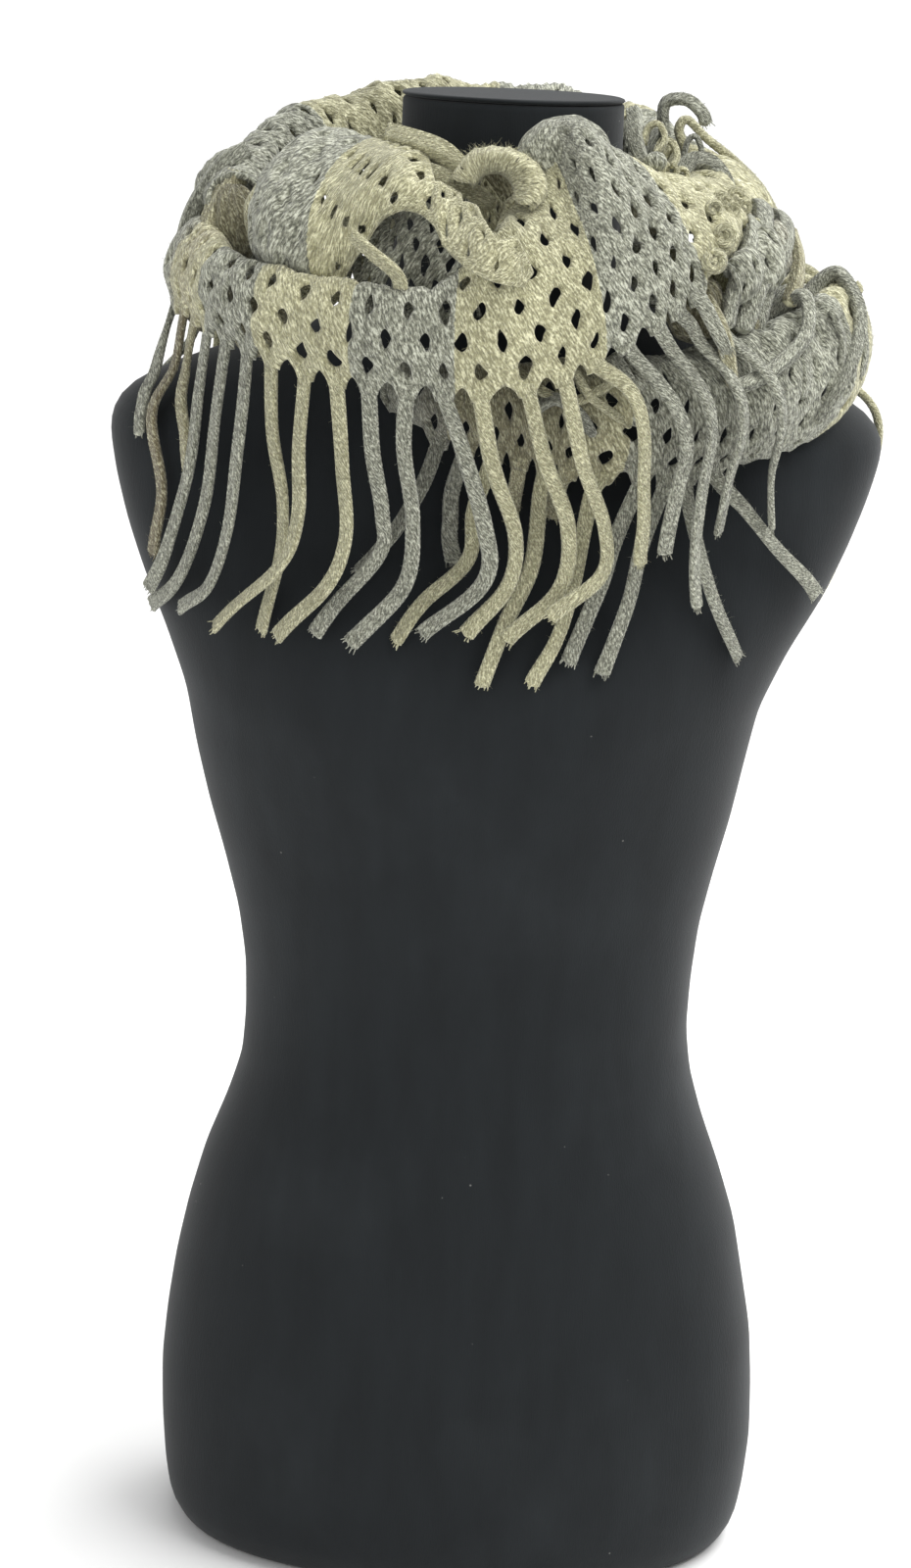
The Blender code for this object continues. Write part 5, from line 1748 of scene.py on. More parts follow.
    def hem_cell(self, column: float, height: float, station: float) -> CellPlan:
        """Half a cell at the hem: an arch between two tapes, or a plain border.

        Args:
            column: Its column.
            height: Its height in metres.
            station: Its section number.

        Returns:
            The cell.
        """
        lattice, pattern = self.lattice, self.lattice.pattern
        if lattice.fringe_share(np.array([station]))[0] < 0.5:
            return Cell.BORDER, column, height, (0.0, 0.0), 0.0
        low, high = lattice.station(np.array([column - 0.5, column + 0.5]))
        ends = lattice.surface.plain(np.array([low, high]), np.zeros(2))
        gap = float(np.linalg.norm(ends[1] - ends[0]))
        across = max(gap - TAPE_WIDTH, 0.0022) / 2.0 * pattern.pitch / gap
        return Cell.ARCH, column, height, (across, 0.47 * pattern.row), 0.0

    def rim(self, plan: CellPlan, border: Array) -> Array:
        """Points round a cell's middle: its eyelet's rim, or where it is knitted shut.

        Args:
            plan: The cell.
            border: Points round its border, in metres from its middle.

        Returns:
            The rim's points, from the same middle.
        """
        kind, column, height, hole, lean = plan
        pattern = self.lattice.pattern
        if kind is Cell.SHUT:
            return border * pattern.shut_rim
        if kind is Cell.BORDER:
            return np.stack([border[:, 0] * pattern.border_rim, 0.0 * border[:, 1]], -1)
        used = len(border)
        inner = pattern.eyelet()[:used] * hole
        if kind is Cell.OPEN:
            own = 12.9898 * column + 7.233 * height / pattern.row
            inner = inner * pattern.ragged(used, own)[:, None]
        inner[:, 0] += lean * inner[:, 1]
        return inner

    def knit_cells(self) -> tuple[Array, ...]:
        """Knit all cells into one net.

        Returns:
            Places in columns and metres up, faces, stitch marks of the faces' corners,
            how far each place is moved out, and half the cloth's thickness there.
        """
        pattern = self.lattice.pattern
        scale = np.array((pattern.pitch, pattern.row))
        diamond = pattern.diamond() * scale
        rings = np.array(pattern.rings)[:, None, None]
        spots, faces, marks, dips, halves = [], [], [], [], []
        count = 0
        for plan in self.cells():
            kind, column, height = plan[:3]
            whole = kind in (Cell.OPEN, Cell.SHUT)
            used = pattern.around if whole else pattern.around // 2 + 1
            border = diamond[:used]
            inner = self.rim(plan, border)
            places = inner + (border - inner) * rings
            grid = np.arange(len(pattern.rings) * used).reshape(len(pattern.rings), used)
            after = np.roll(grid, -1, axis=1)
            quads = np.stack([grid[:-1], grid[1:], after[1:], after[:-1]], -1)
            if not whole:
                quads = quads[:, :-1]
            flat = places.reshape(-1, 2)
            dip = np.repeat(pattern.relief, used) * MM
            half = np.repeat(pattern.thickness, used) * pattern.half
            cell_faces = quads.reshape(-1, 4)
            if kind is Cell.SHUT:
                fan = np.arange(0, used, 2)
                middle = np.full(len(fan), len(flat))
                flat = np.concatenate([flat, [[0.0, 0.0]]])
                dip = np.concatenate([dip, [-pattern.dimple]])
                half = np.concatenate([half, [pattern.half * 0.7]])
                wedge = np.stack([middle, fan, fan + 1, (fan + 2) % used], -1)
                cell_faces = np.concatenate([cell_faces, wedge])
            spots.append(np.stack([column + flat[:, 0] / pattern.pitch, height + flat[:, 1]], -1))
            faces.append(cell_faces + count)
            marks.append(flat[cell_faces] + (column * pattern.pitch, height))
            dips.append(dip)
            halves.append(half)
            count += len(flat)
        return join_cells(
            np.concatenate(spots), np.concatenate(faces), np.concatenate(marks),
            np.concatenate(dips), np.concatenate(halves), pattern.pitch,
        )


def join_cells(
    spots: Array, faces: Array, marks: Array, dips: Array, halves: Array, pitch: float
) -> tuple[Array, ...]:
    """Merge the places that neighbouring cells share.

    Args:
        spots: Places in columns and metres up.
        faces: Faces as place numbers.
        marks: Stitch marks of the faces' corners.
        dips: How far each place is moved out.
        halves: Half the cloth's thickness at each place.
        pitch: The length of a column.

    Returns:
        The same five, with each place once.
    """
    keys = np.floor(spots * (pitch, 1.0) * 1e6 / 2.0 + 0.37).astype(np.int64)
    _unused, first, number = np.unique(keys, axis=0, return_index=True, return_inverse=True)
    number = number.reshape(-1)
    return spots[first], number[faces], marks, dips[first], halves[first]


def thicken(points: Array, half: Array, faces: Array, marks: Array) -> tuple[Array, Array, Array]:
    """A closed shell from a net of faces.

    Args:
        points: The net's middle points.
        half: Half the thickness at each point, as a vector.
        faces: The net's faces.
        marks: Stitch marks of the faces' corners.

    Returns:
        The shell's points, faces and marks.
    """
    count = len(points)
    starts = faces.reshape(-1)
    ends = np.roll(faces, -1, axis=1).reshape(-1)
    start_marks = marks.reshape(-1, 2)
    end_marks = np.roll(marks, -1, axis=1).reshape(-1, 2)
    keys = starts.astype(np.int64) * count + ends
    back = ends.astype(np.int64) * count + starts
    rim = ~np.isin(keys, back) & (starts != ends)
    a, b = starts[rim], ends[rim]
    walls = np.stack([b, a, a + count, b + count], -1)
    shift = np.array((RIM_MARK, 0.0))
    low, high = start_marks[rim], end_marks[rim]
    wall_marks = np.stack([high, low, low + shift, high + shift], 1)
    return (
        np.concatenate([points + half, points - half]),
        np.concatenate([faces, faces[:, ::-1] + count, walls]),
        np.concatenate([marks, marks[:, ::-1], wall_marks]),
    )


# ---------------------------------------------------------------- knitted tapes
@dataclass(frozen=True)
class TapeShape:
    """A flat knitted tape: its section, its stitches, its twist and its frayed tip."""

    width: float = 1.0
    thickness: float = 1.0
    step: float = 0.00095
    stitch: float = 0.00285
    scallop: float = 0.022
    puff: float = 0.045
    flare: float = 0.10
    twist: float = 28.0
    wander: float = 0.0011
    strands: int = 9
    strand_length: float = 0.0034
    strand_radius: float = 0.00042
    fineness: float = 1.5
    root_bulge: float = 0.0004
    tip_bulge: float = 0.0016
    tip_thickness: float = 0.80
    tip_half: float = 0.0034

    def section(self) -> Array:
        """Places round the section: three ribs on each face, in metres.

        Returns:
            The section's points.
        """
        right = ((3.65, 1.05), (2.75, 1.72), (1.40, 1.28))
        face = (*right, (0.0, 1.78), *((-x, y) for x, y in reversed(right)))
        below = tuple((-x, -y) for x, y in face)
        ring = np.array([(4.2, 0.0), *face, (-4.2, 0.0), *below]) * MM
        return ring * (self.width, self.thickness)

    def sweep(self, patch: Patch, path: Array, thick: Array, yarn: Yarn, seed: int) -> None:
        """Add one tape along a path.

        Args:
            patch: What it is added to.
            path: Even points down the middle of the tape.
            thick: The direction through the tape at each point.
            yarn: What it is knitted from.
            seed: Makes it unlike its neighbours.
        """
        chance = np.random.default_rng(seed)
        count = len(path)
        ahead = unit(np.gradient(path, axis=0))
        share = np.linspace(0.0, 1.0, count)
        along = share * path_length(path)
        start, wave, end = chance.uniform(-1.0, 1.0, 3)
        sideways = 0.35 * wave * np.sin(5.0 * share + 3.0 * start) * share
        turn = np.radians(self.twist) * (end * share ** 1.6 + sideways)
        thick = unit(thick - ahead * (thick * ahead).sum(-1, keepdims=True))
        wide = np.cross(thick, ahead)
        through = thick * np.cos(turn)[:, None] + wide * np.sin(turn)[:, None]
        across = wide * np.cos(turn)[:, None] - thick * np.sin(turn)[:, None]
        drift = self.wander * share * np.sin(along / 0.013 + 6.0 * start)
        path = path + across * drift[:, None]
        ring = self.section()
        around = len(ring)
        phase = 2.0 * math.pi * along / self.stitch
        edge = np.abs(ring[:, 0]) / np.abs(ring[:, 0]).max()
        sway = np.where(ring[:, 0] > 0.0, 0.0, math.pi)
        widen = 1.0 + self.scallop * edge ** 4 * np.sin(phase[:, None] + sway)
        widen = widen * (0.92 + 0.05 * np.sin(along / 0.021 + 5.0 * wave) + self.flare * share ** 6)[:, None]
        raise_up = 1.0 + self.puff * np.sin(phase[:, None] + 2.1 * edge * math.pi)
        x = ring[:, 0] * widen
        y = ring[:, 1] * raise_up * (1.0 + 0.08 * np.sin(along / 0.017 + 4.0 * end))[:, None]
        y[-1] *= self.tip_thickness
        points = path[:, None] + across[:, None] * x[..., None] + through[:, None] * y[..., None]
        caps = np.array([path[0] - ahead[0] * self.root_bulge, path[-1] + ahead[-1] * self.tip_bulge])
        points = np.concatenate([points.reshape(-1, 3), caps])
        girth = np.concatenate([[0.0], np.cumsum(np.linalg.norm(np.roll(ring, -1, axis=0) - ring, axis=1))])
        marks = tube_marks(girth * self.fineness, along * self.fineness)
        marks[-around:, :, 1] += along[-1]
        patch.add(points, tube_faces(count, around), marks, yarn)
        self.fray(patch, path[-1], ahead[-1], across[-1], through[-1], yarn, chance)

    def fray(
        self, patch: Patch, tip: Array, ahead: Array, across: Array, through: Array,
        yarn: Yarn, chance: np.random.Generator,
    ) -> None:
        """Add the loose yarn ends that stand out of a tape's tip.

        Args:
            patch: What they are added to.
            tip: The middle of the tape's end.
            ahead: The tape's direction there.
            across: The direction across it.
            through: The direction through it.
            yarn: What they are spun from.
            chance: The tape's own random draws.
        """
        for number in range(self.strands):
            place = (number + 0.5) / self.strands * 2.0 - 1.0
            draw = chance.uniform(-1.0, 1.0, 5)
            root = tip + across * place * self.tip_half * self.width
            root = root + through * draw[0] * 0.0008 - ahead * 0.0012
            lean = across * (0.28 * place + 0.22 * draw[1]) + through * 0.35 * draw[2]
            length = self.strand_length * (1.0 + 0.45 * draw[3])
            bend = across * draw[4] * 0.20 + through * draw[1] * 0.15
            steps = np.linspace(0.0, 1.0, 6)[:, None]
            line = root + (ahead + lean) * length * steps + bend * length * steps ** 2
            add_yarn(patch, line, self.strand_radius, through, yarn, taper=0.55)


def add_yarn(
    patch: Patch, line: Array, radius: float, side: Array, yarn: Yarn, taper: float = 1.0, around: int = 6,
) -> None:
    """Add a round strand of yarn.

    Args:
        patch: What it is added to.
        line: Points along it.
        radius: Its radius at the start.
        side: A direction that isn't along it.
        yarn: What it is spun from.
        taper: Its radius at the end, as a share of the start.
        around: How many sides it has.
    """
    count = len(line)
    ahead = unit(np.gradient(line, axis=0))
    first = carried(unit(np.cross(ahead[0], side)), ahead)
    second = np.cross(ahead, first)
    angle = 2.0 * math.pi * np.arange(around) / around
    size = radius * (1.0 + (taper - 1.0) * np.linspace(0.0, 1.0, count))
    ring = np.cos(angle)[None, :, None] * first[:, None] + np.sin(angle)[None, :, None] * second[:, None]
    points = line[:, None] + ring * size[:, None, None]
    ends = np.array([line[0] - ahead[0] * size[0] * 0.4, line[-1] + ahead[-1] * size[-1] * 0.6])
    points = np.concatenate([points.reshape(-1, 3), ends])
    girth = np.arange(around + 1) / around * 2.0 * math.pi * radius
    patch.add(points, tube_faces(count, around), tube_marks(girth, travelled(line)), yarn)


# ---------------------------------------------------------------- paths of the fringe
@dataclass(frozen=True)
class FringePaths:
    """Where tapes hang, stand and arch: the same paths as the solids have.

    Where a tape passes over the inner turn, it comes off the cloth over the share of its
    length that ease gives, and the turn's face falls away below and above it by the shares
    of height that below and above give.
    """

    form: DressForm
    samples: int = 49
    ease: float = 0.06
    below: float = 0.25
    above: float = 1.6

    def hanging(self, root: Array, stations: Sequence[Row], lift: float, over: bool) -> Array:
        """A tape that hangs from the hem, held off the form and what it passes over.

        Args:
            root: Where it starts.
            stations: Angles in degrees and heights in mm down it.
            lift: How far it stays off the form.
            over: Whether it passes over the inner turn.

        Returns:
            Points down the tape.
        """
        first = winding(root)
        radius = math.hypot(root[0], root[1])
        heights = [root[2]] + [height * MM for _angle, height in stations]
        angles = [first]
        for angle, _height in stations:
            angles.append(angle + 360.0 * round((angles[-1] - angle) / 360.0))
        reach = float(self.form.radius(np.array(angles[-1]), np.array(heights[-1]))) + lift
        tip = max(reach, radius - TAPE_SWING)
        flat = curve_through(list(zip(angles, heights)), self.samples)
        share = np.clip((root[2] - flat[:, 1]) / max(root[2] - heights[-1], 1e-6), 0.0, 1.0)
        fall = radius + (tip - radius) * share
        slope = self.form.slope(flat[:, 0], flat[:, 1])
        radii = np.maximum(fall, self.form.radius(flat[:, 0], flat[:, 1]) + lift * np.hypot(1.0, slope))
        if over:
            cloth = self.cloth_radius(flat[:, 0], flat[:, 1]) + OVER_CLOTH + 0.35 * lift
            ease = np.minimum(1.0, share / self.ease)
            radii = np.maximum(radii, cloth * ease + fall * (1.0 - ease))
        radii[0] = radius
        for _ in range(10):
            smooth = np.convolve(np.pad(radii, 1, mode="edge"), (0.25, 0.5, 0.25), mode="valid")
            smooth[0], smooth[-1] = radius, radii[-1]
            radii = smooth
        return polar(flat[:, 0], radii, flat[:, 1])

    def cloth_radius(self, angle: Array, height: Array) -> Array:
        """How far out the inner turn's face stands, or 0 where it isn't.

        Args:
            angle: Angles in degrees.
            height: Heights in metres.

        Returns:
            Radii in metres.
        """
        found = []
        for row in UNDER_ROWS:
            radii = [pair[0] for pair in row[2:6]]
            heights = [pair[1] for pair in row[2:6]]
            level = height / MM
            reach = np.interp(level, heights, radii)
            reach = reach - np.maximum(heights[0] - level, 0.0) * self.below
            found.append(reach - np.maximum(level - heights[-1], 0.0) * self.above)
        angles = [row[0] for row in UNDER_ROWS]
        columns = np.array(found)
        radii = np.array([np.interp(a, angles, columns[:, k]) for k, a in enumerate(angle)])
        inside = (angle >= angles[0]) & (angle <= angles[-1])
        return np.where(inside, radii, 0.0) * MM

    def free(self, root: Array, stations: Sequence[Row]) -> Array:
        """A tape in the open air, through angles, radii and heights in mm."""
        places = [root, *(polar(angle, radius * MM, height * MM) for angle, radius, height in stations)]
        return curve_through(places, self.samples)

    def arching(self, cloth: ClothSurface, root: Array, row: Row) -> Array:
        """A tape from a stretch's inner side over its crest and down its outer face.

        Args:
            cloth: The scarf's ribbon.
            root: Where it starts.
            row: Its row of the table.

        Returns:
            Points along the tape.
        """
        first, crest, end, rise, end_across = row
        places = [root]
        for share in (0.2, 0.4, 0.6, 0.8, 1.0):
            across = ARCH_ROOT + (end_across - ARCH_ROOT) * share
            angle = float(np.interp(share, (0.0, 0.35, 1.0), (first, crest, end)))
            point, normal = cloth.at(cloth.station_at(angle, 0.5), across)
            lift = ARCH_LIFT * ARCH_SEAT + 0.1 * rise * MM * math.sin(math.pi * min(share * 1.15, 1.0))
            places.append(point[0] + normal[0] * lift)
        return curve_through(places, self.samples)


@dataclass(frozen=True)
class TapeRoot:
    """Where a tape leaves the cloth, which way it leaves, and which way it faces."""

    place: Array
    leave: Array
    face: Array

    @property
    def start(self) -> Array:
        """Where the tape's own path starts."""
        return self.place + self.leave * STRIP_DROP

    @classmethod
    def hem(cls, cloth: ClothSurface, angle: float) -> "TapeRoot":
        """A root on the hem, at an angle round the neck.

        Args:
            cloth: The scarf's ribbon.
            angle: The angle in degrees.

        Returns:
            The root.
        """
        station = np.array([cloth.station_at(angle, 0.0)])
        point, normal = cloth.at(station, 0.0)
        leave = cloth.down(station)[0]
        return cls(point[0], leave, unit(normal[0] - leave * float(normal[0] @ leave)))

    @classmethod
    def ridge(cls, cloth: ClothSurface, angle: float, across: float, standing: bool) -> "TapeRoot":
        """A root on the outer face, for a tape that stands up or lies down the face.

        Args:
            cloth: The scarf's ribbon.
            angle: The angle in degrees.
            across: Its share across the cloth.
            standing: Whether the tape stands up.

        Returns:
            The root.
        """
        station = np.array([cloth.station_at(angle, across)])
        point, normal = cloth.at(station, across)
        above = cloth.at(station, across + 0.02)[0]
        downward = unit(point[0] - above[0])
        lift = CLOTH / 2.0 + FACE_GAP
        if standing:
            return cls(point[0] + normal[0] * (lift - STRIP_GAP), normal[0], downward)
        return cls(point[0] + normal[0] * (lift + TAPE_THICKNESS / 2.0), downward, normal[0])


@dataclass
class Fringe:
    """One row of tapes along a stretch."""

    name: str
    node: str
    form: DressForm
    slot: Slot
    seed: int
    shape: TapeShape = TapeShape()
    patch: Patch = field(default_factory=Patch)
    lead: float = 0.0034

    def hang(self, root: TapeRoot, path: Array, yarn: Yarn, flat_to_form: bool) -> None:
        """Add a tape.

        Args:
            root: Where it leaves the cloth.
            path: Points down it from the root.
            yarn: What it is knitted from.
            flat_to_form: Whether it turns flat to the form, or keeps its own way.
        """
        start = root.start - root.leave * self.lead
        path = np.concatenate([[start], path])
        count = max(int(path_length(path) / self.shape.step), 8)
        path = even_points(curve_through(path, 4 * len(path)), count)
        ahead = unit(np.gradient(path, axis=0))
        if flat_to_form:
            angle = np.degrees(np.arctan2(path[:, 0], -path[:, 1]))
            slope = np.minimum(self.form.slope(angle, path[:, 2]), 1.5)
            away = unit(np.stack([np.sin(np.radians(angle)), -np.cos(np.radians(angle)), slope], -1))
            share = np.minimum(np.arange(count) * self.shape.step / 0.041, 1.0)[:, None]
            thick = root.face * (1.0 - share) + away * share
        else:
            thick = carried(root.face, ahead)
        self.seed += 1
        self.shape.sweep(self.patch, path, thick, yarn, self.seed)

    def finish(self, knit: Finish) -> Item:
        """Make one piece of the tapes."""
        return dress_piece(self.patch.make(self.name, knit), self.slot, self.node)


def plain_tapes(row: Row, drop_from: float) -> tuple:
    """Plain tapes at an even pitch, each a little unlike the next.

    Args:
        row: First and last root in degrees, count, length in mm and sway in degrees.
        drop_from: Height in mm that they hang from.

    Returns:
        Rows as in the tables of tapes.
    """
    first, last, count, length, sway = row
    rows = []
    for index in range(count):
        root = first + (last - first) * index / max(count - 1, 1)
        swing = sway * math.sin(2.3 * index + 0.6)
        kick = sway * math.sin(1.7 * index + 2.1)
        end = length * (1.0 + 0.05 * math.sin(3.1 * index))
        stations = []
        for share, turn in ((0.3, 0.15), (0.6, 0.5), (0.85, 0.9), (1.0, 1.25)):
            angle = root + swing * turn + kick * turn * turn * 0.6
            stations.append((angle, drop_from - end * share))
        rows.append((root, 8, *stations))
    return tuple(rows)


# ---------------------------------------------------------------- curls, rolls and fuzz
@dataclass(frozen=True)
class Roll:
    """A stretch of cloth rolled up on itself, or a curled tape, through a few points in mm."""

    yarn: Yarn
    width: float
    thickness: float
    points: tuple[Triple, ...]
    strands: int = 0

    def add_to(self, patch: Patch, seed: int) -> None:
        """Knit it on to a patch.

        Args:
            patch: What it is added to.
            seed: Makes it unlike its neighbours.
        """
        line = np.array(self.points, float) * MM
        shape = TapeShape(
            width=self.width, thickness=self.thickness, step=0.0012, scallop=0.008, puff=0.010, flare=-0.25,
            twist=24.0, wander=0.0008, strands=self.strands,
        )
        path = curve_through(line, 12 * len(line))
        path = even_points(path, max(int(path_length(path) / shape.step), 8))
        ahead = unit(np.gradient(path, axis=0))
        thick = carried(unit(np.cross(ahead[0], np.array((0.31, 0.52, 0.80)))), ahead)
        shape.sweep(patch, path, thick, self.yarn, seed)


@dataclass(frozen=True)
class Puff:
    """A closed, softly gathered hump of cloth."""

    yarn: Yarn
    centre: Triple
    half: Triple
    gathers: int = 11
    depth: float = 0.022
    lean: float = 0.0
    swell: Pair = (0.0009, 0.016)
    steps: tuple[int, int] = (26, 66)

    def add_to(self, patch: Patch, seed: int) -> None:
        """Add it to a patch, with its gathers drawn down from its top.

        Args:
            patch: What it is added to.
            seed: Makes it unlike its neighbours.
        """
        rows, around = self.steps
        rise = np.linspace(-90.0, 90.0, rows + 1)[1:-1]
        turn = np.arange(around) * 360.0 / around
        up, side = np.meshgrid(np.radians(rise), np.radians(turn), indexing="ij")
        waves = np.sin(self.gathers * side + 1.3 * seed + 1.5 * np.sin(2.0 * up + seed))
        ripple = 1.0 + self.depth * np.cos(up) ** 0.5 * waves
        shell = np.stack([np.cos(up) * np.sin(side), -np.cos(up) * np.cos(side), np.sin(up)], -1)
        shell = shell * ripple[..., None]
        shell[..., 0] += self.lean * shell[..., 2]
        size = np.array(self.half) * MM
        middle = np.array(self.centre) * MM
        top = np.array((self.lean * size[0], 0.0, size[2]))
        points = np.concatenate([(shell * size).reshape(-1, 3), [-top, top]]) + middle
        height, width = self.swell
        swell = unevenness(points, width, seed)[:, None] * unit(points - middle) * height
        girth = np.arange(around + 1) / around * (math.pi * (size[0] + size[1]))
        climb = (rise + 90.0) / 180.0 * math.pi * size[2]
        patch.add(points + swell, tube_faces(rows - 1, around), tube_marks(girth, climb), self.yarn)


@dataclass(frozen=True)
class ShadeLining:
    """A shade-coloured inner layer, so that a stretch's eyelets show dark: painted shade."""

    surface: ClothSurface
    angles: Pair
    shares: Pair
    depth: float
    yarn: Yarn = UMBER
    step: float = 1.5
    columns: int = 22
    swell: Pair = (0.0012, 0.03)
    half: float = 0.0006

    def add_to(self, patch: Patch, seed: int) -> None:
        """Add it to a patch, a little way inside the stretch.

        Args:
            patch: What it is added to.
            seed: Makes it unlike its neighbours.
        """
        turns = np.arange(self.angles[0], self.angles[1] + 0.5, self.step)
        shares = np.linspace(*self.shares, self.columns)
        stations = np.array([self.surface.station_at(turn, 0.5) for turn in turns])
        station, across = np.meshgrid(stations, shares, indexing="ij")
        points, out = self.surface.at(station.ravel(), across.ravel())
        depth = self.depth * MM + self.swell[0] * unevenness(points, self.swell[1], seed)
        points = points - out * depth[:, None]
        grid = np.arange(len(points)).reshape(station.shape)
        faces = np.stack([grid[:-1, :-1], grid[1:, :-1], grid[1:, 1:], grid[:-1, 1:]], -1).reshape(-1, 4)
        places = np.stack([station.ravel() * 0.03, across.ravel() * 0.08], -1)
        patch.add(*thicken(points, out * self.half, faces, places[faces]), self.yarn)


def ring_roll(yarn: Yarn, centre: Triple, radius: float, tilt: float, size: float) -> Roll:
    """A tape curled into a small ring that faces forward.

    Args:
        yarn: What it is knitted from.
        centre: Its middle, in mm.
        radius: Its radius in mm.
        tilt: Where it starts, in degrees.
        size: How wide the tape is, as a share of a fringe tape.

    Returns:
        The ring.
    """
    turn = np.radians(np.linspace(-200.0, 130.0, 9) + tilt)
    x = centre[0] + radius * np.cos(turn)
    z = centre[2] + radius * np.sin(turn)
    y = centre[1] + 0.35 * radius * np.sin(turn + 0.8)
    return Roll(yarn, size, 2.0 * size, tuple(zip(x, y, z)))


# curled and rolled cloth by the stretch that it belongs to, through points in mm
NECK_FOLDS = (
    Roll(BEIGE, 1.5, 3.5, ((-60, -80, 757), (-46, -83, 754), (-33, -86, 750), (-22, -88, 742))),
    Roll(BEIGE, 1.4, 3.2, ((-48, -88, 742), (-34, -90, 739), (-20, -90, 733), (-8, -92, 726))),
)
CREST_LOOPS = (
    Roll(GREY, 0.9, 2.2, ((59, -38, 771), (60, -48, 761), (63, -58, 751), (70, -68, 745))),
    Roll(BEIGE, 0.45, 0.9, ((64, -52, 756), (66, -50, 764), (71, -52, 766), (74, -56, 759), (70, -60, 753))),
    Roll(BEIGE, 0.45, 0.9, ((70, -56, 752), (73, -52, 758), (78, -52, 757), (80, -56, 751), (77, -60, 747))),
    Roll(GREY, 1.2, 2.8, ((82, -36, 741), (89, -31, 747), (98, -30, 746), (105, -33, 738), (110, -40, 726))),
    Roll(SLATE, 0.35, 0.8, ((85, -24, 748), (87, -22, 757), (91, -22, 759), (94, -24, 752), (91, -27, 746))),
)
RUFFLE_FOLDS = tuple(
    Roll(
        BEIGE if level < 2 else GREY, 1.1, 2.5,
        ((132 - 2 * level, y, 681 - 3 * level), (142, y - 3, 691 - 4 * level), (154, y, 690 - 4 * level),
         (163, y - 6, 682 - 3 * level)),
    )
    for level, y in enumerate((24, 4, -16, -36))
)
# shade-coloured puffs that fill the hollow behind the shoulder's rolls: painted shade
SHOULDER_SHADE_PUFFS = (
    Puff(UMBER, (107, -84, 674), (19, 10, 13), depth=0.06),
    Puff(UMBER, (91, -99, 683), (14, 7, 17), depth=0.06),
)
TUCKED_ROLL = Roll(GREY, 1.4, 3.3, tuple(tuple(polar(turn, 151.5, 665.0)) for turn in range(102, 166, 7)))
DOME = Puff(GREY, (25, -79, 748), (23, 15, 22), lean=0.10)
# a shade-coloured puff inside the rolled arch at the front of the neck: painted shade
HOOD_SHADE_FILLING = Puff(UMBER, (-6, -83, 737), (19, 6, 13), depth=0.05)
TUFT = Puff(GREY, (69, -73, 749), (6, 5, 5), depth=0.06)
# rolls laid on the outer face of the shoulder's turn: angle, share across, lift in mm
SHOULDER_ARCHES = (
    (BEIGE, ((95, 0.96, 1.0), (93, 0.80, 0.0), (88, 0.60, -0.5), (84, 0.44, -1.0), (82, 0.26, -1.5))),
    (
        GREY,
        ((70, 1.0, 1.0), (75, 0.90, 6.0), (77, 0.70, 6.0), (72, 0.52, 4.5), (65, 0.38, 4.0), (62, 0.22, 3.5)),
    ),
    (
        GREY,
        ((56, 1.0, 1.0), (61, 0.90, 8.0), (63, 0.72, 9.0), (58, 0.56, 8.0), (50, 0.48, 7.0), (44, 0.44, 5.0)),
    ),
    (OLIVE, ((84, 1.0, 1.0), (85, 0.84, 1.0), (83, 0.66, 0.0), (79, 0.50, -0.5), (76, 0.34, -1.0))),
    (BEIGE, ((106, 0.96, 1.0), (104, 0.80, 0.0), (99, 0.62, -0.5), (95, 0.44, -1.0), (93, 0.24, -1.5))),
)
SIDE_LOOPS = (
    Roll(
        GREY, 1.3, 3.2,
        ((-134, 6, 741), (-144, -1, 735), (-153, -4, 722), (-159, -6, 709), (-163, -9, 694)),
    ),
    Roll(OLIVE, 1.2, 3.0, ((-136, -12, 730), (-145, -18, 716), (-150, -26, 703), (-156, -34, 694))),
    Roll(
        BEIGE, 0.7, 1.5,
        ((-121, -54, 729), (-126, -62, 719), (-124, -67, 707), (-118, -71, 698), (-112, -72, 691)),
    ),
    Roll(TOBACCO, 0.7, 1.5, ((-117, -56, 726), (-120, -64, 715), (-117, -68, 704), (-110, -70, 694))),
    # the three shade-coloured puffs fill the hollows behind the side loops: painted shade
    Puff(UMBER, (-137, -20, 706), (13, 10, 20), depth=0.07),
    Puff(UMBER, (-148, -42, 677), (13, 9, 22), depth=0.05),
    Puff(UMBER, (-118, -72, 667), (16, 9, 20), depth=0.05),
)
BREAST_LOOPS = (
    Roll(
        BEIGE, 0.7, 1.2,
        ((8, -124, 652), (20, -128, 644), (33, -129, 640), (47, -126, 645), (58, -120, 652)),
    ),
    Roll(SLATE, 0.8, 1.5, ((14, -126, 634), (26, -130, 641), (37, -130, 634), (44, -128, 624))),
    Roll(BEIGE, 0.6, 1.2, ((34, -130, 655), (42, -130, 643), (52, -127, 636), (62, -121, 629))),
    Roll(GREY, 0.9, 1.8, ((52, -122, 662), (60, -121, 650), (66, -117, 638), (74, -111, 628))),
)
# first angle, last angle and yarn of the curled hem
HEM_CURLS = ((438.0, 487.0, BEIGE), (494.0, 543.0, GREY), (550.0, 592.0, BEIGE))
# angles, shares across and depth in mm of the shade-coloured inner layer behind the sash: painted shade
SASH_SHADE_LININGS = (
    ((271.0, 303.0), (0.12, 0.93), 7.0),
    ((386.0, 411.0), (0.30, 0.92), 9.5),
    ((404.0, 428.0), (0.08, 0.90), 7.0),
)
CURL_SEED = 700
HEM_CURL_STEP = 7.0        # degrees between the points of a curled hem
HEM_CURL_IN = 0.004        # how far in from the hem the curl lies
HEM_CURL_UNDER = 0.0035    # how far under the hem it lies
# small rings on the sash: how many, least and most angle, share across and turn, their
# radius in mm, and how far off the face they lie
RING_COUNT = 12
RING_PLACES = ((398.0, 0.15, -180.0), (430.0, 0.85, 180.0))
RING_RADIUS = (2.6, 4.0)
RING_LIFT = 0.0022
# from one standing roll to the next, to the right, back and up, in mm
ROLL_SPACING = (8.5, 12.0, -1.0)
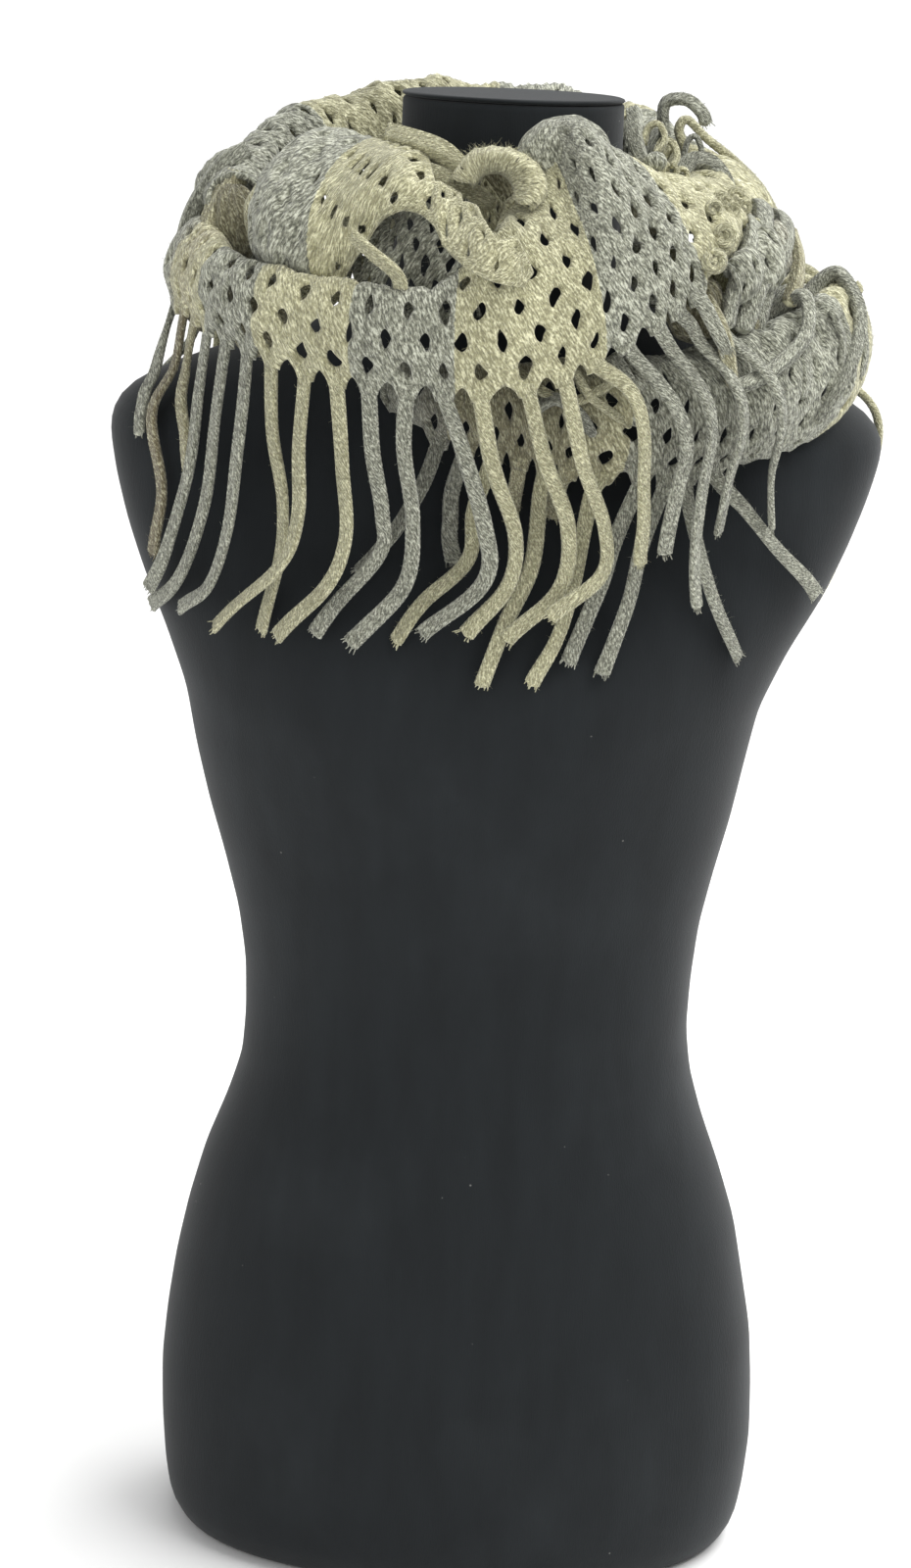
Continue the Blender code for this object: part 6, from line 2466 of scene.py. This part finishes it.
# single rolls beside the standing ones
SINGLE_ROLLS = (
    Roll(OLIVE, 0.9, 2.2, ((139, -44, 716), (142, -56, 706), (141, -66, 695), (137, -74, 684))),
    Roll(GREY, 1.0, 1.1, ((90, -122, 693), (96, -128, 684), (101, -132, 675), (105, -133, 667)), 9),
    Roll(OLIVE, 1.1, 1.5, ((95, -104, 688), (101, -112, 679), (106, -117, 668), (110, -119, 650))),
)
# width, extra height and bow in mm of each standing roll
ROLL_SIZES = ((0.95, -3.0, 1.5), (1.25, 2.0, -1.0), (1.05, -1.0, 2.0))


@dataclass
class CurledCloth:
    """Rolls, ruffles, curled tapes and humps that lie on the scarf's main stretches."""

    ribbon: ClothSurface
    knit: Finish

    def build(self) -> dict[str, Item]:
        """Make them all.

        Returns:
            The new pieces by the node that each belongs to.
        """
        linings = [ShadeLining(self.ribbon, *place) for place in SASH_SHADE_LININGS]
        shoulder = [*RUFFLE_FOLDS, *self.arches(), *SHOULDER_SHADE_PUFFS, TUCKED_ROLL]
        table = (
            ("sash_front", Slot.GREY, [DOME, *linings]),
            ("puff_left", Slot.BEIGE, NECK_FOLDS),
            ("hood_lining", Slot.GREY, [HOOD_SHADE_FILLING]),
            ("sash_right", Slot.GREY, [*CREST_LOOPS, TUFT, *self.edge_rings()]),
            ("shoulder_right", Slot.GREY, shoulder),
            ("collar_back", Slot.BEIGE, self.curled_hem()),
            ("rolls_right", Slot.GREY, self.standing_rolls()),
            ("collar_left", Slot.BEIGE, SIDE_LOOPS),
            ("inner_front", Slot.GREY, BREAST_LOOPS),
        )
        return {node: self.make(node, slot, parts) for node, slot, parts in table}

    def make(self, node: str, slot: Slot, parts: Iterable[Roll | Puff | ShadeLining]) -> Item:
        """One piece from several parts.

        Args:
            node: The stretch that they lie on.
            slot: The record's slot.
            parts: The rolls, puffs and shade linings.

        Returns:
            The piece.
        """
        patch = Patch()
        for number, part in enumerate(parts):
            part.add_to(patch, CURL_SEED + 17 * len(node) + number)
        return dress_piece(patch.make(f"{node}_curls", self.knit), slot, node)

    def standing_rolls(self) -> list[Roll]:
        """The rolls that stand side by side at the right of the neck.

        Returns:
            The rolls.
        """
        rolls = []
        for number, (width, height, bow) in enumerate(ROLL_SIZES):
            right, back, up = (number * step for step in ROLL_SPACING)
            points = (
                (106 + right, -34 + back, 708 + up + height),
                (112 + right, -48 + back, 724 + up + height),
                (116 + right + bow, -66 + back, 724 + up + height),
                (115 + right + bow, -86 + back, 713 + up),
                (112 + right - bow, -99 + back, 698 + up),
                (106 + 0.9 * right, -108 + 0.8 * back, 676 + 3 * up),
            )
            rolls.append(Roll(GREY, width, 2.3 * width, points))
        return [*rolls, *SINGLE_ROLLS]

    def curled_hem(self) -> list[Roll]:
        """The collar's lower edge, which curls under along the back.

        Returns:
            The rolls.
        """
        rolls = []
        for first, last, yarn in HEM_CURLS:
            points = []
            for angle in np.arange(first, last + 1.0, HEM_CURL_STEP):
                point, normal = self.ribbon.at(self.ribbon.station_at(angle, 0.0), 0.0)
                place = point[0] - normal[0] * HEM_CURL_IN - np.array((0.0, 0.0, HEM_CURL_UNDER))
                points.append(tuple(place / MM))
            rolls.append(Roll(yarn, 1.35, 3.2, tuple(points)))
        return rolls

    def arches(self) -> list[Roll]:
        """The thick tapes that curl over the shoulder's turn.

        Returns:
            The rolls.
        """
        rolls = []
        for yarn, places in SHOULDER_ARCHES:
            points = []
            for angle, across, lift in places:
                point, normal = self.ribbon.at(self.ribbon.station_at(angle, across), across)
                points.append(tuple((point[0] + normal[0] * lift * MM) / MM))
            rolls.append(Roll(yarn, 0.85, 2.0, tuple(points)))
        return rolls

    def edge_rings(self) -> list[Roll]:
        """Curled rings along the sash's lower edge and small loops on its face.

        Returns:
            The rings.
        """
        rings = [
            ring_roll(BEIGE, (98, -113, 707), 4.0, -30.0, 0.55),
            ring_roll(BEIGE, (103, -101, 718), 3.8, 50.0, 0.50),
        ]
        chance = np.random.default_rng(CURL_SEED)
        for _unused in range(RING_COUNT):
            angle, across, tilt = chance.uniform(*RING_PLACES)
            point, normal = self.ribbon.at(self.ribbon.station_at(angle, across), across)
            centre = (point[0] + normal[0] * RING_LIFT) / MM
            rings.append(ring_roll(BEIGE, tuple(centre), float(chance.uniform(*RING_RADIUS)), tilt, 0.36))
        return rings


@dataclass(frozen=True)
class Fuzz:
    """Short fine hairs that stand off the brushed yarn."""

    density: float = 260000.0
    length: Pair = (0.0012, 0.0040)
    radius: float = 0.000055
    most: int = 740
    seed: int = 5150
    bow: float = 0.35
    rings: tuple[Pair, ...] = ((0.0, 1.0), (0.6, 0.75))
    paler: float = 1.12

    def grow(self, name: str, source: Item, knit: Finish, slot: Slot) -> Item:
        """Make the hairs of one piece.

        Args:
            name: The new piece's name.
            source: The piece that they grow on.
            knit: Their finish.
            slot: The record's slot.

        Returns:
            The hairs, as one piece.
        """
        mesh = source.data
        count = len(mesh.polygons)
        centres, normals, areas = (np.empty(count * size, np.float32) for size in (3, 3, 1))
        mesh.polygons.foreach_get("center", centres)
        mesh.polygons.foreach_get("normal", normals)
        mesh.polygons.foreach_get("area", areas)
        centres, normals = centres.reshape(-1, 3).astype(float), normals.reshape(-1, 3).astype(float)
        yarns = np.empty((len(mesh.vertices), 3), np.float32)
        for column, label in enumerate(YARN_MARKS):
            values = np.empty(len(mesh.vertices), np.float32)
            mesh.attributes[label].data.foreach_get("value", values)
            yarns[:, column] = values
        first = np.array([face.vertices[0] for face in mesh.polygons])
        chance = np.random.default_rng(self.seed + len(name))
        wanted = int(min(self.most, areas.sum() * self.density))
        away = unit(centres * (1.0, 1.0, 0.0)) + (0.0, 0.0, 0.6)
        weights = areas.astype(float) * (0.05 + np.maximum((normals * away).sum(-1), 0.0))
        picked = chance.choice(count, wanted, p=weights / weights.sum())
        root = centres[picked]
        lean = unit(chance.normal(size=(wanted, 3)))
        ahead = unit(0.7 * normals[picked] + lean)
        bend = unit(chance.normal(size=(wanted, 3)))
        length = chance.uniform(*self.length, wanted)[:, None] * (0.8 if name.startswith("fringe") else 1.3)
        side = unit(np.cross(ahead, bend))
        other = np.cross(ahead, side)
        rings = []
        for share, size in self.rings:
            middle = root + ahead * length * share + bend * length * self.bow * share ** 2
            for turn in (0.0, 120.0, 240.0):
                out = side * math.cos(math.radians(turn)) + other * math.sin(math.radians(turn))
                rings.append(middle + out * self.radius * size)
        rings.append(root + ahead * length + bend * length * self.bow)
        points = np.stack(rings, 1).reshape(-1, 3)
        each = len(rings)
        ends = np.array([(2, 1, 0, 0), (3, 4, 6, 6), (4, 5, 6, 6), (5, 3, 6, 6)])
        pattern = np.concatenate([ring_faces(len(self.rings), 3), ends])
        every = (pattern[None] + each * np.arange(wanted)[:, None, None]).reshape(-1, 4)
        marks = np.full((len(every), 4, 2), END_MARK / 2.0)
        kept = np.repeat(yarns[first[picked]], each, axis=0)
        hairs = make_mesh(name, points, every, knit, marks, kept * (1.0, 1.0, self.paler))
        return dress_piece(hairs, slot)


# ---------------------------------------------------------------- the whole scarf
# how far in and down the middle of each top tape settles, in mm
TOP_SAG = ((1.5, 4.5), (6.0, 4.0))
# the yarn of each tape, in the order of the tables of tapes
FRONT_YARNS = (
    OLIVE, GREY, GREY, GREY, BEIGE, BEIGE, BEIGE, GREY, GREY, GREY, BEIGE, BEIGE, BEIGE, BEIGE, GREY, GREY,
    GREY, GREY,
)
INNER_YARNS = (SLATE, SLATE, BEIGE, OLIVE, BEIGE, OLIVE, BEIGE)
LEFT_YARNS = (TOBACCO, GREY, GREY, BEIGE, BEIGE, BEIGE, GREY)
BACK_YARNS = (GREY, GREY, BEIGE, BEIGE, BEIGE, GREY, GREY, GREY, BEIGE, BEIGE)
ARCH_YARNS = (GREY, GREY, GREY, BEIGE)
# where tapes hang from the hem, so that a column of the net meets each of them
ANCHOR_ANGLES = (
    *(row[0] for row in INNER_TAPES), *(row[0] for row in SHOULDER_TAPES), 99, 107, 115, 123, 131,
    *(147.0 + 66.0 * k / 9.0 for k in range(10)), *(222.0 + 8.0 * k for k in range(5)), 274, 286,
    *(360 + row[0] for row in FRONT_TAPES),
)
# first and last angle of each length of hem that has a fringe
FRINGED_ANGLES = ((-19, 27), (28, 49), (96, 134), (144, 290), (291, 401))
# bands of yarn round the ribbon; its light rows are painted shade, darkening the ribbon most at the front of
# the inner turn under the sash, where the brown row at 0 browns it too, and on the collar at the back left
RIBBON_STRIPES = Stripes(
    (-12, 27, 69, 104, 125, 147, 168, 188, 208, 230, 250, 268, 280, 300, 313.5, 332, 351, 380, 400, 470,
     492, 515, 545, 598),
    brown=((291.0, 5.0, 0.45), (280.0, 3.0, 0.25), (0.0, 24.0, 0.40)),
    light=((45.0, 30.0, -0.06), (340.0, 12.0, -0.05), (605.0, 25.0, -0.16), (-2.0, 26.0, -0.38)),
)
# how far open the eyelets are: place along the stretch, then at the hem, halfway and at the tuck
OPENNESS = {
    "inner_front": ((0.0, 0.9, 0.8, 0.5), (1.0, 0.9, 0.8, 0.4)),
    "shoulder_right": (
        (0.0, 0.8, 0.7, 0.2), (0.15, 0.8, 0.3, 0.1), (0.6, 0.8, 0.3, 0.1), (1.0, 0.9, 0.8, 0.4),
    ),
    "wrap_back": ((0.0, 0.9, 0.85, 0.5), (1.0, 0.9, 0.85, 0.5)),
    "wrap_left": ((0.0, 0.9, 0.8, 0.5), (1.0, 0.7, 0.7, 0.4)),
    "sash_front": (
        (0.0, 0.75, 0.7, 0.2), (0.3, 0.95, 0.85, 0.3), (0.6, 0.95, 0.95, 0.4), (0.72, 0.95, 0.70, 0.1),
        (1.0, 0.95, 0.60, 0.1),
    ),
    "sash_right": ((0.0, 0.9, 0.6, 0.1), (0.3, 0.7, 0.5, 0.3), (1.0, 0.7, 0.6, 0.3)),
    "collar_back": ((0.0, 0.6, 0.6, 0.35), (1.0, 0.6, 0.6, 0.35)),
    "collar_left": ((0.0, 0.6, 0.55, 0.35), (1.0, 0.5, 0.5, 0.3)),
}
COLLAR_GATHER = 0.0005     # how deep the collar's fine gathers are
SMALL_NET = NetPattern(pitch=0.0125, row=0.0100, first_row=0.0, hole=(0.0022, 0.0040), half=0.0012)
TINY_NET = NetPattern(pitch=0.0080, row=0.0062, first_row=0.0, hole=(0.0014, 0.0022), half=0.0011)
ROLL_OPEN = ((0.0, 0.4, 0.3, 0.3), (1.0, 0.4, 0.3, 0.3))
PALE_PIECES = (
    "inner_front", "wrap_back", "sash_front", "collar_back", "hood_fold", "fringe_front", "fringe_back",
    "fringe_loose",
)
# the piece that each stretch lies on
RESTS_ON = {
    **dict.fromkeys(("inner_front", "shoulder_right", "wrap_back", "wrap_left"), "form_cover"),
    "sash_front": "inner_front_net",
    "sash_right": "shoulder_right_net",
    "collar_back": "wrap_back_net",
    "collar_left": "wrap_left_net",
    "inner_rise": "inner_front_net",
    "puff_left": "sash_front_net",
    "hood_fold": "sash_front_net",
    "hood_lining": "inner_rise_net",
    "rolls_right": "shoulder_right_net",
}
PUFF_OPEN = (
    (0.0, 0.35, 0.3, 0.1), (0.35, 0.5, 0.7, 0.4), (0.5, 0.4, 0.7, 0.5), (0.62, 0.1, 0.2, 0.1),
    (0.82, 0.1, 0.1, 0.1), (0.9, 0.8, 0.9, 0.8), (1.0, 0.8, 0.9, 0.8),
)
FRINGES = {
    "sash_front": ("fringe_front", "fringe_loose"),
    "inner_front": ("fringe_inner",),
    "shoulder_right": ("fringe_shoulder", "fringe_shoulder_back", "fringe_arches"),
    "wrap_left": ("fringe_left",),
    "wrap_back": ("fringe_back",),
    "sash_right": ("fringe_top",),
}


@dataclass
class InfinityScarf:
    """The scarf: one long net ribbon, its free parts, its fringe and its loose loops."""

    form: DressForm
    knit: Finish
    pattern: NetPattern = NetPattern()
    fuzz: Fuzz = Fuzz()
    pieces: dict[str, Item] = field(default_factory=dict)
    stretches: dict[str, NetStretch] = field(default_factory=dict)
    extras: dict[str, list[Item]] = field(default_factory=dict)

    def __post_init__(self) -> None:
        """Set out the ribbon and the paths of its fringe."""
        self.ribbon = section_surface(RIBBON_ROWS, RIBBON_SPANS)
        self.paths = FringePaths(self.form)

    def build(self) -> None:
        """Make all of it and say what it is cut to."""
        self.build_ribbon()
        self.build_free_parts()
        self.build_fringe()
        for name, curls in CurledCloth(self.ribbon, self.knit).build().items():
            self.extras[name] = [curls]
        self.grow_fuzz()
        self.declare()

    def build_ribbon(self) -> None:
        """The two turns of the ribbon, stretch by stretch."""
        anchors = tuple(self.ribbon.station_at(angle, 0.0) for angle in ANCHOR_ANGLES)
        fringed = tuple(tuple(self.ribbon.station_at(end, 0.0) for end in pair) for pair in FRINGED_ANGLES)
        lattice = Lattice(self.ribbon, self.pattern, anchors, fringed)
        angles = np.array([row[0] for row in RIBBON_ROWS], float)
        for number, (name, span) in enumerate(RIBBON_SPANS.items()):
            gather = COLLAR_GATHER if name.startswith("collar") else 0.0
            slot = Slot.GREY if number % 2 else Slot.BEIGE
            openness, seed = OPENNESS[name], 11 + 7 * number
            self.keep(NetStretch(name, lattice, span, angles, RIBBON_STRIPES, openness, slot, seed, gather))

    def build_free_parts(self) -> None:
        """The parts that have their own surfaces."""
        grey = Stripes((), GREY, brown=((66.0, 4.0, 0.5),))
        table = (
            ("inner_rise", RISE_ROWS, SMALL_NET, Stripes(()), ((0.0, 0.9, 0.9, 0.7), (1.0, 0.9, 0.9, 0.6))),
            ("puff_left", PUFF_ROWS, self.pattern, Stripes((-39.0,), GREY), PUFF_OPEN),
            ("rolls_right", ROLL_ROWS, SMALL_NET, grey, ROLL_OPEN),
            ("hood_lining", LINING_ROWS, TINY_NET, Stripes((-9.0,), GREY), ((0.0, 0.5, 0.5, 0.4),) * 2),
        )
        for number, (name, rows, pattern, stripes, openness) in enumerate(table):
            surface = section_surface(rows, {name: (0, len(rows) - 1)})
            self.keep_free(name, surface, rows, pattern, stripes, openness, Slot.GREY, 101 + 13 * number)
        self.keep_free(
            "hood_fold", arch_surface(), HOOD_ROWS, TINY_NET, Stripes((), BEIGE), ROLL_OPEN, Slot.BEIGE, 171
        )

    def keep_free(
        self, name: str, surface: ClothSurface, rows: Sequence[Row], pattern: NetPattern, stripes: Stripes,
        openness: tuple, slot: Slot, seed: int,
    ) -> None:
        """Build a part that has its own surface, from end to end of its table.

        Args:
            name: Its node.
            surface: Its surface.
            rows: The table that the surface goes through.
            pattern: The sizes of its net.
            stripes: Its bands of yarn.
            openness: How far open its eyelets are.
            slot: The record's slot.
            seed: Makes it unlike the others.
        """
        angles = np.array([row[0] for row in rows], float)
        span = (0.0, len(rows) - 1.0)
        self.keep(NetStretch(name, Lattice(surface, pattern), span, angles, stripes, openness, slot, seed))

    def keep(self, stretch: NetStretch) -> None:
        """Build a stretch and remember it."""
        self.pieces[stretch.node] = stretch.build(self.knit)
        self.stretches[stretch.node] = stretch

    def fringe(self, name: str, slot: Slot, seed: int) -> Fringe:
        """A new row of tapes."""
        return Fringe(f"{name}_tapes", name, self.form, slot, seed)

    def hanging_tapes(self) -> list[Fringe]:
        """Tapes that hang from the hem, row by row.

        Returns:
            The rows.
        """
        left = (*LEFT_TAPES, *plain_tapes(LEFT_PLAIN, LEFT_HEM))
        shoulder = plain_tapes(SHOULDER_PLAIN, SHOULDER_HEM)
        back = plain_tapes(BACK_PLAIN, BACK_HEM)
        table = (
            ("fringe_front", Slot.BEIGE, 300, FRONT_TAPES, 360.0, FRONT_YARNS, True),
            ("fringe_inner", Slot.GREY, 340, INNER_TAPES, 0.0, INNER_YARNS, False),
            ("fringe_shoulder", Slot.GREY, 360, SHOULDER_TAPES, 0.0, (GREY,) * 4, False),
            ("fringe_shoulder_back", Slot.GREY, 370, shoulder, 0.0, (BEIGE, GREY, GREY, GREY, BEIGE), False),
            ("fringe_left", Slot.GREY, 380, left, 360.0, LEFT_YARNS, False),
            ("fringe_back", Slot.BEIGE, 400, back, 0.0, BACK_YARNS, False),
        )
        found = []
        for name, slot, seed, rows, turn, yarns, over in table:
            fringe = self.fringe(name, slot, seed)
            for row, yarn in zip(rows, yarns):
                root = TapeRoot.hem(self.ribbon, row[0] + turn)
                path = self.paths.hanging(root.start, row[2:], row[1] * MM, over)
                fringe.hang(root, path, yarn, True)
            found.append(fringe)
        return found

    def build_fringe(self) -> None:
        """Every row of tapes."""
        for row in [*self.hanging_tapes(), *self.standing_tapes()]:
            self.pieces[row.node] = row.finish(self.knit)

    def standing_tapes(self) -> list[Fringe]:
        """Tapes that stand up from the cloth or arch over its crest.

        Returns:
            The rows.
        """
        loose = self.fringe("fringe_loose", Slot.BEIGE, 430)
        for row in LOOSE_TAPES:
            root = TapeRoot.ridge(self.ribbon, row[0] + 360.0, LOOSE_ROOT, True)
            loose.hang(root, self.paths.free(root.start, row[1:]), BEIGE, False)
        top = self.fringe("fringe_top", Slot.GREY, 440)
        top.shape = TapeShape(width=0.85, thickness=1.3)
        for row, yarn, (inward, lower) in zip(TOP_TAPES, (GREY, BEIGE), TOP_SAG):
            root = TapeRoot.ridge(self.ribbon, row[0] + 360.0, TOP_ROOT, True)
            sag = [0.0, *np.sin(np.linspace(0.0, math.pi, len(row) - 1))]
            places = [(turn, r - inward * s, z - lower * s) for (turn, r, z), s in zip(row[1:], sag[1:])]
            top.hang(root, self.paths.free(root.start, places), yarn, False)
        arches = self.fringe("fringe_arches", Slot.GREY, 450)
        for row, yarn in zip(ARCH_TAPES, ARCH_YARNS):
            root = TapeRoot.ridge(self.ribbon, row[0], ARCH_ROOT, False)
            arches.hang(root, self.paths.arching(self.ribbon, root.start, row), yarn, False)
        return [loose, top, arches]

    def grow_fuzz(self) -> None:
        """Short hairs on every stretch and every row of tapes."""
        for name, piece in self.pieces.items():
            slot = Slot.BEIGE if name in PALE_PIECES else Slot.GREY
            hairs = self.fuzz.grow(f"{name}_fuzz", piece, self.knit, slot)
            self.extras.setdefault(name, []).append(hairs)

    def declare(self) -> None:
        """Say what each stretch was knitted to."""
        for name, stretch in self.stretches.items():
            width, length = stretch.flat_size()
            share = min(max(stretch.flat_area / (width * length), 0.3), 1.0)
            LOG.info("%s: flat %.0f x %.0f mm, cloth share %.2f", name, width * 1e3, length * 1e3, share)
            hung = FRINGES.get(name, ())
            [self.pieces[key] for key in hung]
            [piece for key in (name, *hung) for piece in self.extras.get(key, ())]


# ---------------------------------------------------------------- studio
# name, place, what it looks at, size in metres and power of each soft light
SOFT_LIGHTS = (
    ("key", (0.9, -0.6, 1.9), (0.0, 0.0, 0.62), 1.1, 15.0),
    ("fill", (-1.3, -1.9, 1.3), (0.0, 0.0, 0.55), 1.6, 7.0),
    ("rim", (0.9, 0.9, 1.7), (0.0, 0.0, 0.65), 0.9, 10.0),
)


@dataclass(frozen=True)
class Studio:
    """Camera, soft lights and a plain pale floor."""

    eye: Triple = (0.0, -1.70, 0.86)
    pitch: float = 14.6
    yaw: float = -0.5
    roll: float = 2.4
    lens: float = 76.5
    world: float = 0.60
    sun: float = 2.1
    floor_radius: float = 112.0
    floor_height: float = -0.0002
    floor_sides: int = 96

    def build(self) -> None:
        """Set up the studio."""
        self.build_camera()
        self.build_world()
        self.build_floor()
        self.build_sun()
        for light in SOFT_LIGHTS:
            self.add_light(*light)

    def build_camera(self) -> None:
        """The camera."""
        pitch, yaw, roll = (math.radians(value) for value in (self.pitch, self.yaw, self.roll))
        ahead = Vector((math.sin(yaw) * math.cos(pitch), math.cos(yaw) * math.cos(pitch), -math.sin(pitch)))
        right = ahead.cross(Vector((0.0, 0.0, 1.0))).normalized()
        above = right.cross(ahead)
        side = right * math.cos(roll) + above * math.sin(roll)
        top = above * math.cos(roll) - right * math.sin(roll)
        data = bpy.data.cameras.new("camera")
        data.lens = self.lens
        data.sensor_width = 36.0
        data.clip_start = 0.05
        data.clip_end = 120.0
        camera = bpy.data.objects.new("camera", data)
        camera.matrix_world = Matrix((
            (side.x, top.x, -ahead.x, self.eye[0]),
            (side.y, top.y, -ahead.y, self.eye[1]),
            (side.z, top.z, -ahead.z, self.eye[2]),
            (0.0, 0.0, 0.0, 1.0),
        ))
        bpy.context.scene.collection.objects.link(camera)
        bpy.context.scene.camera = camera

    def build_world(self) -> None:
        """Even white light from all round."""
        scene = bpy.context.scene
        scene.world = bpy.data.worlds.new("white_room")
        scene.world.use_nodes = True
        background = scene.world.node_tree.nodes["Background"]
        background.inputs["Color"].default_value = (1.0, 1.0, 1.0, 1.0)
        background.inputs["Strength"].default_value = self.world
        scene.view_settings.view_transform = "Standard"

    def build_sun(self) -> None:
        """Wide soft light from above, even over the whole floor."""
        data = bpy.data.lights.new("sky_panel", "SUN")
        data.energy = self.sun
        data.angle = math.radians(60.0)
        light = bpy.data.objects.new("sky_panel", data)
        light.rotation_euler = Vector((0.35, 0.12, 1.0)).to_track_quat("Z", "Y").to_euler()
        bpy.context.scene.collection.objects.link(light)

    def build_floor(self) -> None:
        """A wide floor under the base."""
        turn = np.linspace(0.0, 2.0 * math.pi, self.floor_sides, endpoint=False)
        radii = (0.4, 2.0, 10.0, self.floor_radius)
        level = np.full(self.floor_sides, self.floor_height)
        rings = [np.stack([reach * np.cos(turn), reach * np.sin(turn), level], -1) for reach in radii]
        points = np.concatenate([*rings, [[0.0, 0.0, self.floor_height]]])
        faces = ring_faces(len(radii), self.floor_sides)[:, ::-1]
        middle = ring_caps(0, self.floor_sides, len(points) - 1, True)
        floor = make_mesh("floor", points, np.concatenate([faces, middle]), PaleFloor().make())
        floor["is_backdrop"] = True

    def add_light(self, name: str, place: Triple, target: Triple, size: float, power: float) -> None:
        """A square soft light that looks at a point.

        Args:
            name: Its name.
            place: Where it is.
            target: The point.
            size: Its side in metres.
            power: Its power in watts.
        """
        data = bpy.data.lights.new(name, "AREA")
        data.shape = "SQUARE"
        data.size = size
        data.energy = power
        light = bpy.data.objects.new(name, data)
        light.location = place
        away = Vector(place) - Vector(target)
        light.rotation_euler = away.to_track_quat("Z", "Y").to_euler()
        bpy.context.scene.collection.objects.link(light)


def write_sizes() -> None:
    """Write the solids' box and the dressed model's box."""
    boxes = {"cad": CAD_BOX, "visual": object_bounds()}
    plain = {name: [[float(value) for value in corner] for corner in box] for name, box in boxes.items()}
    LOG.info("sizes: %s", plain)


def main() -> None:
    """Build the form, the scarf and the studio."""
    logging.basicConfig(level=logging.INFO, format="%(message)s", stream=sys.stdout)
    form = DressForm()
    form.build(StretchJersey().make())
    knit = MarledKnit().make()
    InfinityScarf(form, knit).build()
    Studio().build()
    write_sizes()


if __name__ == "__main__":
    main()
